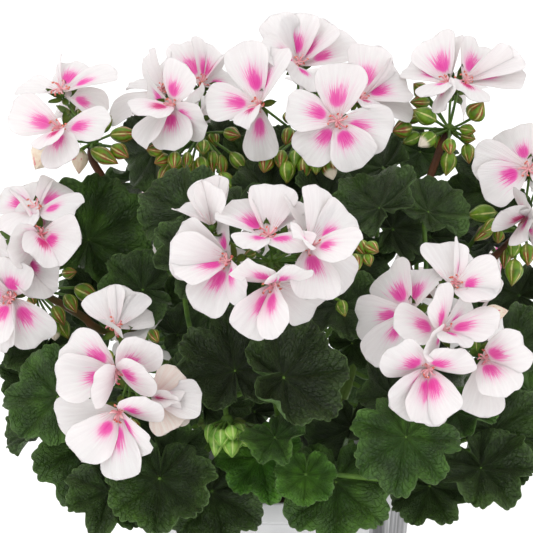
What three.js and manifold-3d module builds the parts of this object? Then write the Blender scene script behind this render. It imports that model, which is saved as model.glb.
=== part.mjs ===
// Potted zonal geranium: a plastic pot of soil with one plant, in millimetres, +Z up.
// The origin is the middle of the pot's base. The side with the most open flower heads faces -Y.
import * as THREE from 'three';
import { mergeVertices } from 'three/addons/utils/BufferGeometryUtils.js';
import Module from 'manifold-3d';

const wasm = await Module();
wasm.setup();

// ---------------------------------------------------------------- driving dimensions
const POT_HEIGHT = 118;        // base to the top of the rim
const POT_RIM_R = 71;          // outside of the rim band
const POT_NECK_R = 68.5;        // outside of the wall just under the rim band
const POT_BASE_R = 58;         // outside of the base
const RIM_BAND = 10;           // height of the rim band
const WALL = 1.8;              // wall of the pot
const FLOOR = 2.2;             // floor of the pot
const DRAIN_HOLES = 5;
const DRAIN_R = 4;             // radius of a drain hole
const DRAIN_RING = 44;         // radius of the ring of drain holes
const SOIL_TOP = 105.6;        // surface of the soil
const STEM_FOOT = 72;          // lowest point of the main stem in the soil
const LEAF_THICK = 0.95;       // leaf blade
const PETIOLE_R = 1.35;        // leaf stalk
const PEDICEL_R = 0.85;        // stalk of an open flower
const BUD_STALK_R = 0.7;       // stalk of a bud
const UMBEL_R = 4.2;           // knot where the flower stalks meet
const GAP = 0.35;              // clearance between pieces that grow close together

const SOIL_COLOUR = 0x3a2a1e, POT_COLOUR = 0xe9e9e9, STEM_COLOUR = 0x6f8a3a, LEAF_COLOUR = 0x2c4c1f, PETAL_COLOUR = 0xf7eef0;

// Open leaves that stand apart: name, then [foot of the blade, midrib, upper side,
// [radius, cup, fold, pleat, ruffle, ruffle phase, droop, curl, curl phase, side bend, lobe depth], leaf stalk].
const LEAVES = [
  ['leaf_front_right', [[56.7,-122.5,163],[-0.176,-0.44,-0.881],[-0.063,-0.888,0.456],[27,0.05,0.06,0.125,0.075,0,0.15,0,0,-0.1,0.165],[[56.7,-122.5,163],[57.2,-117.4,161.1],[43.7,-42.8,154.1],[44.1,-34.5,156.2]]]],
  ['leaf_front_centre', [[2.1,-110.5,187.2],[0.968,0.248,0.042],[0.194,-0.84,0.507],[29,0.26,0.02,0.13,0.08,1.7,0.1,0.52,-2.25,0.12,0.1],[[2.1,-110.5,187.2],[3.1,-107.9,186.2],[7.2,-87.2,176.6],[1,-63.7,172.6],[0.6,-56.3,176.7]]]],
  ['leaf_front_left', [[-34.3,-74,168.8],[0.123,0.406,0.906],[0.026,-0.914,0.406],[25.5,0.16,0.04,0.14,0.082,3.4,0.1,0.34,-1.7,-0.15,0.1],[[-34.3,-74,168.8],[-35,-65.8,164.5],[-39.1,-46.1,163.2],[-43.1,-39.8,164.5]]]],
  ['leaf_right_low', [[94.3,-85.7,139.2],[0.571,-0.636,-0.519],[-0.048,-0.657,0.752],[24,0.108,0.12,0.166,0.109,5.1,0.15,0,0,0,0.115],[[94.3,-85.7,139.2],[93.5,-82.6,135.5],[38.2,-35.5,133.7],[36.3,-28.4,138.1]]]],
  ['leaf_left_outer', [[-102.9,-72.8,170],[-0.968,0.233,-0.09],[-0.246,-0.827,0.505],[26,0.12,0.02,0.16,0.073,0.52,0.2,0,0,-0.12,0.1],[[-102.9,-72.8,170],[-101.3,-68.7,167.1],[-88.4,-64.2,174.7],[-56.1,-41.3,164.2],[-48.7,-39.4,168.1]]]],
  ['leaf_left_low', [[-88.5,-71.1,145.9],[-0.875,-0.383,-0.297],[0.201,-0.844,0.497],[28.5,0.137,0,0.164,0.12,2.22,0.3,0,0,-0.1,0.131],[[-88.5,-71.1,145.9],[-92.8,-63.5,143.8],[-40,-25.4,127.9],[-32.5,-25.1,134.1]]]],
  ['leaf_bottom_left', [[-76.4,-103.6,132.8],[-0.229,-0.675,-0.702],[0.134,-0.736,0.664],[22,0.134,0.02,0.155,0.109,3.92,0.3,0,0,0,0.124],[[-76.4,-103.6,132.8],[-77.8,-99.8,130.1],[-29.8,-30.8,123.8],[-28.3,-25.1,130.6]]]],
  ['leaf_bottom_young', [[12.5,-116.7,144.2],[-0.071,-0.457,-0.886],[-0.018,-0.888,0.46],[15.5,0.34,0.1,0.12,0.109,5.62,0.15,0,0,0.1,0.07],[[12.5,-116.7,144.2],[12.2,-113.7,144.4],[55.8,-114.2,140.5],[23.4,-30.4,125.1],[26.3,-22.8,128.8]]]],
  ['leaf_bottom_middle', [[26.3,-108.1,138.5],[-0.011,-0.474,-0.881],[-0.032,-0.88,0.474],[28.849,0.08,0.06,0.15,0.12,1.04,0.25,0,0,0,0.11],[[26.3,-108.1,138.5],[26.3,-105.3,137.3],[31.3,-63.3,130.8],[23.2,-31.4,133.1],[28.4,-24.6,132.9]]]],
  ['leaf_centre_shaded', [[-19.6,-94.4,187],[-0.173,0.361,0.916],[0.025,-0.928,0.371],[29.76,0.18,0.02,0.15,0.123,2.74,0.1,0.25,2.2,0,0.139],[[-19.6,-94.4,187],[-19.3,-90.8,185.5],[0.3,-61.6,168.7],[0.8,-54.1,172.8]]]],
  ['leaf_bottom_bright', [[-8.2,-93.6,146.9],[0.225,-0.451,-0.864],[0.002,-0.886,0.463],[22.5,0.12,0.14,0.15,0.109,4.44,0.2,0,0,0,0.139],[[-8.2,-93.6,146.9],[-7.8,-87.7,143.8],[-11.5,-60.6,138.7],[-4.5,-36.2,135.5],[1.6,-31.8,139.5]]]],
  ['leaf_centre_small', [[-1.4,-114.7,160.6],[0.353,-0.85,-0.392],[-0.256,-0.491,0.833],[17,0.1,0.26,0.14,0.121,6.14,0.2,0,0,0,0.134],[[-1.4,-114.7,160.6],[-2,-108.3,158],[-17.4,-76.9,155.6],[-30.2,-40.2,152.5],[-36.5,-34.4,151.9]]]],
  ['leaf_bottom_left_inner', [[-30.5,-94.7,130.4],[0.213,-0.461,-0.861],[0.021,-0.879,0.476],[28,0.08,0.02,0.15,0.089,1.56,0.25,0,0,-0.1,0.09],[[-30.5,-94.7,130.4],[-30.1,-92,129.8],[-23.4,-66.9,136.1],[-24.1,-34.7,133.9],[-28.3,-27.6,135.7]]]],
  ['leaf_bottom_left_curled', [[-53.7,-104,139.3],[-0.035,-0.471,-0.881],[0.049,-0.882,0.469],[27,0.2,0.1,0.123,0.089,3.26,0.2,0.4,1.047,0,0.124],[[-53.7,-104,139.3],[-59.6,-100,131.6],[-20.6,-30.9,125.8],[-23.7,-23.5,128.8]]]],
  ['leaf_left_inner', [[-48.8,-90.9,145.3],[0.889,0.403,-0.218],[0.427,-0.901,0.076],[21,0.133,0.03,0.163,0.121,4.96,0.1,0,0,-0.1,0.134],[[-48.8,-90.9,145.3],[-50,-80.2,145.5],[-39.1,-52.1,138.8],[-38.4,-38,137.2],[-35.7,-31.3,141.8]]]],
  ['leaf_right_upper', [[100.8,-71.3,153.7],[0.865,0.189,0.464],[0.027,-0.943,0.333],[26.564,0.118,0.1,0.139,0.09,0.38,0.1,0,0,0,0.112],[[100.8,-71.3,153.7],[101.5,-68.9,153.1],[34.8,-28.9,124.3],[31.5,-23.9,130.5]]]],
  ['leaf_right_outer', [[113.3,-62.7,143.9],[0.854,-0.312,0.415],[-0.495,-0.734,0.465],[23,0.158,0.06,0.127,0.098,2.08,0.25,0,0,0,0.131],[[113.3,-62.7,143.9],[115.5,-59.6,141.8],[46.1,-32.6,137.2],[40.2,-28.8,142]]]],
  ['leaf_bottom_right', [[71.2,-80.3,129.1],[0.396,-0.639,-0.66],[-0.321,-0.769,0.552],[20,0.136,0.03,0.166,0.085,3.78,0.3,0,0,0,0.122],[[71.2,-80.3,129.1],[71.7,-78.1,127.6],[58.2,-58.9,127.6],[31.8,-25.9,120.6],[28.6,-21.6,127.3]]]],
  ['leaf_top_left', [[-94,-3.9,234.3],[0.251,0.322,0.913],[0.202,-0.94,0.276],[33.715,0.14,0.06,0.19,0.084,5.48,0.1,0,0,0,0.1],[[-94,-3.9,234.3],[-94.3,-1.4,233.6],[-88.2,-3.5,211.5],[-78,-3.2,197.4],[-76.5,5.2,197.8]]]],
  ['leaf_top_left_inner', [[-42.3,-51.3,254.5],[-0.75,0.604,0.269],[-0.431,-0.755,0.495],[25,0.169,0.04,0.157,0.112,0.9,0.2,0,0,0,0.126],[[-42.3,-51.3,254.5],[-41.7,-46.7,253.2],[-1.5,-2,241.5],[0.2,6.4,241]]]],
  ['leaf_mid_left', [[-38.2,-76.7,234.6],[-0.772,-0.636,0.004],[0.509,-0.614,0.604],[24,0.173,0.02,0.135,0.107,2.6,0.2,0,0,0,0.137],[[-38.2,-76.7,234.6],[-43.5,-70.5,228.3],[-42.8,-58,206.6],[-39.6,-44.7,181.8],[-47.4,-42.7,178.9]]]],
  ['leaf_mid_right', [[52.5,-88.3,173.9],[-0.774,-0.631,0.054],[0.562,-0.646,0.517],[21,0.163,0.02,0.164,0.121,4.3,0.2,0,0,0,0.134],[[52.5,-88.3,173.9],[51.3,-80.7,171.6],[47.8,-45.3,163.4],[48,-37,165.5]]]],
  ['leaf_right_folded', [[34.5,-80.9,157],[-0.345,-0.72,-0.602],[-0.451,-0.435,0.779],[21,0.152,0.36,0.14,0.08,6,0.2,0,0,0,0.117],[[34.5,-80.9,157],[35.5,-76.3,152.5],[40,-41.4,150.1],[41.7,-33.2,151.7]]]],
  ['leaf_right_small', [[81.8,-91.4,167.1],[0.161,-0.891,-0.424],[-0.227,-0.452,0.863],[19,0.147,0.06,0.135,0.072,1.42,0.2,0,0,0,0.131],[[81.8,-91.4,167.1],[80.4,-82.6,163.1],[52.4,-41.3,156.8],[47.8,-35.1,160.3]]]],
  ['leaf_top_right', [[112,17.9,256.7],[-0.922,0.361,-0.138],[-0.381,-0.791,0.479],[27,0.122,0.05,0.15,0.115,3.12,0.1,0,0,0,0.135],[[112,17.9,256.7],[113.7,20.7,254.2],[95.9,23,223.6],[76.3,23.3,202.1],[77.6,14.8,202]]]],
  ['leaf_top_right_inner', [[72.6,22.9,275.5],[-0.288,-0.751,-0.594],[0.095,-0.64,0.763],[21,0.183,0.1,0.133,0.124,4.82,0.2,0,0,0,0.121],[[72.6,22.9,275.5],[70.5,23.5,264.7],[68.6,14.4,229.5],[65.1,13.4,201.9],[72.6,12.1,198]]]],
  ['leaf_top_centre', [[49,-39.1,254.8],[-0.506,0.757,0.413],[-0.382,-0.626,0.68],[25,0.158,0.04,0.125,0.093,0.24,0.1,0,0,0,0.126],[[49,-39.1,254.8],[49.4,-37.4,252.9],[4.6,-1.5,248],[2.4,6.8,247.8]]]],
  ['leaf_top_far_right', [[72.6,-31.4,251.9],[0.566,0.734,0.374],[0.323,-0.615,0.719],[21,0.159,0.04,0.16,0.115,1.94,0.1,0,0,0,0.128],[[72.6,-31.4,251.9],[71.4,-28.4,247.8],[73.1,-17.2,220],[70,1.9,200.1],[73.8,9.2,197.6]]]],
  ['leaf_right_edge', [[110.2,-65.1,192.8],[0.271,0.505,0.82],[0.094,-0.861,0.499],[21,0.124,0.12,0.135,0.105,3.64,0.1,0,0,0,0.134],[[110.2,-65.1,192.8],[113.5,-57.4,189.1],[76.4,5.8,175.9],[69.3,9.4,179.1]]]],
  ['leaf_right_edge_low', [[122.1,-43.1,165.7],[0.669,0.715,0.205],[0.389,-0.572,0.723],[22,0.155,0.06,0.134,0.125,5.34,0.2,0,0,0,0.122],[[122.1,-43.1,165.7],[123.1,-39.9,163.2],[81.2,-33,164],[52.6,-32,147.2],[45,-30.7,151]]]],
  ['leaf_left_edge', [[-114.1,-57.8,151.5],[-0.581,0.814,0.028],[-0.537,-0.408,0.738],[16.5,0.119,0.06,0.15,0.125,0.76,0.2,0,0,0,0.11],[[-114.1,-57.8,151.5],[-112.3,-57,147.7],[-80.4,-42.3,143.3],[-44,-27.6,138.8],[-37.4,-28.6,142.1]]]],
  ['leaf_centre_right', [[27.8,-76.9,214],[0.251,-0.804,-0.539],[-0.19,-0.587,0.787],[23,0.13,0.06,0.122,0.11,2.46,0.2,0,0,0,0.112],[[27.8,-76.9,214],[27.1,-72.1,207.1],[11.3,-57.5,182.4],[2.8,-56.4,182.1]]]],
  ['leaf_top_left_back', [[-61.6,11.1,277.7],[-0.703,0.651,-0.287],[-0.706,-0.686,0.175],[23,0.139,0.06,0.142,0.094,4.16,0.2,0,0,0,0.114],[[-61.6,11.1,277.7],[-60,13.5,276.7],[-30.7,11.6,256.8],[-10.7,11.5,242],[-2.3,10.1,241.1]]]],
  ['leaf_mid_left_outer', [[-113.2,-36.1,184],[-0.224,-0.808,-0.544],[0.24,-0.587,0.773],[22,0.143,0.06,0.146,0.1,5.86,0.2,0,0,0,0.12],[[-113.2,-36.1,184],[-113.6,-32.7,180.4],[-88.3,-35,182.5],[-60.1,-37.7,175],[-52.5,-40.9,177.2]]]],
  ['leaf_centre_low', [[10.7,-59.4,151.8],[0.386,-0.902,-0.192],[-0.417,-0.357,0.836],[21,0.128,0.06,0.138,0.091,1.28,0.2,0,0,0,0.113],[[10.7,-59.4,151.8],[12.4,-59.1,149.7],[8.7,-49.7,148],[7.5,-44.6,140.7],[4.9,-38.1,145.6]]]],
];

// Stems: [name, path, radii at foot and tip, leaves that grow from it as one piece].
const STEMS = [
  ['main_stem', [[0,0,104],[3,5,150],[-2,8,205],[2,10,252]], [4.6,2.6], [
    [[-4.2,-16,258],[0.863,0.415,0.287],[0.186,-0.79,0.585],[24.474,0.12,0.025,0.153,0.12,0.172,0.314,0,0,-0.094,0.14],[[-4.2,-16,258],[1.5,-23.9,258.7],[-3.5,10.6,230],[0.1,9.3,233.8]]],
    [[56,-20.5,242.1],[0.837,0.537,0.104],[0.447,-0.782,0.435],[18.537,0.144,0.036,0.153,0.12,0.422,0.219,0,0,-0.002,0.14],[[56,-20.5,242.1],[58.2,-15.8,233.4],[46.2,-6.7,217.4],[10.8,8,214.4],[-1.8,8.4,212.7]]],
    [[-14.1,9.7,268],[-0.892,0.45,0.046],[-0.342,-0.737,0.583],[18.51,0.167,0.09,0.153,0.12,4.326,0.172,0,0,-0.119,0.14],[[-14.1,9.7,268],[-11.5,12.2,265.3],[-8,14.1,260.3],[-1.9,21,240.7],[0.9,9.5,240.8]]],
    [[34.7,-22,225.5],[0.878,0.034,-0.478],[0.226,-0.909,0.35],[19.89,0.08,0.02,0.147,0.115,6.171,0.202,0,0,0.026,0.138],[[34.7,-22,225.5],[33.3,-18.2,223.8],[19.4,-7.8,227.2],[9,2.5,219.3],[-1.4,8.7,219.8]]],
    [[52.7,-0.3,269.9],[-0.741,0.66,0.12],[-0.358,-0.541,0.761],[18.01,0.149,0.047,0.147,0.115,0.618,0.105,0,0,-0.048,0.138],[[52.7,-0.3,269.9],[53.8,-7.3,267.4],[37.6,4,260.6],[10.7,12.8,236.6],[0.9,9.5,240.8]]],
    [[-18.6,-44.8,256.3],[-0.28,-0.725,-0.629],[-0.209,-0.594,0.777],[23.383,0.069,0.052,0.147,0.115,5.904,0.257,0,0,-0.056,0.138],[[-18.6,-44.8,256.3],[-17.7,-40.9,253.5],[-5.2,-2.1,227.8],[-0.7,9,226.9]]],
    [[25.2,-15.7,255.5],[-0.818,-0.326,0.474],[0.574,-0.514,0.637],[22.018,0.168,0.052,0.147,0.115,2.679,0.127,0,0,-0.021,0.138],[[25.2,-15.7,255.5],[21.4,-26.3,253.2],[10.8,18.5,224.8],[-0.7,9,226.9]]],
  ]],
  ['branch_1', [[-1,-1,110],[-30,-25,136],[-50,-42,178]], [3,2.4], [
    [[-55.9,-49.7,142.7],[-0.518,0.694,0.5],[-0.335,-0.703,0.628],[20.819,0.074,0.048,0.148,0.116,0.153,0.175,0,0,0.044,0.139],[[-55.9,-49.7,142.7],[-52.9,-43.6,136.9],[-51.1,-37.3,138.5],[-39.4,-32.8,132.2],[-32.4,-27,139.6]]],
  ]],
  ['branch_2', [[1,-1,110],[33,-24,136],[54,-38,180]], [3,2.4], [
    [[72.5,-48.2,179.2],[0.902,0.32,-0.291],[0.39,-0.892,0.227],[23.694,0.072,0.04,0.148,0.116,5.72,0.336,0,0,-0.095,0.139],[[72.5,-48.2,179.2],[64.3,-43.4,173.3],[58.6,-40.9,165.8],[50,-35.4,170.9]]],
    [[73.7,-45.7,146.7],[0.224,0.646,-0.73],[0.94,-0.342,-0.014],[24.458,0.153,0.1,0.154,0.123,1.251,0.342,0,0,-0.018,0.104],[[73.7,-45.7,146.7],[71.5,-44.2,145],[44.5,-38.4,142.7],[40.2,-28.9,147.9]]],
  ]],
  ['branch_3', [[0,-1,118],[4,-33,144],[0,-56,182]], [3,2.4], [

  ]],
  ['branch_4', [[-1,0,126],[-46,5,156],[-76,8,198]], [3,2.4], [
    [[-64.5,-43.9,215.8],[-0.946,-0.325,0.001],[0.257,-0.746,0.614],[22.212,0.13,0.041,0.153,0.12,2.106,0.307,0,0,-0.052,0.14],[[-64.5,-43.9,215.8],[-65.7,-36,211.2],[-71.1,-3.4,195.8],[-73.1,7.7,193.7]]],
    [[-49.2,-19.2,189.2],[0.776,0.63,0.031],[0.41,-0.542,0.733],[19.416,0.099,0.048,0.153,0.12,0.296,0.141,0,0,-0.039,0.14],[[-49.2,-19.2,189.2],[-51.1,-18.6,187.1],[-57,-3.1,180],[-61.9,6.6,176.2]]],
    [[-93,8.5,205.4],[-0.481,-0.428,-0.765],[0.482,-0.858,0.177],[18.948,0.091,0,0.147,0.115,1.107,0.337,0,0,-0.004,0.138],[[-93,8.5,205.4],[-94.1,11.5,204.9],[-93.6,12.3,200.8],[-84.8,11.3,191.6],[-76,8,198]]],
    [[-124.2,-1.2,162.7],[-0.886,-0.223,0.406],[0.373,-0.864,0.339],[16.947,0.14,0.079,0.148,0.116,4.133,0.203,0,0,-0.065,0.139],[[-124.2,-1.2,162.7],[-126,2.3,160.5],[-39,-4.5,139.5],[-33.6,3.6,146]]],
    [[-54.5,17.8,199.9],[0.22,-0.59,-0.777],[-0.428,-0.774,0.467],[19.116,0.171,0.048,0.148,0.116,0.058,0.122,0,0,-0.066,0.139],[[-54.5,17.8,199.9],[-52.1,20.9,198],[-61.4,17.9,182],[-64.7,6.9,180.6]]],
    [[-95.3,2.7,151.7],[-0.336,0.384,-0.86],[-0.941,-0.097,0.325],[27.661,0.12,0.05,0.151,0.117,4.029,0.277,0,0,0.041,0.138],[[-95.3,2.7,151.7],[-91.8,2.1,151.2],[-38.9,9.5,137.3],[-33.6,3.6,146]]],
    [[-100.9,-12.5,173.6],[-0.188,0.12,-0.975],[-0.968,-0.188,0.164],[25.586,0.168,0.063,0.151,0.117,4.52,0.131,0,0,0.048,0.138],[[-100.9,-12.5,173.6],[-97.7,-11.7,173],[-68.3,3.4,165.7],[-59,6.3,171.9]]],
  ]],
  ['branch_5', [[1,0,118],[48,8,150],[78,12,202]], [3,2.4], [
    [[123.6,15.1,203.1],[-0.939,0.077,0.334],[-0.045,-0.994,0.102],[18.015,0.147,0.089,0.153,0.12,3.412,0.319,0,0,0.04,0.14],[[123.6,15.1,203.1],[121.8,25.7,199.2],[104.2,12.2,167.5],[63.3,14.9,153.1],[55.2,9.1,159.2]]],
    [[77.2,6.5,234.1],[-0.635,-0.632,-0.445],[0.226,-0.702,0.675],[22.653,0.079,0.055,0.147,0.115,3.527,0.141,0,0,0.017,0.138],[[77.2,6.5,234.1],[71.7,11.8,227.6],[73,22.8,197.1],[75.1,11.6,196.7]]],
    [[93,14.5,195.3],[0.449,-0.261,-0.854],[0.881,0.287,0.376],[23.455,0.086,0.026,0.154,0.123,0.9,0.122,0,0,-0.025,0.104],[[93,14.5,195.3],[89.1,13.1,193.6],[81.9,15,186.2],[72.3,11.3,191.3]]],
    [[95.9,-11.6,148.4],[0.145,0.528,-0.837],[0.989,-0.088,0.116],[24.989,0.099,0.039,0.154,0.124,6.072,0.26,0,0,-0.053,0.104],[[95.9,-11.6,148.4],[92.4,-12.6,149.8],[53.7,-1.5,144.1],[48,8,150]]],
  ]],
  ['branch_6', [[-1,1,117],[-33,38,150],[-50,58,198]], [3,2.4], [
    [[-0.6,36.8,269.5],[0.737,-0.672,-0.072],[-0.471,-0.587,0.658],[21,0.143,0.064,0.147,0.115,2.024,0.257,0,0,-0.068,0.138],[[-0.6,36.8,269.5],[-1.8,46.5,271.9],[5.5,74.3,256.3],[-35.2,54.7,188.2],[-48.4,56.1,193.1]]],
    [[-12,61.8,131.6],[-0.804,0.193,0.563],[0.337,-0.633,0.697],[20.163,0.135,0.04,0.147,0.115,2.869,0.274,0,0,0.01,0.138],[[-12,61.8,131.6],[-9.3,62.9,124.4],[-7.1,53.2,124.7],[-15.2,33.5,131],[-21.3,24.4,135.6]]],
    [[-88.1,59.9,143.1],[0.74,0.461,0.49],[0.165,-0.831,0.532],[20.843,0.135,0.096,0.147,0.115,3.386,0.26,0,0,-0.017,0.138],[[-88.1,59.9,143.1],[-88,62.5,135],[-60.8,48.3,144.3],[-40.5,33,140.4],[-30.4,35,146]]],
    [[-100.1,56.2,181.1],[-0.951,-0.175,-0.254],[-0.072,-0.676,0.734],[23.608,0.165,0.009,0.148,0.116,0.35,0.318,0,0,-0.029,0.139],[[-100.1,56.2,181.1],[-95.3,61.7,175.1],[-70.3,52.7,172.1],[-54.3,53.6,174],[-43.9,50.7,178]]],
    [[-26.6,33.7,276.6],[0.573,0.384,0.724],[0.209,-0.923,0.324],[17.348,0.116,0.024,0.148,0.116,2.001,0.238,0,0,-0.053,0.139],[[-26.6,33.7,276.6],[-31.4,42.3,270.9],[-36.7,42.8,225.1],[-40,55,202.6],[-50,58,198]]],
    [[-73.5,47.9,251.3],[-0.859,-0.075,-0.507],[-0.512,0.115,0.851],[24.111,0.117,0.019,0.151,0.117,3.128,0.179,0,0,-0.015,0.138],[[-73.5,47.9,251.3],[-71.4,47.1,247.6],[-52.5,60.4,233.3],[-59.9,52.5,196.8],[-50,58,198]]],
    [[-3.2,57.6,273.6],[-0.361,0.872,-0.33],[-0.231,0.259,0.938],[25.984,0.164,0.036,0.151,0.117,0.802,0.279,0,0,-0.07,0.138],[[-3.2,57.6,273.6],[-3,52.9,264.7],[-39.7,74.1,236],[-37.4,49.4,192.7],[-46.8,54.2,188.1]]],
    [[-65.5,76.7,180.8],[-0.358,0.061,-0.932],[-0.435,0.872,0.224],[26.438,0.136,0.061,0.151,0.117,0.25,0.111,0,0,-0.096,0.138],[[-65.5,76.7,180.8],[-61.5,71.5,183.6],[-46.9,60.9,173.6],[-43.9,50.7,178]]],
    [[-45,79.5,152.3],[-0.742,-0.327,-0.585],[-0.586,0.741,0.328],[23.16,0.132,0.077,0.154,0.123,3.894,0.293,0,0,-0.089,0.104],[[-45,79.5,152.3],[-41.2,75.5,150.4],[-22.9,42.7,148.6],[-30.4,35,146]]],
    [[-20.9,95.3,170.7],[-0.726,0.265,-0.634],[-0.318,0.688,0.652],[27.695,0.151,0.099,0.154,0.123,2.174,0.149,0,0,0.032,0.104],[[-20.9,95.3,170.7],[-18.4,91.1,170],[-22.1,80.7,168.7],[-36,55.8,159.7],[-39.1,45.1,163.2]]],
    [[-95.8,34.8,219.8],[-0.556,-0.379,-0.74],[-0.812,0.059,0.581],[24.572,0.156,0.071,0.154,0.123,2.061,0.336,0,0,-0.003,0.104],[[-95.8,34.8,219.8],[-90.8,34,214.1],[-81.9,36.8,203],[-56.3,49.6,193],[-48.4,56.1,193.1]]],
    [[-81.3,27.6,149.4],[-0.009,-0.554,-0.833],[-0.999,-0.021,0.024],[26.111,0.189,0.072,0.155,0.124,5.755,0.2,0,0,-0.032,0.104],[[-81.3,27.6,149.4],[-73.1,26.5,148],[-42.3,30.9,149.4],[-33,38,150]]],
    [[-10.8,80.5,141.5],[-0.148,0.348,-0.926],[-0.147,0.918,0.368],[27.635,0.128,0.006,0.155,0.124,6.011,0.155,0,0,-0.096,0.104],[[-10.8,80.5,141.5],[-10.8,77,144.6],[-25.4,53.9,144.9],[-23.6,45.6,148.1],[-33,38,150]]],
    [[-65.3,45,263.3],[-0.704,0.604,-0.373],[-0.391,0.108,0.914],[25.536,0.142,0.09,0.155,0.124,4.289,0.123,0,0,-0.003,0.104],[[-65.3,45,263.3],[-59.2,41.2,260.2],[-60.1,52.9,196.6],[-50,58,198]]],
    [[-28.7,58.3,275.3],[-0.028,0.992,-0.124],[-0.052,0.123,0.991],[26.173,0.175,0.054,0.155,0.124,0.292,0.263,0,0,-0.09,0.104],[[-28.7,58.3,275.3],[-28.8,58.3,271],[-36.3,47,187.6],[-45.3,52.5,183.1]]],
    [[-71.1,37.7,228],[-0.497,0.653,-0.572],[-0.453,0.367,0.812],[24.831,0.106,0.052,0.155,0.124,1.428,0.217,0,0,-0.08,0.104],[[-71.1,37.7,228],[-69,34.2,220.1],[-56.5,33.5,191.6],[-55.1,52.6,179.9],[-45.3,52.5,183.1]]],
  ]],
  ['branch_7', [[1,1,110],[34,40,142],[48,62,198]], [3,2.4], [
    [[28.9,40.2,260.5],[0.829,-0.054,0.557],[-0.338,-0.841,0.423],[20.983,0.189,0.092,0.153,0.12,0.697,0.16,0,0,-0.065,0.14],[[28.9,40.2,260.5],[29.9,43.1,259.3],[57.1,36.7,231],[39.6,52,196.6],[46.7,59.9,192.3]]],
    [[108.9,25.1,228.7],[-0.343,0.884,0.316],[-0.428,-0.447,0.785],[23.777,0.102,0.075,0.153,0.12,1.051,0.224,0,0,-0.068,0.14],[[108.9,25.1,228.7],[113.4,29.3,220.4],[93.3,57.1,218.4],[55,56.1,179.4],[44.4,56,180.5]]],
    [[38.8,22.3,176.6],[0.834,0.093,0.544],[-0.067,-0.962,0.266],[16.985,0.158,0.097,0.148,0.116,0.56,0.131,0,0,-0.032,0.139],[[38.8,22.3,176.6],[39.1,33.6,173.9],[39.5,41.6,172.6],[42.2,52.1,168.5]]],
    [[0.5,92.7,152.6],[0.606,0.544,-0.58],[-0.398,0.839,0.372],[26.272,0.123,0.079,0.151,0.117,1.739,0.222,0,0,0.027,0.138],[[0.5,92.7,152.6],[-1.5,86.4,156.3],[7.8,83.1,163],[18.9,38.5,126.8],[25.5,29.6,130.7]]],
    [[101.6,34.4,187.6],[0.163,0.914,-0.372],[0.942,-0.031,0.335],[26.344,0.172,0.025,0.151,0.117,5.281,0.167,0,0,-0.059,0.138],[[101.6,34.4,187.6],[94.9,34.9,184.7],[73.9,39.8,177.7],[53.3,48.2,174.5],[43.3,54,174.5]]],
    [[69.5,57.5,156.5],[-0.038,0.738,-0.674],[0.937,0.26,0.232],[26.449,0.116,0.034,0.151,0.117,0.342,0.349,0,0,0.008,0.138],[[69.5,57.5,156.5],[63.7,55.8,156.4],[60.9,54.3,157.4],[48.8,46.9,147.5],[38,45.5,151.7]]],
    [[-3.8,106.2,185.3],[0.126,-0.227,0.966],[-0.244,0.936,0.252],[25.957,0.175,0.065,0.151,0.117,1.203,0.194,0,0,-0.072,0.138],[[-3.8,106.2,185.3],[-3.5,104,182.4],[15.9,83.4,176.4],[35.3,62.2,173.3],[43.3,54,174.5]]],
    [[30.2,79.9,148.6],[0.86,-0.328,-0.391],[0.118,0.874,-0.472],[26.859,0.182,0.077,0.151,0.117,0.4,0.225,0,0,0,0.138],[[30.2,79.9,148.6],[26.1,78.5,150.8],[36.4,53.2,141.5],[36.2,42.9,146.6]]],
    [[86.4,28.8,150.7],[0.003,0.581,-0.814],[0.966,0.207,0.152],[27.713,0.138,0.013,0.154,0.123,1.556,0.218,0,0,-0.015,0.104],[[86.4,28.8,150.7],[81.7,29.1,150.3],[43.9,33.8,141],[34,40,142]]],
    [[41.3,67.1,252.8],[-0.129,0.868,-0.479],[0.349,0.492,0.798],[26.731,0.109,0.063,0.154,0.123,1.73,0.199,0,0,-0.016,0.104],[[41.3,67.1,252.8],[38.9,65,249.6],[54.8,77.6,232],[40.2,67.8,184.2],[45.5,57.9,186.4]]],
    [[87,52.3,165.6],[0.374,0.326,-0.868],[0.879,0.176,0.444],[24.068,0.16,0.068,0.154,0.123,2.983,0.32,0,0,0.033,0.104],[[87,52.3,165.6],[83.4,52.7,163.7],[55.4,75.2,184.3],[49.6,51.9,152.7],[39.6,47.9,157.1]]],
    [[49.4,93.4,177.5],[0.328,0.066,-0.942],[0.208,0.968,0.14],[25.877,0.174,0.095,0.154,0.123,4.746,0.117,0,0,0.012,0.104],[[49.4,93.4,177.5],[50.2,90.7,177.7],[42.5,62.7,164.5],[42.2,52.1,168.5]]],
    [[29.2,61.9,240],[0.8,0.487,-0.351],[0.139,0.418,0.898],[26.965,0.169,0.003,0.155,0.124,4.755,0.153,0,0,-0.115,0.104],[[29.2,61.9,240],[30.1,61,236.5],[39.3,59.7,218.7],[41.5,53.9,202.6],[48,62,198]]],
  ]],
];

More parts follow.
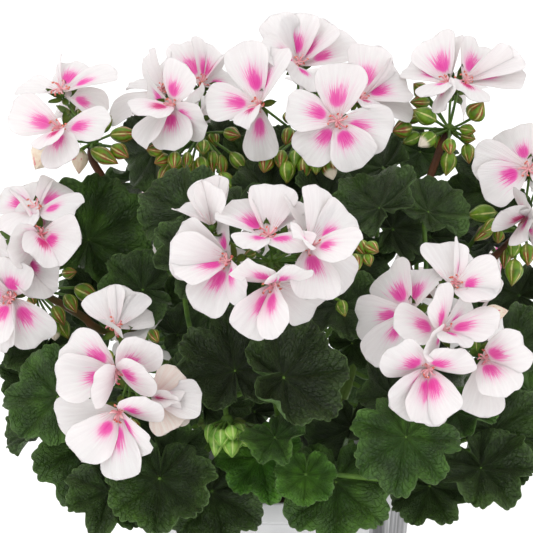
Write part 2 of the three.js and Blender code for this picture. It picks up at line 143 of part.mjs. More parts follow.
// Flower heads: [name, centre of the umbel, stalk radius, stalk path,
// flowers [centre, axis, opening, petals [direction, upper side, [length, width, arch, hollow, blotch]]],
// buds [foot, tip, radius, kind]].
const HEADS = [
  ['flower_head_top_left', [-91.6,4.7,281.8], 2, [[-91.6,4.7,281.8],[-92.9,6.7,275.1],[-86.9,10.7,262.6],[-86.2,11.9,259.8],[-67.4,4,204.3],[-73.8,7,199.6]],
    [[[-105.1,-13.1,290.9],[-0.28,-0.953,0.112],1,[[[-0.879,-0.291,0.378],[0.264,-0.957,-0.124],[27.5,20,0.03,0.05,2]],
      [[0.857,-0.513,0.045],[-0.408,-0.623,0.667],[27.5,20,0.06,0.09,2]],
      [[0.085,-0.772,-0.63],[-0.48,-0.586,0.653],[27.5,20,0.08,0.06,2]],
      [[-0.187,-0.936,-0.299],[-0.348,-0.222,0.911],[27.5,15.62,0.05,0.08,3]],
      [[-0.657,0.751,-0.066],[-0.422,-0.294,0.858],[27.5,13.66,0.06,0.1,0]]]],
     [[-106.7,5.6,306.6],[-0.108,-0.755,0.647],1,[[[-0.213,0.892,0.398],[-0.897,-0.34,0.283],[27.5,19.84,0.03,0.09,0]],
      [[0.332,0.803,0.495],[-0.024,-0.517,0.856],[27.5,20,0.08,0.05,2]],
      [[0.901,0.284,0.326],[-0.145,-0.511,0.847],[30.26,16.86,0.06,0.08,1]],
      [[0.773,0.428,-0.469],[0.631,-0.6,0.492],[27.5,20,0.05,0.11,1]],
      [[-0.857,0.515,0],[-0.25,-0.416,0.874],[27.5,16.86,0.05,0.11,0]]]],
     [[-104.1,28.1,295.4],[-0.108,0.97,0.216],0.75,[[[-0.377,0.854,0.357],[0.423,-0.184,0.887],[20.63,20,0.08,0.09,0]],
      [[0.318,0.906,0.278],[-0.147,-0.243,0.959],[20.63,20,0.05,0.08,0]],
      [[0.414,0.869,-0.27],[0.778,-0.184,0.601],[20.63,20,0.04,0.08,0]],
      [[-0.087,0.819,-0.568],[-0.795,-0.401,-0.456],[20.63,20,0.06,0.06,0]],
      [[-0.533,0.829,-0.167],[-0.643,-0.269,0.717],[20.63,20,0.03,0.1,0]]]]],
    [[[-83.1,-1.7,286.4],[-68.6,-3.7,287.1],3.28,0],[[-81.8,-6.5,281.4],[-73.2,-11.2,276.4],3.27,0],[[-91.8,-10.7,280.3],[-78.4,-13.7,273.7],3.25,0],[[-110.6,-8,285],[-118.1,-13.6,271.3],5.71,2],[[-97.2,-4.7,280.2],[-97.6,-8.6,268.3],3.27,2],[[-86.7,13.3,291.5],[-82.9,9.3,294.9],1.66,0],[[-98.7,13.8,294.5],[-97.3,9.2,298.9],1.66,0],[[-89.2,18.5,286],[-82.7,13.1,292.6],2.09,0]]],
  ['flower_head_top_left_middle', [-38.7,16.4,285.2], 2, [[-38.7,16.4,285.2],[-37.3,16,281.2],[-33.3,18.8,262.9],[-9.9,11.4,248.9],[-1.5,10.3,248.1]],
    [[[-51.6,-7.4,301.6],[-0.154,-0.976,0.154],1,[[[0.242,-0.557,0.795],[-0.689,-0.675,-0.264],[27.5,20,0.05,0.05,2]],
      [[-0.501,-0.856,-0.126],[0.217,-0.265,0.94],[27.5,20,0.05,0.07,3]],
      [[-0.492,-0.517,-0.701],[-0.516,-0.475,0.713],[27.5,19.6,0.06,0.11,0]],
      [[0.113,-0.664,-0.739],[-0.304,-0.731,0.611],[27.5,20,0.03,0.1,2]],
      [[0.66,-0.673,-0.334],[-0.751,-0.604,-0.266],[27.5,20,0.05,0.07,2]],
      [[-0.437,0.827,0.355],[-0.899,-0.383,-0.213],[27.5,19.6,0.08,0.08,1]]]],
     [[-54.6,15.5,305.4],[-0.647,-0.539,0.539],1,[[[-0.371,0.543,0.753],[-0.848,-0.529,-0.036],[27.5,18.04,0.06,0.09,0]],
      [[-0.071,0.788,0.612],[-0.83,-0.387,0.403],[27.5,18.04,0.06,0.06,1]],
      [[-0.805,0.586,0.088],[-0.183,-0.387,0.904],[27.5,10.02,0.08,0.1,0]],
      [[-0.902,0.091,-0.423],[-0.405,-0.521,0.751],[33,19.04,0.05,0.09,0]]]],
     [[-38.2,20.1,309.1],[0.117,-0.702,0.702],1,[[[-0.437,0.48,0.761],[0.221,-0.763,0.608],[27.5,20,0.05,0.09,2]],
      [[0.096,0.603,0.792],[0.654,-0.638,0.406],[27.5,20,0.06,0.1,2]],
      [[0.704,0.71,-0.01],[0.441,-0.426,0.79],[27.5,20,0.05,0.06,1]],
      [[0.294,0.812,0.504],[-0.491,-0.325,0.808],[27.5,20,0.05,0.09,3]],
      [[-0.024,-0.956,-0.292],[-0.733,-0.182,0.656],[27.5,14.08,0.06,0.1,0]]]],
     [[-41.6,41.6,291.2],[0,0.979,0.206],0.8,[[[-0.501,0.786,0.363],[0.102,-0.363,0.926],[22,20,0.05,0.11,0]],
      [[0.213,0.806,0.552],[-0.469,-0.411,0.782],[22,20,0.07,0.06,0]],
      [[0.592,0.803,0.076],[0.374,-0.357,0.856],[22,20,0.06,0.07,0]],
      [[0.256,0.767,-0.589],[0.914,-0.391,-0.111],[22,20,0.05,0.1,0]],
      [[-0.364,0.789,-0.495],[-0.913,-0.408,0.021],[22,20,0.07,0.06,0]]]]],
    [[[-56.4,-12.8,280],[-63.4,-18.7,281.1],2.84,0],[[-53.1,-11.4,276.5],[-59.6,-17.6,274.2],2.85,0],[[-49.9,-15,279.3],[-50.1,-22.1,271.7],2.84,0],[[-36.4,-10.1,284.7],[-36.2,-15.9,278.4],2.85,0],[[-52.9,-5.8,272.9],[-58.6,-9.7,263],2.46,0],[[-37.9,-9.3,276.7],[-36.3,-15,267.5],2.85,0],[[-31.6,-4.8,279.3],[-31.6,-8.2,268.7],2.46,0],[[-27.7,-3.2,277.1],[-27.2,-6.9,265.6],2.46,0],[[-26.3,0.5,287.7],[-18.3,-5.6,286.2],2.88,0],[[-23.3,-3,278.1],[-15.4,-6.4,269],2.87,0],[[-28.5,-12.5,269.2],[-20.2,-16,260.2],2.85,0],[[-43.8,-9,278.7],[-44.6,-16.4,270.6],2.45,0],[[-42.1,-1.6,274],[-41.9,-9,265.8],2.47,0],[[-47.2,-0.1,270.8],[-52.9,-5.7,268.4],2.06,0],[[-32.6,12.5,286.6],[-30.4,6.4,280.1],2.49,0]]],
  ['flower_head_top_middle', [11.5,12.2,284.6], 2, [[11.5,12.2,284.6],[10.9,12.7,279.4],[12.5,13.7,246.5],[4.5,10.9,247.5]],
    [[[-8.9,-11.4,301.9],[-0.102,-0.99,0.102],1,[[[-0.251,0.236,0.939],[-0.131,-0.969,0.208],[33,20.77,0.04,0.07,2]],
      [[0.345,0.238,0.908],[-0.485,-0.783,0.389],[31.19,20,0.07,0.09,2]],
      [[-0.969,-0.245,0.036],[0.225,-0.808,0.544],[27.5,20,0.06,0.06,2]],
      [[0.156,-0.297,-0.942],[-0.628,-0.766,0.138],[28.21,20,0.05,0.1,2]],
      [[-0.239,-0.92,-0.311],[-0.428,-0.187,0.884],[27.5,13.66,0.07,0.07,3]]]],
     [[10.5,13.7,319.5],[0,-0.848,0.53],1,[[[0.056,0.255,0.965],[-0.316,-0.913,0.26],[27.5,20,0.07,0.09,2]],
      [[-0.482,0.225,0.847],[0.178,-0.921,0.346],[29.02,20,0.06,0.1,0]],
      [[0.595,0.206,0.777],[-0.363,-0.794,0.488],[27.82,20,0.06,0.11,2]],
      [[0.925,0.169,0.341],[-0.078,-0.793,0.605],[33,20,0.05,0.1,1]],
      [[-0.652,-0.686,0.323],[0.73,-0.453,0.512],[27.5,20,0.07,0.06,3]],
      [[0.057,-0.941,-0.335],[0.55,-0.25,0.797],[27.5,20,0.06,0.09,1]]]],
     [[28.9,-20.6,294.9],[0,-0.995,0.102],1,[[[0.054,-0.145,0.988],[-0.014,-0.989,-0.145],[29.54,23.85,0.04,0.08,2]],
      [[-0.902,-0.348,0.256],[0.423,-0.833,0.357],[27.5,20,0.07,0.06,2]],
      [[-0.639,-0.383,-0.667],[0.211,-0.921,0.327],[27.5,20,0.04,0.1,2]],
      [[0.423,-0.493,-0.761],[-0.192,-0.869,0.456],[27.5,21.68,0.07,0.07,2]],
      [[0.948,-0.273,-0.162],[-0.251,-0.957,0.148],[28.64,22.77,0.04,0.07,2]]]],
     [[40.4,-0.9,304.1],[0.316,-0.895,0.316],1,[[[0.211,0.23,0.95],[0.286,-0.944,0.165],[28.61,22.09,0.07,0.07,2]],
      [[0.918,0.336,0.21],[0.113,-0.731,0.673],[27.5,20,0.07,0.09,2]],
      [[0.942,0.103,-0.319],[0.325,-0.51,0.796],[28.61,19.72,0.03,0.09,0]],
      [[0.687,0.458,0.564],[0.691,-0.65,-0.315],[27.5,20,0.07,0.08,0]],
      [[0.184,-0.971,-0.155],[0.199,-0.118,0.973],[27.5,11.83,0.04,0.1,3]]]],
     [[21.3,45.7,304.3],[0.105,0.943,0.314],0.85,[[[-0.384,0.857,0.344],[0.017,-0.366,0.93],[23.38,20,0.05,0.06,0]],
      [[0.288,0.8,0.527],[-0.37,-0.414,0.832],[23.38,20,0.06,0.1,0]],
      [[0.605,0.794,-0.056],[0.598,-0.407,0.69],[23.38,20,0.08,0.05,0]],
      [[0.202,0.778,-0.594],[0.812,-0.473,-0.343],[23.38,20,0.06,0.05,0]],
      [[-0.428,0.802,-0.416],[-0.903,-0.399,0.16],[23.38,20,0.05,0.06,0]]]]],
    [[[-4.5,-11.3,276.9],[-6.5,-18.2,269.8],3.25,0],[[2.3,-12.8,280],[1.3,-20.2,272],2.84,0],[[4.7,-17.6,275.6],[4.7,-21.1,264.8],3.23,0],[[9.7,-10.8,279.8],[8.2,-18.1,271.8],2.85,0],[[13.5,-15.3,277.3],[13.5,-18.8,266.5],3.24,0],[[19.3,-19.1,278.7],[18.7,-25.3,269.6],2.82,0],[[24.9,-10.5,281.8],[26.2,-17.9,273.7],2.44,0],[[24.2,-17.7,274.7],[26.9,-25.3,267.2],3.23,1],[[6.4,4.8,289.3],[4.4,-2.4,281.5],2.89,0],[[4.6,18.1,296.2],[7.5,12.5,290.6],2.5,0],[[22.1,-4.8,279.3],[22.9,-12.2,271.1],2.46,0]]],
  ['flower_head_top_right', [86.1,10.8,288.2], 2, [[86.1,10.8,288.2],[83.1,9.8,282.3],[75.7,2.8,263.5],[63.2,-10,233.7],[62.7,-13.5,228.3],[72.4,2.8,205.8],[76.6,9.7,203]],
    [[[84.8,0.3,311.9],[-0.367,-0.892,0.262],1,[[[-0.348,0.49,0.8],[-0.404,-0.848,0.344],[27.5,23.19,0.06,0.1,2]],
      [[-0.749,0.62,0.232],[-0.193,-0.54,0.819],[27.5,20,0.08,0.07,1]],
      [[0.104,0.667,0.738],[-0.715,-0.465,0.522],[27.5,20,0.05,0.11,0]],
      [[-0.376,-0.904,-0.203],[-0.185,-0.141,0.973],[27.5,17.75,0.08,0.06,1]],
      [[-0.08,-0.937,-0.34],[-0.85,-0.115,0.515],[27.5,17.75,0.07,0.09,3]]]],
     [[91.9,2.4,312.3],[0.362,-0.879,0.31],1,[[[0.378,0.621,0.687],[0.444,-0.773,0.453],[27.5,20,0.05,0.07,2]],
      [[0.836,0.123,0.535],[0.38,-0.832,-0.403],[29.13,20,0.08,0.1,0]],
      [[0.942,0.094,0.321],[-0.207,-0.588,0.782],[33,20,0.06,0.08,0]],
      [[0.996,0.074,0.058],[0.006,-0.666,0.746],[31.54,20,0.05,0.08,1]],
      [[0.033,-0.962,-0.269],[0.386,-0.236,0.892],[27.5,20,0.05,0.07,3]]]],
     [[91.6,35.7,305],[0,0.949,0.316],0.75,[[[-0.326,0.882,0.341],[0.146,-0.309,0.94],[20.63,20,0.08,0.07,0]],
      [[0.219,0.809,0.546],[-0.673,-0.28,0.685],[20.63,20,0.04,0.09,0]],
      [[0.577,0.804,0.145],[0.17,-0.291,0.941],[20.63,20,0.06,0.08,0]],
      [[0.29,0.885,-0.365],[0.946,-0.322,-0.029],[20.63,20,0.07,0.06,0]],
      [[-0.211,0.94,-0.268],[-0.938,-0.118,0.327],[20.63,20,0.04,0.09,0]]]]],
    [[[96,5.5,293.2],[101.9,2.3,301.9],4.13,0],[[79,-0.6,293.2],[67.5,-1.9,298.7],3.69,0],[[67,2.9,289.9],[57.2,-2,288.4],3.71,0],[[78,-7.6,287.4],[69.4,-11.7,281.9],3.26,1],[[84,-12,285.4],[84.1,-18.2,278.6],2.84,0],[[76,19.4,304.1],[68.6,14.4,310.5],3.34,0],[[76.9,16.9,301.3],[67,12.1,301.6],2.92,0],[[90.8,2.8,289],[97.6,-3.7,288.5],2.47,0],[[91.7,6.3,285.6],[98,0,284.2],2.48,0],[[94.5,3.7,281.9],[95,-2,272.5],2.89,0],[[85.5,-2.8,279.1],[83.3,-6.6,267.1],3.28,0],[[71.4,8.4,286],[62.6,3.1,282],2.9,0],[[74.2,19.8,294],[60.9,17.8,293.2],2.93,0],[[81.9,14.2,284.4],[79.5,9,278.9],2.5,0]]],
  ['flower_head_right', [123.3,8.6,236.5], 2, [[123.3,8.6,236.5],[117.8,4.1,233.1],[107.6,-3.3,225.1],[105.5,-4.5,223.6],[93.9,-1.3,212],[86.5,5.7,197.7],[80.1,10.4,200.9]],
    [[[123.2,-14.3,270.4],[-0.206,-0.957,0.206],1,[[[-0.289,0.664,0.69],[-0.367,-0.743,0.56],[27.5,21.91,0.06,0.09,1]],
      [[-0.974,-0.077,0.211],[0.109,-0.983,0.146],[28.96,20,0.05,0.08,1]],
      [[-0.898,-0.299,-0.322],[0.173,-0.914,0.368],[27.5,21.91,0.06,0.07,2]],
      [[0.562,0.651,0.51],[0.02,-0.627,0.779],[27.5,20,0.06,0.06,2]],
      [[0.661,-0.723,-0.202],[-0.416,-0.576,0.704],[27.5,20,0.05,0.06,2]]]],
     [[120.9,-24,248],[-0.316,-0.949,0],1,[[[-0.541,-0.825,0.163],[0.403,-0.424,-0.811],[27.5,20,0.06,0.05,3]],
      [[-0.152,-0.955,-0.255],[-0.801,-0.032,0.597],[27.5,17.5,0.03,0.1,1]],
      [[-0.055,-0.9,0.433],[-0.92,-0.122,-0.372],[27.5,20,0.04,0.1,3]],
      [[0.254,-0.931,0.263],[-0.224,-0.321,-0.92],[27.5,19.44,0.03,0.07,2]],
      [[0.226,-0.957,-0.185],[-0.95,-0.174,-0.26],[27.5,19.44,0.06,0.05,2]]]],
     [[144,3.1,265.5],[0.549,-0.768,0.329],1,[[[-0.045,0.569,0.821],[0.131,-0.811,0.57],[27.5,20,0.04,0.06,2]],
      [[0.788,0.442,0.429],[0.446,-0.889,0.098],[27.5,20,0.07,0.06,2]],
      [[0.692,-0.664,-0.284],[-0.343,-0.649,0.679],[27.5,20,0.03,0.07,2]],
      [[0.063,-0.656,-0.752],[0.243,-0.721,0.649],[27.5,20,0.06,0.07,2]],
      [[-0.66,-0.662,-0.356],[0.708,-0.707,0.002],[27.5,20,0.06,0.09,0]]]],
     [[142.8,11.4,241.2],[0.97,-0.243,0],1,[[[0.644,0.652,0.4],[0.715,-0.699,-0.012],[27.5,20,0.04,0.06,2]],
      [[0.82,0.471,-0.327],[0.572,-0.646,0.505],[27.5,20,0.06,0.06,2]],
      [[0.193,-0.757,-0.624],[0.291,-0.563,0.773],[27.5,20,0.05,0.05,2]],
      [[-0.331,-0.859,-0.39],[0.798,-0.476,0.371],[27.5,20,0.04,0.1,2]],
      [[0.1,0.786,0.609],[0.595,-0.538,0.597],[27.5,20,0.04,0.08,0]]]],
     [[137.7,34.2,270.2],[0.105,0.943,0.314],0.9,[[[-0.241,0.913,0.33],[0.046,-0.329,0.943],[24.75,20,0.05,0.07,0]],
      [[0.325,0.766,0.555],[-0.505,-0.356,0.786],[24.75,20,0.07,0.09,0]],
      [[0.709,0.704,-0.031],[0.478,-0.448,0.755],[24.75,20,0.04,0.09,0]],
      [[0.346,0.733,-0.586],[0.798,-0.559,-0.227],[24.75,20,0.08,0.06,0]],
      [[-0.189,0.861,-0.473],[-0.968,-0.244,-0.056],[24.75,20,0.04,0.07,0]]]]],
    [[[108.5,-9.6,249],[94,-11.6,247.8],3.68,0],[[108.7,-16.2,245.9],[100.5,-21.2,240.7],2.85,0],[[107.2,-8.6,242.9],[97.6,-11.4,235.3],2.87,0],[[110.1,-5.1,239.4],[109.1,-10.7,233.7],2.47,0],[[118.3,-7.8,234.8],[115.6,-15,226.9],2.88,0],[[116.8,-17.1,227.2],[115,-21.8,214.6],3.67,0],[[123.5,-10,233.7],[123.7,-13.9,223.3],3.28,0],[[114.6,1.6,230.4],[113.3,-2.2,219.9],2.49,0],[[132.1,5.2,227.9],[134.8,0.8,217.4],2.92,0],[[141,11.2,227],[145.6,6.5,217.5],2.93,0]]],
  ['flower_head_left', [-119.9,-15.6,211], 2, [[-119.9,-15.6,211],[-109.1,-16.5,205.7],[-94.5,-15.9,196.5],[-92.3,-15.2,193.8],[-78,0.3,184.9],[-72.2,5.6,188.2]],
    [[[-116,-35.4,252.4],[0,-0.848,0.53],1,[[[-0.201,0.891,0.406],[-0.129,-0.435,0.891],[27.5,20.43,0.07,0.11,0]],
      [[0.45,0.808,0.38],[0.331,-0.546,0.77],[27.5,20.43,0.05,0.09,2]],
      [[-0.778,0.614,0.135],[-0.281,-0.531,0.799],[27.5,20,0.05,0.06,2]],
      [[0.791,-0.606,0.079],[-0.395,-0.407,0.824],[27.5,20,0.04,0.09,1]],
      [[-0.347,-0.89,-0.296],[-0.096,-0.281,0.955],[27.5,20,0.07,0.1,0]]]],
     [[-112.2,-52.9,244.2],[0.216,-0.97,0.108],1,[[[0.715,-0.691,-0.106],[-0.629,-0.702,0.334],[27.5,23.26,0.05,0.08,1]],
      [[0.471,0.85,0.234],[0.882,-0.451,-0.137],[27.5,20,0.05,0.11,0]],
      [[-0.439,-0.887,-0.145],[0.896,-0.443,-0.006],[27.5,20,0.04,0.08,2]],
      [[-0.001,-0.94,-0.34],[0.639,-0.262,0.723],[27.5,20,0.08,0.09,3]],
      [[-0.604,0.745,0.284],[-0.222,-0.499,0.838],[27.5,20,0.04,0.07,2]],
      [[-0.271,0.903,0.334],[0.557,-0.136,0.819],[27.5,20,0.06,0.07,3]]]],
     [[-125.7,-55.6,214.5],[-0.102,-0.99,0.102],1,[[[0.127,-0.62,0.775],[-0.254,-0.775,-0.578],[27.5,20,0.07,0.08,2]],
      [[-0.772,-0.53,0.35],[0.386,-0.829,-0.405],[27.5,20,0.07,0.09,2]],
      [[-0.371,-0.653,-0.66],[-0.062,-0.692,0.719],[27.5,20,0.07,0.09,2]],
      [[0.563,-0.292,-0.773],[-0.19,-0.956,0.223],[27.84,21.19,0.08,0.08,2]],
      [[-0.022,-0.506,-0.863],[-0.74,-0.572,0.354],[27.5,18.92,0.07,0.05,1]]]],
     [[-121.5,-41.1,229],[0.566,-0.793,-0.226],1,[[[0.666,-0.735,-0.127],[-0.746,-0.656,-0.117],[27.5,20,0.06,0.05,1]],
      [[0.326,-0.805,-0.496],[0.397,-0.36,0.844],[27.5,20,0.07,0.06,0]],
      [[-0.292,-0.955,0.046],[0.819,-0.274,-0.504],[27.5,20,0.06,0.08,2]]]],
     [[-141.4,-27,241.5],[-0.636,-0.742,0.212],1,[[[-0.194,0.727,0.659],[-0.36,-0.678,0.641],[27.5,20,0.07,0.06,2]],
      [[-0.841,0.452,0.297],[-0.48,-0.877,-0.027],[27.5,20,0.06,0.1,2]],
      [[-0.713,-0.651,-0.259],[0.305,-0.621,0.722],[27.5,20,0.08,0.06,2]],
      [[-0.121,-0.736,-0.667],[-0.238,-0.63,0.739],[27.5,20,0.04,0.08,2]],
      [[0.55,-0.775,-0.31],[-0.835,-0.498,-0.235],[27.5,19.4,0.05,0.07,0]]]],
     [[-152.1,-11.4,212.3],[-0.937,-0.331,0.11],1,[[[-0.456,0.699,0.551],[-0.704,-0.662,0.257],[27.5,20,0.06,0.08,2]],
      [[-0.788,0.608,-0.102],[-0.478,-0.498,0.723],[27.5,20,0.06,0.08,2]],
      [[-0.243,-0.828,-0.504],[-0.21,-0.463,0.861],[27.5,20,0.04,0.07,2]],
      [[0.302,-0.712,-0.634],[-0.701,-0.617,0.358],[27.5,20,0.07,0.06,2]],
      [[0.147,0.835,0.53],[-0.385,-0.445,0.808],[27.5,20,0.07,0.06,0]]]],
     [[-133.3,16.2,233.4],[0,0.949,0.316],0.9,[[[-0.476,0.84,0.26],[0.087,-0.249,0.965],[24.75,20,0.06,0.07,0]],
      [[0.151,0.872,0.466],[-0.335,-0.399,0.854],[24.75,20,0.05,0.05,0]],
      [[0.52,0.846,-0.121],[0.631,-0.285,0.722],[24.75,20,0.04,0.06,0]],
      [[0.146,0.741,-0.655],[0.908,-0.363,-0.209],[24.75,20,0.08,0.07,0]],
      [[-0.397,0.75,-0.529],[-0.862,-0.502,-0.065],[24.75,20,0.04,0.1,0]]]]],
    [[[-99.1,-27.2,214.5],[-87.2,-30,209],3.64,0],[[-103,-31.7,211.8],[-97.3,-36.7,203.8],2.82,0],[[-108.4,-36.5,207.2],[-102.9,-39.9,198.1],2.81,0],[[-106.6,-31.6,199.9],[-101.6,-35.1,190.7],2.82,0],[[-107.7,-40,197.6],[-106.7,-46.2,191.9],2.4,1],[[-105.7,-18.4,219.5],[-98.4,-22.7,221.2],2.45,0],[[-120,-32,209.9],[-117.5,-37.7,207.9],2.01,0],[[-130.5,-28.6,193.4],[-127,-34.1,184.6],2.84,0],[[-116.8,-19.3,200.7],[-114.5,-23.3,190.4],2.86,0],[[-127.6,-12.1,195.3],[-126.3,-16.6,184.1],2.88,0]]],
  ['flower_head_front_middle', [-2.8,-90.5,236.7], 2, [[-2.8,-90.5,236.7],[-4.8,-86.3,231.4],[-7.2,-63.2,176.9],[-1.8,-57.8,180.7]],
    [[[-21,-114.1,241.3],[-0.465,-0.879,0.103],1,[[[-0.962,-0.223,0.161],[0.225,-0.974,-0.003],[28.17,20.79,0.07,0.1,0]],
      [[-0.9,-0.398,-0.18],[0.093,-0.577,0.812],[27.5,20,0.05,0.06,2]],
      [[-0.469,-0.363,-0.805],[-0.18,-0.853,0.49],[27.85,20,0.07,0.09,2]],
      [[0.249,-0.864,-0.438],[-0.929,-0.341,0.144],[27.5,15.91,0.08,0.06,2]],
      [[-0.159,0.745,0.648],[-0.874,-0.411,0.259],[27.5,17.68,0.04,0.06,1]],
      [[-0.828,0.233,0.51],[-0.398,-0.885,-0.243],[28,20,0.05,0.08,0]]]],
     [[-4.6,-118.5,252.2],[0,-0.951,0.31],1,[[[0.098,0.594,0.799],[0.033,-0.804,0.594],[27.5,20.65,0.04,0.09,0]],
      [[-0.098,0.868,0.487],[0.678,-0.3,0.671],[27.5,20,0.05,0.1,1]],
      [[-0.713,0.555,0.428],[0.041,-0.577,0.816],[27.5,20,0.05,0.08,2]],
      [[-0.451,-0.891,-0.045],[0.165,-0.133,0.977],[27.5,15.8,0.05,0.05,2]],
      [[0.475,0.829,0.294],[-0.211,-0.218,0.953],[27.5,19.32,0.05,0.07,1]],
      [[0.56,-0.82,-0.119],[-0.122,-0.223,0.967],[27.5,20,0.05,0.06,2]]]],
     [[13.4,-121,249],[0.259,-0.953,0.155],1,[[[0.083,0.306,0.948],[0.742,-0.655,0.147],[27.78,20,0.07,0.1,0]],
      [[-0.248,0.665,0.705],[0.657,-0.419,0.626],[27.5,20,0.04,0.08,0]],
      [[0.674,0.582,0.454],[0.492,-0.813,0.311],[27.5,20.6,0.05,0.09,1]],
      [[0.735,-0.678,-0.026],[-0.415,-0.48,0.773],[27.5,20,0.04,0.1,1]],
      [[0.665,0.177,-0.725],[0.502,-0.826,0.258],[27.5,20,0.07,0.05,0]],
      [[0.085,-0.561,-0.823],[0.246,-0.789,0.563],[27.5,21.58,0.07,0.06,2]],
      [[-0.252,-0.943,0.217],[0.774,-0.062,0.63],[27.5,14.02,0.05,0.08,1]]]],
     [[-2.4,-127.6,233.2],[0,-0.988,-0.156],1,[[[-0.389,-0.797,0.462],[-0.078,-0.471,-0.879],[27.5,20,0.04,0.09,2]],
      [[0.29,-0.858,0.424],[0.167,-0.391,-0.905],[27.5,20,0.05,0.1,2]],
      [[-0.552,-0.355,-0.755],[0.503,-0.863,0.037],[27.51,20,0.05,0.09,2]],
      [[0.123,-0.718,-0.685],[-0.805,-0.475,0.354],[27.5,20,0.07,0.09,2]],
      [[0.727,0.451,-0.517],[0.285,-0.884,-0.37],[27.5,21.49,0.08,0.06,0]]]],
     [[-29.7,-99.9,254.5],[-0.105,-0.527,0.843],0.8,[[[-0.083,0.303,0.95],[-0.509,-0.832,0.221],[22.91,20,0.05,0.05,0]],
      [[-0.154,-0.092,0.984],[0.697,-0.716,0.042],[22.22,20,0.06,0.1,0]],
      [[-0.678,0.659,0.327],[0.154,-0.307,0.939],[22,16.13,0.04,0.11,0]],
      [[0.053,-0.336,0.94],[-0.755,-0.63,-0.182],[22,20,0.05,0.05,0]]]],
     [[3.7,-80.5,249.1],[0.108,0.647,0.755],0.8,[[[-0.332,0.907,0.259],[0.173,-0.211,0.962],[22,20,0.05,0.09,0]],
      [[0.262,0.861,0.436],[-0.459,-0.286,0.841],[22,20,0.04,0.1,0]],
      [[0.56,0.82,-0.115],[0.552,-0.266,0.79],[22,20,0.04,0.08,0]],
      [[0.094,0.805,-0.586],[0.835,-0.384,-0.394],[22,20,0.08,0.1,0]],
      [[-0.417,0.809,-0.414],[-0.898,-0.295,0.328],[22,20,0.08,0.08,0]]]]],
    [[[36.5,-85,246],[39.8,-92.3,239.7],2.65,0],[[40,-89.3,244.8],[45.1,-95,242],2.64,0],[[34.3,-93.9,240.9],[35.9,-100.7,234.7],2.63,0],[[39.9,-92,240.6],[41.5,-95.9,235.7],2.26,0],[[31.1,-83.5,243],[33.6,-88.4,246.5],1.9,0],[[28.3,-89.3,219],[30.3,-96.3,212.8],2.27,0],[[-10,-101.7,243],[-15.3,-105.2,241.7],1.86,0]]],
  ['flower_head_front_right', [74.4,-84.7,209.8], 2, [[74.4,-84.7,209.8],[72.8,-82.8,203.1],[54.4,-48.8,176.5],[54.1,-40.7,179.1]],
    [[[59.8,-102,215.7],[-0.358,-0.921,0.153],1,[[[-0.373,0.708,0.6],[-0.572,-0.685,0.452],[27.5,22.18,0.07,0.08,2]],
      [[0.361,0.715,0.599],[-0.383,-0.472,0.794],[27.5,20,0.05,0.08,2]],
      [[-0.899,0.388,-0.205],[-0.419,-0.897,0.14],[27.5,20.16,0.07,0.1,1]],
      [[-0.565,-0.329,-0.756],[-0.374,-0.715,0.591],[30.06,20,0.06,0.09,1]]]],
     [[72.1,-117.1,209.9],[0.102,-0.973,0.205],1,[[[-0.766,-0.606,0.213],[0.579,-0.509,0.636],[27.5,20,0.05,0.08,2]],
      [[-0.316,-0.948,-0.025],[0.926,-0.303,-0.224],[27.5,15.95,0.06,0.1,1]],
      [[0.598,0.704,0.384],[0.769,-0.639,-0.026],[27.5,20,0.03,0.08,1]],
      [[0.901,-0.415,0.128],[-0.336,-0.479,0.811],[27.5,20,0.06,0.05,2]],
      [[-0.204,-0.601,0.773],[0.842,-0.51,-0.174],[27.5,20,0.06,0.07,2]],
      [[0.183,-0.976,-0.115],[0.257,-0.066,0.964],[27.5,15.95,0.06,0.08,1]]]],
     [[79.4,-98.3,226],[0.303,-0.505,0.808],1,[[[-0.162,0.701,0.694],[0.122,-0.684,0.719],[27.5,21.22,0.05,0.05,0]],
      [[0.27,0.818,0.508],[0.741,-0.513,0.433],[27.5,20,0.07,0.06,1]],
      [[0.726,-0.618,0.3],[-0.686,-0.682,0.255],[27.5,20,0.06,0.1,1]],
      [[0.599,-0.8,-0.027],[-0.329,-0.276,0.903],[27.5,20,0.06,0.05,0]]]],
     [[66,-123.5,195],[0,-0.999,-0.051],1,[[[-0.713,-0.598,0.366],[0.334,-0.749,-0.572],[27.5,20,0.07,0.06,2]],
      [[0.497,-0.753,0.43],[-0.274,-0.607,-0.746],[27.5,20,0.07,0.05,2]],
      [[-0.602,-0.499,-0.623],[0.574,-0.813,0.096],[27.5,20,0.08,0.09,1]],
      [[-0.156,-0.505,-0.849],[0.425,-0.81,0.403],[27.5,20,0.04,0.09,2]],
      [[0.297,-0.565,-0.769],[-0.514,-0.774,0.37],[27.5,20,0.05,0.06,2]]]],
     [[90.9,-113.1,196.9],[0.362,-0.932,0],1,[[[0.652,-0.681,0.334],[-0.586,-0.732,-0.349],[27.5,20,0.07,0.08,2]],
      [[0.466,0.831,0.303],[0.838,-0.524,0.15],[27.5,20,0.04,0.05,0]],
      [[0.331,-0.833,-0.443],[-0.054,-0.485,0.873],[27.5,20,0.08,0.05,2]],
      [[-0.061,-0.413,-0.909],[0.349,-0.862,0.368],[27.71,20,0.08,0.08,0]],
      [[-0.211,0.351,-0.912],[0.61,-0.682,-0.404],[27.5,20,0.08,0.08,0]]]],
     [[80.9,-65.2,205.2],[0.212,0.742,0.636],0.85,[[[-0.248,0.925,0.287],[0.153,-0.255,0.955],[23.38,20,0.08,0.06,0]],
      [[0.358,0.852,0.383],[-0.358,-0.253,0.899],[23.38,20,0.04,0.09,0]],
      [[0.643,0.744,-0.18],[0.609,-0.354,0.709],[23.38,20,0.03,0.08,0]],
      [[0.197,0.712,-0.674],[0.757,-0.547,-0.357],[23.38,20,0.07,0.05,0]],
      [[-0.331,0.786,-0.521],[-0.943,-0.298,0.149],[23.38,20,0.06,0.08,0]]]]],
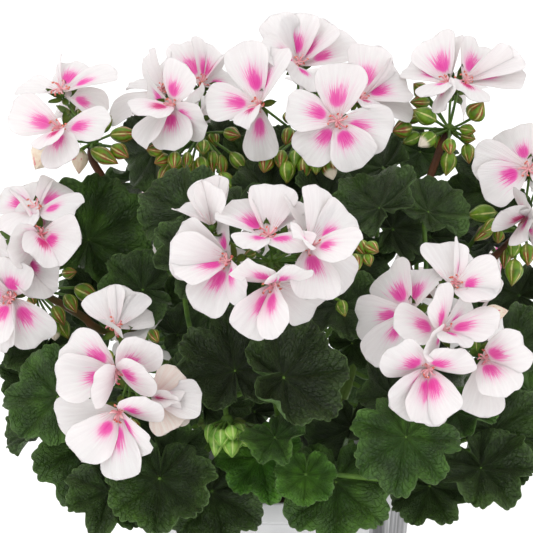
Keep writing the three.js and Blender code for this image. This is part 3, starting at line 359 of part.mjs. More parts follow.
    [[[91.7,-94.4,212.5],[103.5,-98.2,215.5],3.39,2],[[86.8,-98.7,210.5],[82.8,-103,207.7],1.88,0],[[88.5,-91.9,202.7],[89.7,-99.6,195],2.65,0],[[55.4,-99.2,182],[56.7,-107.3,175.4],2.26,0]]],
  ['flower_head_front_left', [-67.2,-86.6,184.9], 2, [[-67.2,-86.6,184.9],[-66.9,-85.7,181.7],[-47.9,-52.7,174.7],[-49.5,-44.7,177.2]],
    [[[-73.2,-101.8,208],[-0.051,-0.889,0.455],1,[[[-0.378,0.496,0.782],[-0.149,-0.866,0.477],[21,19.5,0.05,0.1,0]],
      [[0.318,0.5,0.806],[0.126,-0.865,0.487],[21.5,19,0.07,0.06,0]],
      [[0.01,-0.927,0.376],[-0.601,-0.306,-0.739],[17,13,0.07,0.09,0]],
      [[0.712,0.55,0.437],[0.384,-0.825,0.413],[19.5,16.5,0.06,0.06,0]]]],
     [[-71.7,-117.9,192],[-0.051,-0.993,0.102],1,[[[-0.826,-0.217,0.52],[0.216,-0.974,-0.062],[27.5,20.89,0.04,0.07,2]],
      [[-0.939,-0.327,-0.102],[0.311,-0.939,0.15],[28.79,20.89,0.06,0.07,1]],
      [[0.617,-0.544,0.568],[-0.167,-0.796,-0.581],[27.5,20,0.05,0.06,2]],
      [[0.641,-0.757,0.129],[-0.607,-0.602,-0.518],[27.5,20,0.07,0.11,2]],
      [[-0.39,-0.909,-0.144],[0.906,-0.352,-0.234],[27.5,20,0.06,0.05,0]]]],
     [[-70.5,-118.6,174.4],[0,-0.995,-0.104],1,[[[0.595,-0.745,0.303],[-0.278,-0.544,-0.792],[27.5,20,0.08,0.07,2]],
      [[0.522,-0.7,-0.488],[-0.832,-0.545,-0.107],[27.5,15.13,0.07,0.07,2]],
      [[0.117,-0.437,-0.892],[-0.487,-0.808,0.332],[32.24,20,0.07,0.05,2]],
      [[-0.637,-0.432,-0.638],[0.364,-0.899,0.245],[29.31,20,0.08,0.08,1]],
      [[-0.994,0.077,-0.08],[-0.056,-0.97,-0.236],[29.4,20,0.06,0.05,0]]]],
     [[-57.1,-116.2,179.7],[0.909,-0.404,0.101],0.6,[[[0.984,-0.175,-0.016],[-0.151,-0.886,0.439],[23.98,17.28,0.04,0.09,-1]],
      [[0.768,-0.034,0.64],[0.083,-0.985,-0.152],[18.25,16.4,0.06,0.07,-1]],
      [[0.555,-0.36,-0.75],[0.188,-0.824,0.535],[19.17,16.4,0.08,0.08,-1]],
      [[0.907,0.143,-0.395],[0.317,-0.851,0.419],[20.92,16.4,0.06,0.1,-1]],
      [[0.934,0.286,0.216],[0.324,-0.931,-0.167],[17.52,16.4,0.05,0.06,-1]],
      [[0.787,-0.579,0.213],[-0.281,-0.643,-0.712],[16,16.4,0.06,0.09,3]],
      [[0.837,-0.542,-0.071],[-0.119,-0.306,0.944],[16,16.4,0.04,0.06,3]]]],
     [[-67.5,-99.3,155.9],[0.333,-0.667,-0.667],1,[[[0.493,0.636,-0.593],[-0.161,-0.604,-0.781],[27.5,14.59,0.05,0.08,0]],
      [[-0.362,0.739,-0.568],[0.35,-0.457,-0.818],[27.5,18.24,0.04,0.08,0]],
      [[0.12,0.615,-0.78],[0.937,-0.329,-0.115],[27.5,16.42,0.07,0.11,0]]]],
     [[-65.7,-65.6,190],[0,0.759,0.651],0.85,[[[-0.424,0.884,0.198],[0.125,-0.159,0.979],[23.38,20,0.04,0.09,0]],
      [[0.151,0.922,0.358],[-0.455,-0.257,0.853],[23.38,20,0.08,0.07,0]],
      [[0.478,0.868,-0.134],[0.543,-0.172,0.822],[23.38,20,0.04,0.05,0]],
      [[0.109,0.778,-0.619],[0.91,-0.328,-0.253],[23.38,20,0.06,0.1,0]],
      [[-0.461,0.718,-0.522],[-0.887,-0.394,0.241],[23.38,20,0.07,0.11,0]]]]],
    [[[-78.1,-108.6,199.6],[-73.2,-114.5,195.3],1.86,0],[[-68.2,-113.5,168.6],[-61.6,-120.1,162.9],2.97,0],[[-76.6,-110.3,163.2],[-77.1,-115.9,160],1.87,0],[[-58.5,-89.5,205.1],[-54.6,-95.2,200.6],2.28,0]]],
  ['flower_head_young', [-23.3,-96,164], 1.3, [[-23.3,-96,164],[-23.8,-92.9,170.8],[-20.1,-93.4,175],[-4.5,-82.1,174.5],[0.6,-55,156.6],[2,-47.7,160.8]],
    [],
    [[[-27.2,-104.2,163.6],[-28.5,-110.5,151.2],3.01,3],[[-21.2,-110.7,160.6],[-20.7,-118.5,152.9],2.99,3],[[-18.2,-102.5,161.3],[-13.6,-110.5,155.9],3.01,3],[[-25.2,-112.2,163.7],[-25.6,-119.3,158.1],2.98,3],[[-21.6,-113.9,166],[-20.2,-120.1,161],2.6,3],[[-30.1,-100.1,163.6],[-31.7,-108.3,157.2],2.27,3],[[-19.2,-94.3,162.2],[-15.5,-101.1,157.3],2.66,3],[[-23.9,-90.8,158.5],[-23.8,-98.9,152],2.67,3],[[-17.2,-107,158.7],[-18.1,-111.4,155.2],1.88,3]]],
  ['flower_head_back_left', [-62,90,208], 2, [[-62,90,208],[-61.8,89.5,208],[-53.2,78.9,200.3],[-44.9,68,192.2],[-48.7,60.5,197.4]],
    [[[-82.2,112.5,221.4],[-0.61,0.681,0.406],1,[[[0.226,-0.197,0.954],[-0.687,0.662,0.3],[26.47,18.5,0.05,0.08,2]],
      [[0.578,0.644,0.501],[-0.809,0.372,0.456],[25.51,18.83,0.05,0.04,2]],
      [[0.09,0.721,-0.687],[-0.524,0.62,0.583],[28.48,19.81,0.06,0.05,2]],
      [[-0.734,0.118,-0.669],[-0.341,0.788,0.513],[25.93,18.57,0.04,0.1,2]],
      [[-0.681,-0.693,0.238],[-0.517,0.684,0.514],[27.94,18.47,0.06,0.04,2]]]],
     [[-48.8,113.9,222.9],[0.425,0.768,0.48],1,[[[0.768,-0.462,0.443],[0.248,0.853,0.459],[25.91,19.28,0.03,0.06,2]],
      [[0.886,-0.114,-0.45],[0.371,0.756,0.539],[27.38,20.42,0.04,0.09,2]],
      [[0.044,0.768,-0.639],[0.251,0.611,0.751],[27.55,18.11,0.08,0.06,2]],
      [[-0.811,0.531,0.245],[0.56,0.584,0.588],[25.32,19.63,0.06,0.09,2]],
      [[-0.423,0.007,0.906],[0.621,0.73,0.285],[26.76,20.06,0.07,0.08,2]]]],
     [[-85.8,102.4,189],[-0.724,0.376,-0.578],1,[[[0.576,0.677,-0.458],[-0.771,0.263,-0.58],[25.05,19.46,0.07,0.07,2]],
      [[0.373,-0.344,-0.862],[-0.789,0.371,-0.49],[27.84,17.1,0.06,0.09,2]],
      [[-0.454,-0.88,-0.14],[-0.564,0.405,-0.72],[27.7,17.93,0.07,0.09,2]],
      [[-0.773,-0.151,0.616],[-0.634,0.179,-0.752],[25.17,19.97,0.03,0.07,2]],
      [[-0.123,0.91,0.397],[-0.775,0.161,-0.61],[26.91,17.69,0.07,0.08,2]]]],
     [[-72.6,93.8,236.1],[-0.349,0.125,0.929],1,[[[-0.855,0.408,-0.321],[-0.309,0.097,0.946],[28.46,19.29,0.03,0.05,2]],
      [[-0.713,-0.697,-0.075],[-0.423,0.343,0.839],[28.44,19.95,0.06,0.07,2]],
      [[0.374,-0.764,0.525],[-0.333,0.418,0.845],[27.25,17.94,0.06,0.04,2]],
      [[0.901,0.193,0.389],[-0.43,0.277,0.859],[27.48,19.98,0.03,0.09,2]],
      [[0.03,0.996,0.088],[-0.322,-0.074,0.944],[26.18,19.46,0.03,0.06,2]]]],
     [[-53,120.9,200],[0.271,0.932,-0.24],1,[[[-0.651,0.1,-0.753],[0.479,0.824,-0.304],[25.99,18.67,0.06,0.08,2]],
      [[-0.658,0.508,0.555],[0.389,0.861,-0.327],[26.53,20.31,0.03,0.05,2]],
      [[0.385,0.272,0.882],[0.261,0.884,-0.387],[27.33,20.33,0.05,0.09,2]],
      [[0.989,-0.145,0.016],[0.145,0.963,-0.226],[26.59,19.34,0.04,0.05,2]],
      [[0.43,-0.206,-0.879],[0.27,0.958,-0.093],[25.5,17.91,0.05,0.08,2]]]]],
    [[[-59.7,95.5,200.9],[-57.5,100.6,194.2],3.11,1],[[-67.2,91.5,198.9],[-71.9,92.8,190.5],3.09,0],[[-56.6,98,200.5],[-53.4,102.7,196],2.7,0],[[-72.9,85.1,205.3],[-79.9,81.9,203.6],3.25,0],[[-59.6,95.6,200.7],[-57.8,99.9,195.1],3.2,0]]],
  ['flower_head_back_middle', [18,104,211], 2, [[18,104,211],[19,104.3,213.7],[37.7,66.9,192.9],[45.4,63.2,198.1]],
    [[[20,131.9,226.4],[0.062,0.874,0.483],1,[[[-0.078,-0.292,0.953],[0.066,0.953,0.297],[26.31,18.64,0.06,0.04,2]],
      [[0.927,-0.198,0.318],[-0.047,0.782,0.622],[27.85,19.41,0.03,0.08,2]],
      [[0.565,0.527,-0.635],[0.108,0.716,0.69],[27.18,19.61,0.08,0.05,2]],
      [[-0.5,0.598,-0.627],[0.056,0.745,0.665],[26.73,19.94,0.07,0.08,2]],
      [[-0.914,0.021,0.405],[0.269,0.778,0.567],[26.75,19.09,0.03,0.09,2]]]],
     [[42.2,124.1,204.5],[0.754,0.625,-0.202],1,[[[0.746,-0.536,0.395],[0.609,0.79,-0.078],[28.12,17.53,0.04,0.04,2]],
      [[0.534,-0.606,-0.589],[0.738,0.674,-0.023],[27.67,20.01,0.04,0.1,2]],
      [[-0.159,0.22,-0.963],[0.783,0.622,0.013],[25.64,19.14,0.06,0.05,2]],
      [[-0.361,0.932,0.021],[0.888,0.35,-0.298],[25,18.78,0.04,0.1,2]],
      [[0.091,0.449,0.889],[0.724,0.583,-0.368],[27.19,18.33,0.02,0.08,2]]]],
     [[-3.7,123.9,213.4],[-0.734,0.674,0.083],1,[[[0.56,0.75,-0.353],[-0.809,0.586,-0.038],[25.4,18.06,0.06,0.06,2]],
      [[-0.337,-0.002,-0.941],[-0.695,0.675,0.248],[27.26,18.03,0.07,0.09,2]],
      [[-0.769,-0.638,-0.043],[-0.63,0.743,0.226],[26.07,18.83,0.04,0.07,2]],
      [[-0.496,-0.225,0.839],[-0.726,0.638,-0.258],[28.29,17.07,0.05,0.08,2]],
      [[0.229,0.531,0.816],[-0.845,0.525,-0.104],[27.11,17.93,0.05,0.09,2]]]],
     [[35,106.9,235.7],[0.565,0.097,0.819],1,[[[0.845,-0.068,-0.53],[0.534,0.125,0.836],[25.02,19.13,0.06,0.07,2]],
      [[0.342,0.938,-0.059],[0.591,-0.166,0.79],[27.23,20.09,0.05,0.09,2]],
      [[-0.631,0.61,0.48],[0.515,-0.134,0.847],[27.25,19.23,0.07,0.05,2]],
      [[-0.444,-0.656,0.61],[0.497,0.386,0.777],[26.99,18.26,0.06,0.08,2]],
      [[0.47,-0.879,-0.078],[0.562,0.23,0.794],[28.47,20.45,0.08,0.06,2]]]],
     [[23,127.8,189.2],[0.153,0.728,-0.668],1,[[[-0.724,-0.272,-0.634],[0.228,0.773,-0.592],[25.97,19.34,0.08,0.09,2]],
      [[-0.72,0.625,0.302],[0.374,0.716,-0.589],[27.54,17.03,0.04,0.09,2]],
      [[0.385,0.749,0.54],[0.092,0.551,-0.83],[26.25,18.05,0.05,0.05,2]],
      [[0.99,0.046,-0.132],[-0.129,0.661,-0.739],[25.73,17.92,0.02,0.05,2]],
      [[0.35,-0.622,-0.7],[0.312,0.783,-0.539],[26.2,17.12,0.05,0.09,2]]]]],
    [[[16.5,107.8,202.9],[15.3,111.1,195.8],3.11,1],[[20.9,101.7,219.3],[23.3,99.8,226.2],3.23,0],[[10.7,102.7,220.4],[5.3,101.7,227.4],2.68,0],[[17.5,107.7,202.7],[17.1,110.8,196.1],2.79,0],[[28.4,104.9,207.8],[37.4,105.6,205.1],2.91,0]]],
  ['flower_head_back_right', [90,78,201], 2, [[90,78,201],[89.4,77.5,202],[59.1,61.2,192],[50.8,61.8,197.4]],
    [[[111.4,96.4,214.1],[0.688,0.59,0.422],1,[[[-0.116,-0.069,0.991],[0.736,0.664,0.132],[26.01,18.96,0.08,0.1,2]],
      [[0.505,-0.78,0.369],[0.622,0.625,0.471],[27.36,17.82,0.06,0.1,2]],
      [[0.744,0.043,-0.666],[0.557,0.509,0.656],[26.37,18.1,0.05,0.08,2]],
      [[-0.02,0.815,-0.579],[0.752,0.394,0.528],[28.28,17.12,0.02,0.07,2]],
      [[-0.682,0.606,0.411],[0.732,0.559,0.39],[26.27,17.71,0.03,0.1,2]]]],
     [[108.2,87.9,180.7],[0.627,0.342,-0.7],1,[[[0.885,-0.428,0.186],[0.396,0.48,-0.783],[26.63,18.33,0.06,0.06,2]],
      [[-0.018,-0.851,-0.524],[0.574,0.421,-0.703],[26.78,17.75,0.04,0.06,2]],
      [[-0.523,0.129,-0.842],[0.852,0.103,-0.514],[26.6,19.59,0.06,0.09,2]],
      [[-0.358,0.933,0.038],[0.541,0.24,-0.806],[28.44,18.44,0.03,0.05,2]],
      [[0.549,0.719,0.426],[0.468,0.158,-0.869],[27.61,18.51,0.04,0.08,2]]]],
     [[82.7,101,220.2],[-0.236,0.747,0.622],1,[[[0.683,0.698,-0.216],[-0.523,0.674,0.522],[28.16,19.71,0.02,0.09,2]],
      [[-0.405,0.577,-0.709],[-0.375,0.602,0.705],[26.05,17.53,0.05,0.05,2]],
      [[-0.982,-0.01,-0.187],[-0.15,0.639,0.755],[25.96,17,0.07,0.06,2]],
      [[-0.197,-0.59,0.783],[0.002,0.798,0.602],[25.47,17.09,0.05,0.05,2]],
      [[0.693,-0.113,0.712],[-0.498,0.64,0.586],[28.23,18.08,0.03,0.05,2]]]],
     [[117.6,70.4,209.3],[0.926,-0.255,0.278],1,[[[0.418,-0.211,-0.884],[0.883,-0.132,0.45],[28.04,17.16,0.04,0.07,2]],
      [[0.481,0.727,-0.491],[0.836,-0.21,0.507],[26.27,18.06,0.04,0.09,2]],
      [[0.177,0.751,0.636],[0.95,-0.3,0.089],[25.58,18.75,0.07,0.04,2]],
      [[-0.169,-0.446,0.879],[0.938,-0.348,0.004],[28.38,18.59,0.05,0.04,2]],
      [[-0.09,-0.99,-0.105],[0.949,-0.117,0.292],[28.14,17.63,0.08,0.06,2]]]],
     [[95.6,106,188.5],[0.179,0.898,-0.401],1,[[[-0.66,-0.006,-0.751],[0.275,0.928,-0.25],[25.82,17.05,0.07,0.09,2]],
      [[-0.788,0.572,0.227],[0.327,0.702,-0.633],[27.41,18.74,0.03,0.08,2]],
      [[0.19,0.522,0.831],[0.01,0.846,-0.534],[27.16,18.67,0.06,0.08,2]],
      [[0.998,0.036,0.048],[-0.01,0.884,-0.468],[28.45,17.15,0.02,0.05,2]],
      [[0.203,-0.288,-0.936],[0.109,0.956,-0.271],[26.86,17.17,0.05,0.07,2]]]]],
    [[[98.7,72.1,198.2],[105.9,67.2,195.9],2.81,1],[[97.9,72.9,197.8],[103.8,69,195.4],2.77,0],[[85.1,81.1,211.3],[81.2,83.5,219.5],2.78,0],[[96.9,75.5,194],[103.3,73.1,187.4],3.29,0],[[94.7,79,190.9],[98.7,79.9,182.4],3.07,0]]],
];

// ---------------------------------------------------------------- vectors and solids
const DEG = Math.PI / 180;
const V = (a) => new THREE.Vector3(a[0], a[1], a[2]);
const sub = (a, b) => [a[0] - b[0], a[1] - b[1], a[2] - b[2]];
const add = (a, b, s = 1) => [a[0] + b[0] * s, a[1] + b[1] * s, a[2] + b[2] * s];
const dot = (a, b) => a[0] * b[0] + a[1] * b[1] + a[2] * b[2];
const cross = (a, b) => [a[1] * b[2] - a[2] * b[1], a[2] * b[0] - a[0] * b[2], a[0] * b[1] - a[1] * b[0]];
const unit = (a) => { const l = Math.hypot(...a) || 1; return [a[0] / l, a[1] / l, a[2] / l]; };

function solid(geometry) {
  const g = geometry.clone();
  g.deleteAttribute('normal');
  g.deleteAttribute('uv');
  const m = mergeVertices(g, 1e-4);
  return new wasm.Manifold(new wasm.Mesh({
    numProp: 3,
    vertProperties: Float32Array.from(m.attributes.position.array),
    triVerts: Uint32Array.from(m.index.array),
  }));
}
const join = (parts) => parts.reduce((a, b) => a.add(b));
const biggest = (m) => m.decompose().sort((x, y) => y.volume() - x.volume())[0];

// a stalk of `sides` sides along a path, its radius going from r0 to r1
function tube(points, r0, r1, sides, steps) {
  const curve = points.length === 2
    ? new THREE.LineCurve3(V(points[0]), V(points[1]))
    : new THREE.CatmullRomCurve3(points.map(V), false, 'centripetal');
  const ring = [];
  for (let k = 0; k < sides; k++) {
    const a = (2 * Math.PI * k) / sides;
    ring.push(new THREE.Vector2(r0 * Math.cos(a), r0 * Math.sin(a)));
  }
  const g = new THREE.ExtrudeGeometry(new THREE.Shape(ring), { steps, bevelEnabled: false, extrudePath: curve });
  if (r1 !== r0) {
    const p = g.attributes.position, centres = curve.getSpacedPoints(steps);
    const v = new THREE.Vector3();
    for (let i = 0; i < p.count; i++) {
      v.fromBufferAttribute(p, i);
      let best = 0, bd = 1e9;
      for (let k = 0; k <= steps; k++) {
        const d = Math.abs(v.distanceTo(centres[k]) - r0);
        if (d < bd) { bd = d; best = k; }
      }
      const f = 1 + (r1 / r0 - 1) * best / steps;
      v.sub(centres[best]).multiplyScalar(f).add(centres[best]);
      p.setXYZ(i, v.x, v.y, v.z);
    }
  }
  return solid(g);
}
const pathLength = (p) => p.slice(1).reduce((s, q, i) => s + Math.hypot(...sub(q, p[i])), 0);

// ---------------------------------------------------------------- leaf blade
// half outline from the tip round to the notch at the leaf stalk
const OUTLINE = [[0, 1], [0.21, 0.985], [0.42, 0.95], [0.6, 0.87], [0.76, 0.76], [0.88, 0.66], [0.95, 0.55], [0.985, 0.3], [1, 0.08]];
function outline(t) {
  for (let i = 1; i < OUTLINE.length; i++) {
    if (t <= OUTLINE[i][0]) {
      const [a, u] = OUTLINE[i - 1], [b, v] = OUTLINE[i];
      const s = (t - a) / (b - a);
      return u + (v - u) * s * s * (3 - 2 * s);
    }
  }
  return OUTLINE[OUTLINE.length - 1][1];
}
function leafPoint(s, th, rho) {
  const [R, cup, fold, pleat, ruffle, phase, droop, curl, curlAt, bend, lobes] = s;
  const t = Math.abs(th) / Math.PI;
  const w = th / (48 * DEG);
  const lobe = 0.5 - 0.5 * Math.cos(2 * Math.PI * w);
    const edge = Math.min(1, (1 - t) * 8);
  const r = R * outline(t) * (1 - lobes * lobe * edge) * rho;
  let x = r * Math.cos(th);
  const y = r * Math.sin(th), p2 = rho * rho;
  let z = R * cup * p2
    + R * fold * Math.abs(Math.sin(th)) * rho
    + R * pleat * Math.pow(rho, 1.3) * lobe * edge
    + R * ruffle * rho * p2 * Math.sin(3 * th + phase)
    + R * 0.6 * ruffle * p2 * Math.sin(2 * th + 2 * phase)
    + R * curl * Math.pow(rho, 5) * Math.max(0, Math.cos(th - curlAt)) ** 3
    + R * bend * (y / R) * Math.abs(y / R);
  const k = droop / R;
  if (Math.abs(k) > 1e-6) {
    const a = k * x;
    z = z * Math.cos(a) - (1 - Math.cos(a)) / k;
    x = Math.sin(a) / k;
  }
  return [x, y, z];
}
// `columns` points round the margin, the last of them in the notch
function blade([P, M, N, s], grow, columns) {
  const S = cross(N, M);
  const g = new THREE.SphereGeometry(1, columns, 2);
  const p = g.attributes.position;
  const from = (2 * Math.PI) / columns, to = (168 * DEG) / (columns / 2 - 1);
  for (let i = 0; i < p.count; i++) {
    const sx = p.getX(i), sy = p.getY(i), sz = p.getZ(i);
    const centre = Math.hypot(sx, sz) < 1e-6;
    const a = centre ? 0 : Math.atan2(-sz, sx);
    const th = Math.abs(a) > 175 * DEG ? a : Math.round(a / from) * to;
    const q = leafPoint(s, th, centre ? 0 : 1 + grow / s[0]);
    if (centre) q[2] += Math.sign(sy) * (LEAF_THICK + grow);
    const w = [0, 1, 2].map((j) => P[j] + M[j] * q[0] + S[j] * q[1] + N[j] * q[2]);
    p.setXYZ(i, w[0], w[1], w[2]);
  }
  return solid(g);
}
const petiole = (L, grow, sides) => tube(L[4], PETIOLE_R + grow, PETIOLE_R + grow, sides, Math.max(3, Math.round(pathLength(L[4]) / 30)));
const leaf = (L, grow, columns = 16, sides = 4) => blade(L, grow, columns).add(petiole(L, grow, sides));

// ---------------------------------------------------------------- flowers and buds
const PETAL_FOOT = 1.2;
const petalWidth = (u) => Math.max(Math.pow(u, 0.75) * Math.sqrt(Math.max(0, 1 - u ** 6)) / 0.732, 0.09 * (1 - u));
function flower([C, , , petals], grow) {
  // the flower's own axis: across the petals, or along them where they stand up in a cup
  let A = [0, 0, 0], B = [0, 0, 0];
  for (const [T, N] of petals) { A = add(A, N); B = add(B, T); }
  if (Math.hypot(...B) > 0.62 * petals.length) A = B;
  A = unit(A);
  const e1 = unit(Math.abs(A[2]) < 0.9 ? cross([0, 0, 1], A) : cross([1, 0, 0], A)), e2 = cross(A, e1);
  const ps = petals.map(([T, N, [L, W, arch]]) => ({ T, N, L, W, arch, a: Math.atan2(dot(T, e2), dot(T, e1)) })).sort((p, q) => p.a - q.a);
  const n = ps.length, MIN = 0.42;
  for (let r = 0; r < 30; r++) for (let k = 0; k < n; k++) {
    const j = (k + 1) % n;
    let g = ps[j].a - ps[k].a;
    if (j === 0) g += 2 * Math.PI;
    if (g < MIN) { ps[k].a -= (MIN - g) / 2; ps[j].a += (MIN - g) / 2; }
  }
  const inPlane = (T) => Math.max(0.3, Math.hypot(dot(T, e1), dot(T, e2)));
  const lim = (g) => Math.tan(Math.min(g * 0.44, 1.1));
  const rim = [];
  ps.forEach((P, k) => {
    const rad = [0, 1, 2].map((i) => e1[i] * Math.cos(P.a) + e2[i] * Math.sin(P.a)), tan = cross(A, rad);
    const tin = inPlane(P.T), tax = dot(P.T, A), S = cross(P.N, P.T);
    const tilt = Math.max(-0.6, Math.min(0.6, dot(S, A) * (dot(S, tan) < 0 ? -1 : 1)));
    const Q = ps[(k + 1) % n];
    let gn = Q.a - P.a, gp = P.a - ps[(k + n - 1) % n].a;
    if (gn <= 0) gn += 2 * Math.PI;
    if (gp <= 0) gp += 2 * Math.PI;
    for (const [u, v] of [[0.66, -1], [0.95, -0.6], [0.95, 0.6], [0.66, 1]]) {
      const r = P.L * u * tin + (u > 0.9 ? grow : 0);
      const w = Math.min(0.5 * P.W * petalWidth(u) * Math.abs(v) + grow, r * lim(v < 0 ? gp : gn) * Math.abs(v)) * Math.sign(v);
      rim.push(add(add(add(C, rad, r), tan, w), A, P.L * u * tax + w * tilt + P.L * P.arch * 4 * u * (1 - u)));
    }
    const half = (X, lg) => { const r = X.L * 0.66 * inPlane(X.T); return Math.atan(Math.min(0.5 * X.W * petalWidth(0.66) + grow, r * lg) / r); };
    const from = P.a + half(P, lim(gn)), to = P.a + gn - half(Q, lim(gn));
    const bays = to - from > 2 ? 3 : to - from > 0.24 ? 1 : 0;
    for (let i = 1; i <= bays; i++) {
      const b = from + ((to - from) * i) / (bays + 1);
      rim.push(add(add(add(C, e1, 3 * Math.cos(b)), e2, 3 * Math.sin(b)), A, 1.5 * (tax + dot(Q.T, A))));
    }
  });
  const g = new THREE.SphereGeometry(1, rim.length, 2);
  const p = g.attributes.position;
  for (let i = 0; i < p.count; i++) {
    const x = p.getX(i), y = p.getY(i), z = p.getZ(i);
    let q = add(C, A, Math.sign(y) * (1.3 + grow));
    if (Math.hypot(x, z) > 1e-6) {
      const k = Math.round((Math.atan2(z, -x) / (2 * Math.PI)) * rim.length);
      q = rim[((k % rim.length) + rim.length) % rim.length];
    }
    p.setXYZ(i, q[0], q[1], q[2]);
  }
  return solid(g);
}
// a bud on its own stalk, from the umbel's centre to the foot of the bud and on to its tip
function bud(U, [a, b, r], grow) {
  const w = BUD_STALK_R + grow;
  const g = new THREE.LatheGeometry([[0, 0], [w, 0], [w, 1], [r + grow, 2], [0, 3]].map((q) => new THREE.Vector2(q[0], q[1])), 3);
  const along = unit(sub(b, a)), stalk = unit(sub(a, U));
  const C = [U, a, add(a, sub(b, a), 0.5), add(b, along, grow)];
  const d = [stalk, unit(add(stalk, along)), along, along];
  let e = unit(Math.abs(d[0][2]) < 0.9 ? cross(d[0], [0, 0, 1]) : cross(d[0], [1, 0, 0]));
  const E = d.map((t) => { e = unit(add(e, t, -dot(e, t))); return [e, cross(t, e)]; });
  const p = g.attributes.position;
  for (let i = 0; i < p.count; i++) {
    const x = p.getX(i), k = Math.round(p.getY(i)), z = p.getZ(i);
    const q = add(add(C[k], E[k][0], z), E[k][1], x);
    p.setXYZ(i, q[0], q[1], q[2]);
  }
  return solid(g);
}
function head([, U, r, path, flowers, buds], grow) {
  const knot = new THREE.OctahedronGeometry(UMBEL_R + grow, 0);
  knot.translate(...U);
  const parts = [solid(knot), tube(path, r + grow, r + grow, 5, Math.max(4, Math.round(pathLength(path) / 20)))];
  for (const F of flowers) {
    parts.push(tube([U, add(F[0], F[1], -0.4)], PEDICEL_R + grow, PEDICEL_R + grow, 3, 1));
    parts.push(flower(F, grow));
  }
  for (const B of buds) parts.push(bud(U, B, grow));
  return join(parts);
}

// ---------------------------------------------------------------- pot, soil and stems
const lathe = (profile, n) => {
  const g = new THREE.LatheGeometry(profile.map(([r, z]) => new THREE.Vector2(r, z)), n);
  g.rotateX(Math.PI / 2);
  return solid(g);
};
function pot() {
  const inBase = POT_BASE_R - WALL, inNeck = POT_NECK_R - WALL;
  let m = lathe([[0, 0], [POT_BASE_R, 0], [POT_NECK_R, POT_HEIGHT - RIM_BAND], [POT_RIM_R, POT_HEIGHT - RIM_BAND],
    [POT_RIM_R, POT_HEIGHT], [POT_RIM_R - WALL, POT_HEIGHT], [inNeck, POT_HEIGHT - RIM_BAND - 2], [inBase, FLOOR], [0, FLOOR]], 32);
  for (let k = 0; k < DRAIN_HOLES; k++) {
    const a = ((k + 0.5) * 2 * Math.PI) / DRAIN_HOLES;
    const c = new THREE.CylinderGeometry(DRAIN_R, DRAIN_R, FLOOR * 4, 10);
    c.rotateX(Math.PI / 2);
    c.translate(DRAIN_RING * Math.cos(a), DRAIN_RING * Math.sin(a), 0);
    m = m.subtract(solid(c));
  }
  return m;
}
function stemFoot(grow) {
  const c = new THREE.CylinderGeometry(STEMS[0][2][0] * 0.96 + grow, 3.2 + grow, SOIL_TOP + 2 - STEM_FOOT + grow, 8);
  c.rotateX(Math.PI / 2);
  c.translate(0, 0, (SOIL_TOP + 2 + STEM_FOOT - grow) / 2);
  return solid(c);
}
const stemTube = ([, path, r], grow, main) => tube(path, r[0] + grow, r[1] + grow, main ? 8 : 6, main ? 6 : 4);
const crown = (grow) => stemTube(STEMS[0], grow, true).add(stemFoot(grow));
function stem(S, grow) {
  const main = S === STEMS[0];
  const wood = main ? crown(grow) : biggest(stemTube(S, grow, false).subtract(crown(grow ? 0 : GAP)));
  return join([wood, ...S[3].map((L) => leaf(L, grow, 16, 3))]);
}
function soil() {
  const wallAt = (z) => POT_BASE_R - WALL + ((POT_NECK_R - POT_BASE_R) * (z - FLOOR)) / (POT_HEIGHT - RIM_BAND - 2 - FLOOR);
  const z0 = FLOOR + 0.5, z1 = SOIL_TOP - 0.6;
  return lathe([[0, z0], [wallAt(z0) - 0.4, z0], [wallAt(z1) - 0.5, z1], [0, SOIL_TOP]], 16).subtract(crown(GAP));
}

// ---------------------------------------------------------------- the scene
const list = [
  ['pot', () => pot(), POT_COLOUR, 0.45],
  ['soil', () => soil(), SOIL_COLOUR, 0.95],
  ...STEMS.map((S) => [S[0], (g) => stem(S, g), STEM_COLOUR, 0.6]),
  ...HEADS.map((H) => [H[0], (g) => head(H, g), PETAL_COLOUR, 0.6]),
  ...LEAVES.map(([name, L]) => [name, (g) => leaf(L, g), LEAF_COLOUR, 0.55]),
];
const group = new THREE.Group();
group.name = 'potted_zonal_geranium';
const near = (a, b) => [0, 1, 2].every((k) => a.min[k] < b.max[k] + 0.1 && b.min[k] < a.max[k] + 0.1);
const items = list.map(([name, make, colour, roughness]) => ({ name, make, colour, roughness, m: make(0) }));
for (let i = 0; i < items.length; i++) {
  for (let j = 0; j < i; j++) {
    const a = items[i], b = items[j];
    if (!near(a.m.boundingBox(), b.m.boundingBox())) continue;
    const x = a.m.intersect(b.m);
    if (x.isEmpty() || x.volume() < 1e-4) continue;
    // the pot and the soil stay whole; otherwise the piece that loses less gives way
    const ca = biggest(a.m.subtract(b.make(GAP).add(b.m))), cb = biggest(b.m.subtract(a.make(GAP).add(a.m)));
    if (j < 2 || a.m.volume() - ca.volume() <= b.m.volume() - cb.volume()) a.m = ca; else b.m = cb;
  }
}
for (const { name, m, colour, roughness } of items) {
  const out = m.getMesh();
  const g = new THREE.BufferGeometry();
  g.setAttribute('position', new THREE.BufferAttribute(Float32Array.from(out.vertProperties), 3));
  g.setIndex(new THREE.BufferAttribute(Uint32Array.from(out.triVerts), 1));
  g.computeVertexNormals();
  const mesh = new THREE.Mesh(g, new THREE.MeshStandardMaterial({ color: colour, roughness, metalness: 0 }));
  mesh.name = name;
  group.add(mesh);
}

export default group;
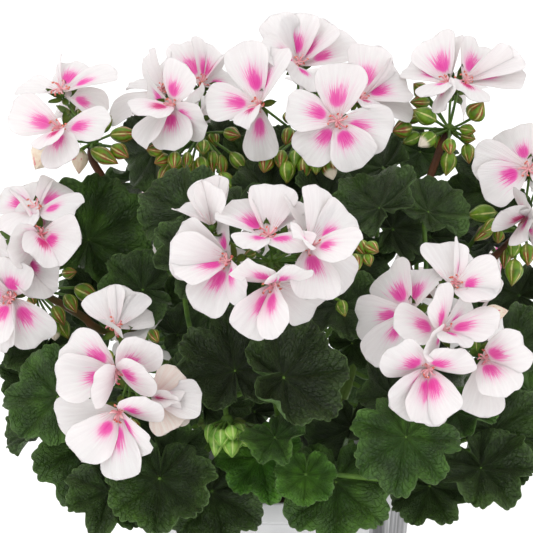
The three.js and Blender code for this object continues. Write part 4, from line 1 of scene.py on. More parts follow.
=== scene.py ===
# Potted zonal geranium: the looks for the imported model, in metres, +Z up, front towards -Y.
import math
import bpy
import numpy as np
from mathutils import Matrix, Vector


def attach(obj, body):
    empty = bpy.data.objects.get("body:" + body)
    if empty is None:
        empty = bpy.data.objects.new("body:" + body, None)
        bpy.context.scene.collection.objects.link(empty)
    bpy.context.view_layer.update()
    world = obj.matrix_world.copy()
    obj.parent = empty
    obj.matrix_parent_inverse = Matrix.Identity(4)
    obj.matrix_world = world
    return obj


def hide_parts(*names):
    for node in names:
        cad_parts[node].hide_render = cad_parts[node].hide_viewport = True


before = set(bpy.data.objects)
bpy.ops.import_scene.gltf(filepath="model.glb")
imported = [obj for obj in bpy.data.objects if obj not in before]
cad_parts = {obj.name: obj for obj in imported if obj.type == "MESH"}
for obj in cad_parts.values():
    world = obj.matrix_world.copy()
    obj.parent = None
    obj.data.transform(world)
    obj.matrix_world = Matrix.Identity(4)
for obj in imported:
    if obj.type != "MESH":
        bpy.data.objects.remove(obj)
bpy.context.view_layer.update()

DEG = math.pi / 180.0
MM = 0.001
POT_HEIGHT, POT_RIM_R, POT_NECK_R, POT_BASE_R, RIM_BAND, WALL, FLOOR = 118.0, 71.0, 68.5, 58.0, 10.0, 1.8, 2.2
DRAIN_HOLES, DRAIN_R, DRAIN_RING = 5, 4.0, 44.0
SOIL_TOP = 105.6

# ------------------------------------------------------------------ tables, in millimetres
# Open leaves that stand apart: name, then [foot of the blade, midrib, upper side,
# [radius, cup, fold, pleat, ruffle, ruffle phase, droop, curl, curl phase, side bend, lobe depth], leaf stalk].
LEAVES = [
  ['leaf_front_right', [[56.7,-122.5,163],[-0.176,-0.44,-0.881],[-0.063,-0.888,0.456],[27,0.05,0.06,0.125,0.075,0,0.15,0,0,-0.1,0.165],[[56.7,-122.5,163],[57.2,-117.4,161.1],[43.7,-42.8,154.1],[44.1,-34.5,156.2]]]],
  ['leaf_front_centre', [[2.1,-110.5,187.2],[0.968,0.248,0.042],[0.194,-0.84,0.507],[29,0.26,0.02,0.13,0.08,1.7,0.1,0.52,-2.25,0.12,0.1],[[2.1,-110.5,187.2],[3.1,-107.9,186.2],[7.2,-87.2,176.6],[1,-63.7,172.6],[0.6,-56.3,176.7]]]],
  ['leaf_front_left', [[-34.3,-74,168.8],[0.123,0.406,0.906],[0.026,-0.914,0.406],[25.5,0.16,0.04,0.14,0.082,3.4,0.1,0.34,-1.7,-0.15,0.1],[[-34.3,-74,168.8],[-35,-65.8,164.5],[-39.1,-46.1,163.2],[-43.1,-39.8,164.5]]]],
  ['leaf_right_low', [[94.3,-85.7,139.2],[0.571,-0.636,-0.519],[-0.048,-0.657,0.752],[24,0.108,0.12,0.166,0.109,5.1,0.15,0,0,0,0.115],[[94.3,-85.7,139.2],[93.5,-82.6,135.5],[38.2,-35.5,133.7],[36.3,-28.4,138.1]]]],
  ['leaf_left_outer', [[-102.9,-72.8,170],[-0.968,0.233,-0.09],[-0.246,-0.827,0.505],[26,0.12,0.02,0.16,0.073,0.52,0.2,0,0,-0.12,0.1],[[-102.9,-72.8,170],[-101.3,-68.7,167.1],[-88.4,-64.2,174.7],[-56.1,-41.3,164.2],[-48.7,-39.4,168.1]]]],
  ['leaf_left_low', [[-88.5,-71.1,145.9],[-0.875,-0.383,-0.297],[0.201,-0.844,0.497],[28.5,0.137,0,0.164,0.12,2.22,0.3,0,0,-0.1,0.131],[[-88.5,-71.1,145.9],[-92.8,-63.5,143.8],[-40,-25.4,127.9],[-32.5,-25.1,134.1]]]],
  ['leaf_bottom_left', [[-76.4,-103.6,132.8],[-0.229,-0.675,-0.702],[0.134,-0.736,0.664],[22,0.134,0.02,0.155,0.109,3.92,0.3,0,0,0,0.124],[[-76.4,-103.6,132.8],[-77.8,-99.8,130.1],[-29.8,-30.8,123.8],[-28.3,-25.1,130.6]]]],
  ['leaf_bottom_young', [[12.5,-116.7,144.2],[-0.071,-0.457,-0.886],[-0.018,-0.888,0.46],[15.5,0.34,0.1,0.12,0.109,5.62,0.15,0,0,0.1,0.07],[[12.5,-116.7,144.2],[12.2,-113.7,144.4],[55.8,-114.2,140.5],[23.4,-30.4,125.1],[26.3,-22.8,128.8]]]],
  ['leaf_bottom_middle', [[26.3,-108.1,138.5],[-0.011,-0.474,-0.881],[-0.032,-0.88,0.474],[28.849,0.08,0.06,0.15,0.12,1.04,0.25,0,0,0,0.11],[[26.3,-108.1,138.5],[26.3,-105.3,137.3],[31.3,-63.3,130.8],[23.2,-31.4,133.1],[28.4,-24.6,132.9]]]],
  ['leaf_centre_shaded', [[-19.6,-94.4,187],[-0.173,0.361,0.916],[0.025,-0.928,0.371],[29.76,0.18,0.02,0.15,0.123,2.74,0.1,0.25,2.2,0,0.139],[[-19.6,-94.4,187],[-19.3,-90.8,185.5],[0.3,-61.6,168.7],[0.8,-54.1,172.8]]]],
  ['leaf_bottom_bright', [[-8.2,-93.6,146.9],[0.225,-0.451,-0.864],[0.002,-0.886,0.463],[22.5,0.12,0.14,0.15,0.109,4.44,0.2,0,0,0,0.139],[[-8.2,-93.6,146.9],[-7.8,-87.7,143.8],[-11.5,-60.6,138.7],[-4.5,-36.2,135.5],[1.6,-31.8,139.5]]]],
  ['leaf_centre_small', [[-1.4,-114.7,160.6],[0.353,-0.85,-0.392],[-0.256,-0.491,0.833],[17,0.1,0.26,0.14,0.121,6.14,0.2,0,0,0,0.134],[[-1.4,-114.7,160.6],[-2,-108.3,158],[-17.4,-76.9,155.6],[-30.2,-40.2,152.5],[-36.5,-34.4,151.9]]]],
  ['leaf_bottom_left_inner', [[-30.5,-94.7,130.4],[0.213,-0.461,-0.861],[0.021,-0.879,0.476],[28,0.08,0.02,0.15,0.089,1.56,0.25,0,0,-0.1,0.09],[[-30.5,-94.7,130.4],[-30.1,-92,129.8],[-23.4,-66.9,136.1],[-24.1,-34.7,133.9],[-28.3,-27.6,135.7]]]],
  ['leaf_bottom_left_curled', [[-53.7,-104,139.3],[-0.035,-0.471,-0.881],[0.049,-0.882,0.469],[27,0.2,0.1,0.123,0.089,3.26,0.2,0.4,1.047,0,0.124],[[-53.7,-104,139.3],[-59.6,-100,131.6],[-20.6,-30.9,125.8],[-23.7,-23.5,128.8]]]],
  ['leaf_left_inner', [[-48.8,-90.9,145.3],[0.889,0.403,-0.218],[0.427,-0.901,0.076],[21,0.133,0.03,0.163,0.121,4.96,0.1,0,0,-0.1,0.134],[[-48.8,-90.9,145.3],[-50,-80.2,145.5],[-39.1,-52.1,138.8],[-38.4,-38,137.2],[-35.7,-31.3,141.8]]]],
  ['leaf_right_upper', [[100.8,-71.3,153.7],[0.865,0.189,0.464],[0.027,-0.943,0.333],[26.564,0.118,0.1,0.139,0.09,0.38,0.1,0,0,0,0.112],[[100.8,-71.3,153.7],[101.5,-68.9,153.1],[34.8,-28.9,124.3],[31.5,-23.9,130.5]]]],
  ['leaf_right_outer', [[113.3,-62.7,143.9],[0.854,-0.312,0.415],[-0.495,-0.734,0.465],[23,0.158,0.06,0.127,0.098,2.08,0.25,0,0,0,0.131],[[113.3,-62.7,143.9],[115.5,-59.6,141.8],[46.1,-32.6,137.2],[40.2,-28.8,142]]]],
  ['leaf_bottom_right', [[71.2,-80.3,129.1],[0.396,-0.639,-0.66],[-0.321,-0.769,0.552],[20,0.136,0.03,0.166,0.085,3.78,0.3,0,0,0,0.122],[[71.2,-80.3,129.1],[71.7,-78.1,127.6],[58.2,-58.9,127.6],[31.8,-25.9,120.6],[28.6,-21.6,127.3]]]],
  ['leaf_top_left', [[-94,-3.9,234.3],[0.251,0.322,0.913],[0.202,-0.94,0.276],[33.715,0.14,0.06,0.19,0.084,5.48,0.1,0,0,0,0.1],[[-94,-3.9,234.3],[-94.3,-1.4,233.6],[-88.2,-3.5,211.5],[-78,-3.2,197.4],[-76.5,5.2,197.8]]]],
  ['leaf_top_left_inner', [[-42.3,-51.3,254.5],[-0.75,0.604,0.269],[-0.431,-0.755,0.495],[25,0.169,0.04,0.157,0.112,0.9,0.2,0,0,0,0.126],[[-42.3,-51.3,254.5],[-41.7,-46.7,253.2],[-1.5,-2,241.5],[0.2,6.4,241]]]],
  ['leaf_mid_left', [[-38.2,-76.7,234.6],[-0.772,-0.636,0.004],[0.509,-0.614,0.604],[24,0.173,0.02,0.135,0.107,2.6,0.2,0,0,0,0.137],[[-38.2,-76.7,234.6],[-43.5,-70.5,228.3],[-42.8,-58,206.6],[-39.6,-44.7,181.8],[-47.4,-42.7,178.9]]]],
  ['leaf_mid_right', [[52.5,-88.3,173.9],[-0.774,-0.631,0.054],[0.562,-0.646,0.517],[21,0.163,0.02,0.164,0.121,4.3,0.2,0,0,0,0.134],[[52.5,-88.3,173.9],[51.3,-80.7,171.6],[47.8,-45.3,163.4],[48,-37,165.5]]]],
  ['leaf_right_folded', [[34.5,-80.9,157],[-0.345,-0.72,-0.602],[-0.451,-0.435,0.779],[21,0.152,0.36,0.14,0.08,6,0.2,0,0,0,0.117],[[34.5,-80.9,157],[35.5,-76.3,152.5],[40,-41.4,150.1],[41.7,-33.2,151.7]]]],
  ['leaf_right_small', [[81.8,-91.4,167.1],[0.161,-0.891,-0.424],[-0.227,-0.452,0.863],[19,0.147,0.06,0.135,0.072,1.42,0.2,0,0,0,0.131],[[81.8,-91.4,167.1],[80.4,-82.6,163.1],[52.4,-41.3,156.8],[47.8,-35.1,160.3]]]],
  ['leaf_top_right', [[112,17.9,256.7],[-0.922,0.361,-0.138],[-0.381,-0.791,0.479],[27,0.122,0.05,0.15,0.115,3.12,0.1,0,0,0,0.135],[[112,17.9,256.7],[113.7,20.7,254.2],[95.9,23,223.6],[76.3,23.3,202.1],[77.6,14.8,202]]]],
  ['leaf_top_right_inner', [[72.6,22.9,275.5],[-0.288,-0.751,-0.594],[0.095,-0.64,0.763],[21,0.183,0.1,0.133,0.124,4.82,0.2,0,0,0,0.121],[[72.6,22.9,275.5],[70.5,23.5,264.7],[68.6,14.4,229.5],[65.1,13.4,201.9],[72.6,12.1,198]]]],
  ['leaf_top_centre', [[49,-39.1,254.8],[-0.506,0.757,0.413],[-0.382,-0.626,0.68],[25,0.158,0.04,0.125,0.093,0.24,0.1,0,0,0,0.126],[[49,-39.1,254.8],[49.4,-37.4,252.9],[4.6,-1.5,248],[2.4,6.8,247.8]]]],
  ['leaf_top_far_right', [[72.6,-31.4,251.9],[0.566,0.734,0.374],[0.323,-0.615,0.719],[21,0.159,0.04,0.16,0.115,1.94,0.1,0,0,0,0.128],[[72.6,-31.4,251.9],[71.4,-28.4,247.8],[73.1,-17.2,220],[70,1.9,200.1],[73.8,9.2,197.6]]]],
  ['leaf_right_edge', [[110.2,-65.1,192.8],[0.271,0.505,0.82],[0.094,-0.861,0.499],[21,0.124,0.12,0.135,0.105,3.64,0.1,0,0,0,0.134],[[110.2,-65.1,192.8],[113.5,-57.4,189.1],[76.4,5.8,175.9],[69.3,9.4,179.1]]]],
  ['leaf_right_edge_low', [[122.1,-43.1,165.7],[0.669,0.715,0.205],[0.389,-0.572,0.723],[22,0.155,0.06,0.134,0.125,5.34,0.2,0,0,0,0.122],[[122.1,-43.1,165.7],[123.1,-39.9,163.2],[81.2,-33,164],[52.6,-32,147.2],[45,-30.7,151]]]],
  ['leaf_left_edge', [[-114.1,-57.8,151.5],[-0.581,0.814,0.028],[-0.537,-0.408,0.738],[16.5,0.119,0.06,0.15,0.125,0.76,0.2,0,0,0,0.11],[[-114.1,-57.8,151.5],[-112.3,-57,147.7],[-80.4,-42.3,143.3],[-44,-27.6,138.8],[-37.4,-28.6,142.1]]]],
  ['leaf_centre_right', [[27.8,-76.9,214],[0.251,-0.804,-0.539],[-0.19,-0.587,0.787],[23,0.13,0.06,0.122,0.11,2.46,0.2,0,0,0,0.112],[[27.8,-76.9,214],[27.1,-72.1,207.1],[11.3,-57.5,182.4],[2.8,-56.4,182.1]]]],
  ['leaf_top_left_back', [[-61.6,11.1,277.7],[-0.703,0.651,-0.287],[-0.706,-0.686,0.175],[23,0.139,0.06,0.142,0.094,4.16,0.2,0,0,0,0.114],[[-61.6,11.1,277.7],[-60,13.5,276.7],[-30.7,11.6,256.8],[-10.7,11.5,242],[-2.3,10.1,241.1]]]],
  ['leaf_mid_left_outer', [[-113.2,-36.1,184],[-0.224,-0.808,-0.544],[0.24,-0.587,0.773],[22,0.143,0.06,0.146,0.1,5.86,0.2,0,0,0,0.12],[[-113.2,-36.1,184],[-113.6,-32.7,180.4],[-88.3,-35,182.5],[-60.1,-37.7,175],[-52.5,-40.9,177.2]]]],
  ['leaf_centre_low', [[10.7,-59.4,151.8],[0.386,-0.902,-0.192],[-0.417,-0.357,0.836],[21,0.128,0.06,0.138,0.091,1.28,0.2,0,0,0,0.113],[[10.7,-59.4,151.8],[12.4,-59.1,149.7],[8.7,-49.7,148],[7.5,-44.6,140.7],[4.9,-38.1,145.6]]]],
]

# Stems: [name, path, radii at foot and tip, leaves that grow from it as one piece].
STEMS = [
  ['main_stem', [[0,0,104],[3,5,150],[-2,8,205],[2,10,252]], [4.6,2.6], [
    [[-4.2,-16,258],[0.863,0.415,0.287],[0.186,-0.79,0.585],[24.474,0.12,0.025,0.153,0.12,0.172,0.314,0,0,-0.094,0.14],[[-4.2,-16,258],[1.5,-23.9,258.7],[-3.5,10.6,230],[0.1,9.3,233.8]]],
    [[56,-20.5,242.1],[0.837,0.537,0.104],[0.447,-0.782,0.435],[18.537,0.144,0.036,0.153,0.12,0.422,0.219,0,0,-0.002,0.14],[[56,-20.5,242.1],[58.2,-15.8,233.4],[46.2,-6.7,217.4],[10.8,8,214.4],[-1.8,8.4,212.7]]],
    [[-14.1,9.7,268],[-0.892,0.45,0.046],[-0.342,-0.737,0.583],[18.51,0.167,0.09,0.153,0.12,4.326,0.172,0,0,-0.119,0.14],[[-14.1,9.7,268],[-11.5,12.2,265.3],[-8,14.1,260.3],[-1.9,21,240.7],[0.9,9.5,240.8]]],
    [[34.7,-22,225.5],[0.878,0.034,-0.478],[0.226,-0.909,0.35],[19.89,0.08,0.02,0.147,0.115,6.171,0.202,0,0,0.026,0.138],[[34.7,-22,225.5],[33.3,-18.2,223.8],[19.4,-7.8,227.2],[9,2.5,219.3],[-1.4,8.7,219.8]]],
    [[52.7,-0.3,269.9],[-0.741,0.66,0.12],[-0.358,-0.541,0.761],[18.01,0.149,0.047,0.147,0.115,0.618,0.105,0,0,-0.048,0.138],[[52.7,-0.3,269.9],[53.8,-7.3,267.4],[37.6,4,260.6],[10.7,12.8,236.6],[0.9,9.5,240.8]]],
    [[-18.6,-44.8,256.3],[-0.28,-0.725,-0.629],[-0.209,-0.594,0.777],[23.383,0.069,0.052,0.147,0.115,5.904,0.257,0,0,-0.056,0.138],[[-18.6,-44.8,256.3],[-17.7,-40.9,253.5],[-5.2,-2.1,227.8],[-0.7,9,226.9]]],
    [[25.2,-15.7,255.5],[-0.818,-0.326,0.474],[0.574,-0.514,0.637],[22.018,0.168,0.052,0.147,0.115,2.679,0.127,0,0,-0.021,0.138],[[25.2,-15.7,255.5],[21.4,-26.3,253.2],[10.8,18.5,224.8],[-0.7,9,226.9]]],
  ]],
  ['branch_1', [[-1,-1,110],[-30,-25,136],[-50,-42,178]], [3,2.4], [
    [[-55.9,-49.7,142.7],[-0.518,0.694,0.5],[-0.335,-0.703,0.628],[20.819,0.074,0.048,0.148,0.116,0.153,0.175,0,0,0.044,0.139],[[-55.9,-49.7,142.7],[-52.9,-43.6,136.9],[-51.1,-37.3,138.5],[-39.4,-32.8,132.2],[-32.4,-27,139.6]]],
  ]],
  ['branch_2', [[1,-1,110],[33,-24,136],[54,-38,180]], [3,2.4], [
    [[72.5,-48.2,179.2],[0.902,0.32,-0.291],[0.39,-0.892,0.227],[23.694,0.072,0.04,0.148,0.116,5.72,0.336,0,0,-0.095,0.139],[[72.5,-48.2,179.2],[64.3,-43.4,173.3],[58.6,-40.9,165.8],[50,-35.4,170.9]]],
    [[73.7,-45.7,146.7],[0.224,0.646,-0.73],[0.94,-0.342,-0.014],[24.458,0.153,0.1,0.154,0.123,1.251,0.342,0,0,-0.018,0.104],[[73.7,-45.7,146.7],[71.5,-44.2,145],[44.5,-38.4,142.7],[40.2,-28.9,147.9]]],
  ]],
  ['branch_3', [[0,-1,118],[4,-33,144],[0,-56,182]], [3,2.4], [

  ]],
  ['branch_4', [[-1,0,126],[-46,5,156],[-76,8,198]], [3,2.4], [
    [[-64.5,-43.9,215.8],[-0.946,-0.325,0.001],[0.257,-0.746,0.614],[22.212,0.13,0.041,0.153,0.12,2.106,0.307,0,0,-0.052,0.14],[[-64.5,-43.9,215.8],[-65.7,-36,211.2],[-71.1,-3.4,195.8],[-73.1,7.7,193.7]]],
    [[-49.2,-19.2,189.2],[0.776,0.63,0.031],[0.41,-0.542,0.733],[19.416,0.099,0.048,0.153,0.12,0.296,0.141,0,0,-0.039,0.14],[[-49.2,-19.2,189.2],[-51.1,-18.6,187.1],[-57,-3.1,180],[-61.9,6.6,176.2]]],
    [[-93,8.5,205.4],[-0.481,-0.428,-0.765],[0.482,-0.858,0.177],[18.948,0.091,0,0.147,0.115,1.107,0.337,0,0,-0.004,0.138],[[-93,8.5,205.4],[-94.1,11.5,204.9],[-93.6,12.3,200.8],[-84.8,11.3,191.6],[-76,8,198]]],
    [[-124.2,-1.2,162.7],[-0.886,-0.223,0.406],[0.373,-0.864,0.339],[16.947,0.14,0.079,0.148,0.116,4.133,0.203,0,0,-0.065,0.139],[[-124.2,-1.2,162.7],[-126,2.3,160.5],[-39,-4.5,139.5],[-33.6,3.6,146]]],
    [[-54.5,17.8,199.9],[0.22,-0.59,-0.777],[-0.428,-0.774,0.467],[19.116,0.171,0.048,0.148,0.116,0.058,0.122,0,0,-0.066,0.139],[[-54.5,17.8,199.9],[-52.1,20.9,198],[-61.4,17.9,182],[-64.7,6.9,180.6]]],
    [[-95.3,2.7,151.7],[-0.336,0.384,-0.86],[-0.941,-0.097,0.325],[27.661,0.12,0.05,0.151,0.117,4.029,0.277,0,0,0.041,0.138],[[-95.3,2.7,151.7],[-91.8,2.1,151.2],[-38.9,9.5,137.3],[-33.6,3.6,146]]],
    [[-100.9,-12.5,173.6],[-0.188,0.12,-0.975],[-0.968,-0.188,0.164],[25.586,0.168,0.063,0.151,0.117,4.52,0.131,0,0,0.048,0.138],[[-100.9,-12.5,173.6],[-97.7,-11.7,173],[-68.3,3.4,165.7],[-59,6.3,171.9]]],
  ]],
  ['branch_5', [[1,0,118],[48,8,150],[78,12,202]], [3,2.4], [
    [[123.6,15.1,203.1],[-0.939,0.077,0.334],[-0.045,-0.994,0.102],[18.015,0.147,0.089,0.153,0.12,3.412,0.319,0,0,0.04,0.14],[[123.6,15.1,203.1],[121.8,25.7,199.2],[104.2,12.2,167.5],[63.3,14.9,153.1],[55.2,9.1,159.2]]],
    [[77.2,6.5,234.1],[-0.635,-0.632,-0.445],[0.226,-0.702,0.675],[22.653,0.079,0.055,0.147,0.115,3.527,0.141,0,0,0.017,0.138],[[77.2,6.5,234.1],[71.7,11.8,227.6],[73,22.8,197.1],[75.1,11.6,196.7]]],
    [[93,14.5,195.3],[0.449,-0.261,-0.854],[0.881,0.287,0.376],[23.455,0.086,0.026,0.154,0.123,0.9,0.122,0,0,-0.025,0.104],[[93,14.5,195.3],[89.1,13.1,193.6],[81.9,15,186.2],[72.3,11.3,191.3]]],
    [[95.9,-11.6,148.4],[0.145,0.528,-0.837],[0.989,-0.088,0.116],[24.989,0.099,0.039,0.154,0.124,6.072,0.26,0,0,-0.053,0.104],[[95.9,-11.6,148.4],[92.4,-12.6,149.8],[53.7,-1.5,144.1],[48,8,150]]],
  ]],
  ['branch_6', [[-1,1,117],[-33,38,150],[-50,58,198]], [3,2.4], [
    [[-0.6,36.8,269.5],[0.737,-0.672,-0.072],[-0.471,-0.587,0.658],[21,0.143,0.064,0.147,0.115,2.024,0.257,0,0,-0.068,0.138],[[-0.6,36.8,269.5],[-1.8,46.5,271.9],[5.5,74.3,256.3],[-35.2,54.7,188.2],[-48.4,56.1,193.1]]],
    [[-12,61.8,131.6],[-0.804,0.193,0.563],[0.337,-0.633,0.697],[20.163,0.135,0.04,0.147,0.115,2.869,0.274,0,0,0.01,0.138],[[-12,61.8,131.6],[-9.3,62.9,124.4],[-7.1,53.2,124.7],[-15.2,33.5,131],[-21.3,24.4,135.6]]],
    [[-88.1,59.9,143.1],[0.74,0.461,0.49],[0.165,-0.831,0.532],[20.843,0.135,0.096,0.147,0.115,3.386,0.26,0,0,-0.017,0.138],[[-88.1,59.9,143.1],[-88,62.5,135],[-60.8,48.3,144.3],[-40.5,33,140.4],[-30.4,35,146]]],
    [[-100.1,56.2,181.1],[-0.951,-0.175,-0.254],[-0.072,-0.676,0.734],[23.608,0.165,0.009,0.148,0.116,0.35,0.318,0,0,-0.029,0.139],[[-100.1,56.2,181.1],[-95.3,61.7,175.1],[-70.3,52.7,172.1],[-54.3,53.6,174],[-43.9,50.7,178]]],
    [[-26.6,33.7,276.6],[0.573,0.384,0.724],[0.209,-0.923,0.324],[17.348,0.116,0.024,0.148,0.116,2.001,0.238,0,0,-0.053,0.139],[[-26.6,33.7,276.6],[-31.4,42.3,270.9],[-36.7,42.8,225.1],[-40,55,202.6],[-50,58,198]]],
    [[-73.5,47.9,251.3],[-0.859,-0.075,-0.507],[-0.512,0.115,0.851],[24.111,0.117,0.019,0.151,0.117,3.128,0.179,0,0,-0.015,0.138],[[-73.5,47.9,251.3],[-71.4,47.1,247.6],[-52.5,60.4,233.3],[-59.9,52.5,196.8],[-50,58,198]]],
    [[-3.2,57.6,273.6],[-0.361,0.872,-0.33],[-0.231,0.259,0.938],[25.984,0.164,0.036,0.151,0.117,0.802,0.279,0,0,-0.07,0.138],[[-3.2,57.6,273.6],[-3,52.9,264.7],[-39.7,74.1,236],[-37.4,49.4,192.7],[-46.8,54.2,188.1]]],
    [[-65.5,76.7,180.8],[-0.358,0.061,-0.932],[-0.435,0.872,0.224],[26.438,0.136,0.061,0.151,0.117,0.25,0.111,0,0,-0.096,0.138],[[-65.5,76.7,180.8],[-61.5,71.5,183.6],[-46.9,60.9,173.6],[-43.9,50.7,178]]],
    [[-45,79.5,152.3],[-0.742,-0.327,-0.585],[-0.586,0.741,0.328],[23.16,0.132,0.077,0.154,0.123,3.894,0.293,0,0,-0.089,0.104],[[-45,79.5,152.3],[-41.2,75.5,150.4],[-22.9,42.7,148.6],[-30.4,35,146]]],
    [[-20.9,95.3,170.7],[-0.726,0.265,-0.634],[-0.318,0.688,0.652],[27.695,0.151,0.099,0.154,0.123,2.174,0.149,0,0,0.032,0.104],[[-20.9,95.3,170.7],[-18.4,91.1,170],[-22.1,80.7,168.7],[-36,55.8,159.7],[-39.1,45.1,163.2]]],
    [[-95.8,34.8,219.8],[-0.556,-0.379,-0.74],[-0.812,0.059,0.581],[24.572,0.156,0.071,0.154,0.123,2.061,0.336,0,0,-0.003,0.104],[[-95.8,34.8,219.8],[-90.8,34,214.1],[-81.9,36.8,203],[-56.3,49.6,193],[-48.4,56.1,193.1]]],
    [[-81.3,27.6,149.4],[-0.009,-0.554,-0.833],[-0.999,-0.021,0.024],[26.111,0.189,0.072,0.155,0.124,5.755,0.2,0,0,-0.032,0.104],[[-81.3,27.6,149.4],[-73.1,26.5,148],[-42.3,30.9,149.4],[-33,38,150]]],
    [[-10.8,80.5,141.5],[-0.148,0.348,-0.926],[-0.147,0.918,0.368],[27.635,0.128,0.006,0.155,0.124,6.011,0.155,0,0,-0.096,0.104],[[-10.8,80.5,141.5],[-10.8,77,144.6],[-25.4,53.9,144.9],[-23.6,45.6,148.1],[-33,38,150]]],
    [[-65.3,45,263.3],[-0.704,0.604,-0.373],[-0.391,0.108,0.914],[25.536,0.142,0.09,0.155,0.124,4.289,0.123,0,0,-0.003,0.104],[[-65.3,45,263.3],[-59.2,41.2,260.2],[-60.1,52.9,196.6],[-50,58,198]]],
    [[-28.7,58.3,275.3],[-0.028,0.992,-0.124],[-0.052,0.123,0.991],[26.173,0.175,0.054,0.155,0.124,0.292,0.263,0,0,-0.09,0.104],[[-28.7,58.3,275.3],[-28.8,58.3,271],[-36.3,47,187.6],[-45.3,52.5,183.1]]],
    [[-71.1,37.7,228],[-0.497,0.653,-0.572],[-0.453,0.367,0.812],[24.831,0.106,0.052,0.155,0.124,1.428,0.217,0,0,-0.08,0.104],[[-71.1,37.7,228],[-69,34.2,220.1],[-56.5,33.5,191.6],[-55.1,52.6,179.9],[-45.3,52.5,183.1]]],
  ]],
  ['branch_7', [[1,1,110],[34,40,142],[48,62,198]], [3,2.4], [
    [[28.9,40.2,260.5],[0.829,-0.054,0.557],[-0.338,-0.841,0.423],[20.983,0.189,0.092,0.153,0.12,0.697,0.16,0,0,-0.065,0.14],[[28.9,40.2,260.5],[29.9,43.1,259.3],[57.1,36.7,231],[39.6,52,196.6],[46.7,59.9,192.3]]],
    [[108.9,25.1,228.7],[-0.343,0.884,0.316],[-0.428,-0.447,0.785],[23.777,0.102,0.075,0.153,0.12,1.051,0.224,0,0,-0.068,0.14],[[108.9,25.1,228.7],[113.4,29.3,220.4],[93.3,57.1,218.4],[55,56.1,179.4],[44.4,56,180.5]]],
    [[38.8,22.3,176.6],[0.834,0.093,0.544],[-0.067,-0.962,0.266],[16.985,0.158,0.097,0.148,0.116,0.56,0.131,0,0,-0.032,0.139],[[38.8,22.3,176.6],[39.1,33.6,173.9],[39.5,41.6,172.6],[42.2,52.1,168.5]]],
    [[0.5,92.7,152.6],[0.606,0.544,-0.58],[-0.398,0.839,0.372],[26.272,0.123,0.079,0.151,0.117,1.739,0.222,0,0,0.027,0.138],[[0.5,92.7,152.6],[-1.5,86.4,156.3],[7.8,83.1,163],[18.9,38.5,126.8],[25.5,29.6,130.7]]],
    [[101.6,34.4,187.6],[0.163,0.914,-0.372],[0.942,-0.031,0.335],[26.344,0.172,0.025,0.151,0.117,5.281,0.167,0,0,-0.059,0.138],[[101.6,34.4,187.6],[94.9,34.9,184.7],[73.9,39.8,177.7],[53.3,48.2,174.5],[43.3,54,174.5]]],
    [[69.5,57.5,156.5],[-0.038,0.738,-0.674],[0.937,0.26,0.232],[26.449,0.116,0.034,0.151,0.117,0.342,0.349,0,0,0.008,0.138],[[69.5,57.5,156.5],[63.7,55.8,156.4],[60.9,54.3,157.4],[48.8,46.9,147.5],[38,45.5,151.7]]],
    [[-3.8,106.2,185.3],[0.126,-0.227,0.966],[-0.244,0.936,0.252],[25.957,0.175,0.065,0.151,0.117,1.203,0.194,0,0,-0.072,0.138],[[-3.8,106.2,185.3],[-3.5,104,182.4],[15.9,83.4,176.4],[35.3,62.2,173.3],[43.3,54,174.5]]],
    [[30.2,79.9,148.6],[0.86,-0.328,-0.391],[0.118,0.874,-0.472],[26.859,0.182,0.077,0.151,0.117,0.4,0.225,0,0,0,0.138],[[30.2,79.9,148.6],[26.1,78.5,150.8],[36.4,53.2,141.5],[36.2,42.9,146.6]]],
    [[86.4,28.8,150.7],[0.003,0.581,-0.814],[0.966,0.207,0.152],[27.713,0.138,0.013,0.154,0.123,1.556,0.218,0,0,-0.015,0.104],[[86.4,28.8,150.7],[81.7,29.1,150.3],[43.9,33.8,141],[34,40,142]]],
    [[41.3,67.1,252.8],[-0.129,0.868,-0.479],[0.349,0.492,0.798],[26.731,0.109,0.063,0.154,0.123,1.73,0.199,0,0,-0.016,0.104],[[41.3,67.1,252.8],[38.9,65,249.6],[54.8,77.6,232],[40.2,67.8,184.2],[45.5,57.9,186.4]]],
    [[87,52.3,165.6],[0.374,0.326,-0.868],[0.879,0.176,0.444],[24.068,0.16,0.068,0.154,0.123,2.983,0.32,0,0,0.033,0.104],[[87,52.3,165.6],[83.4,52.7,163.7],[55.4,75.2,184.3],[49.6,51.9,152.7],[39.6,47.9,157.1]]],
    [[49.4,93.4,177.5],[0.328,0.066,-0.942],[0.208,0.968,0.14],[25.877,0.174,0.095,0.154,0.123,4.746,0.117,0,0,0.012,0.104],[[49.4,93.4,177.5],[50.2,90.7,177.7],[42.5,62.7,164.5],[42.2,52.1,168.5]]],
    [[29.2,61.9,240],[0.8,0.487,-0.351],[0.139,0.418,0.898],[26.965,0.169,0.003,0.155,0.124,4.755,0.153,0,0,-0.115,0.104],[[29.2,61.9,240],[30.1,61,236.5],[39.3,59.7,218.7],[41.5,53.9,202.6],[48,62,198]]],
  ]],
]

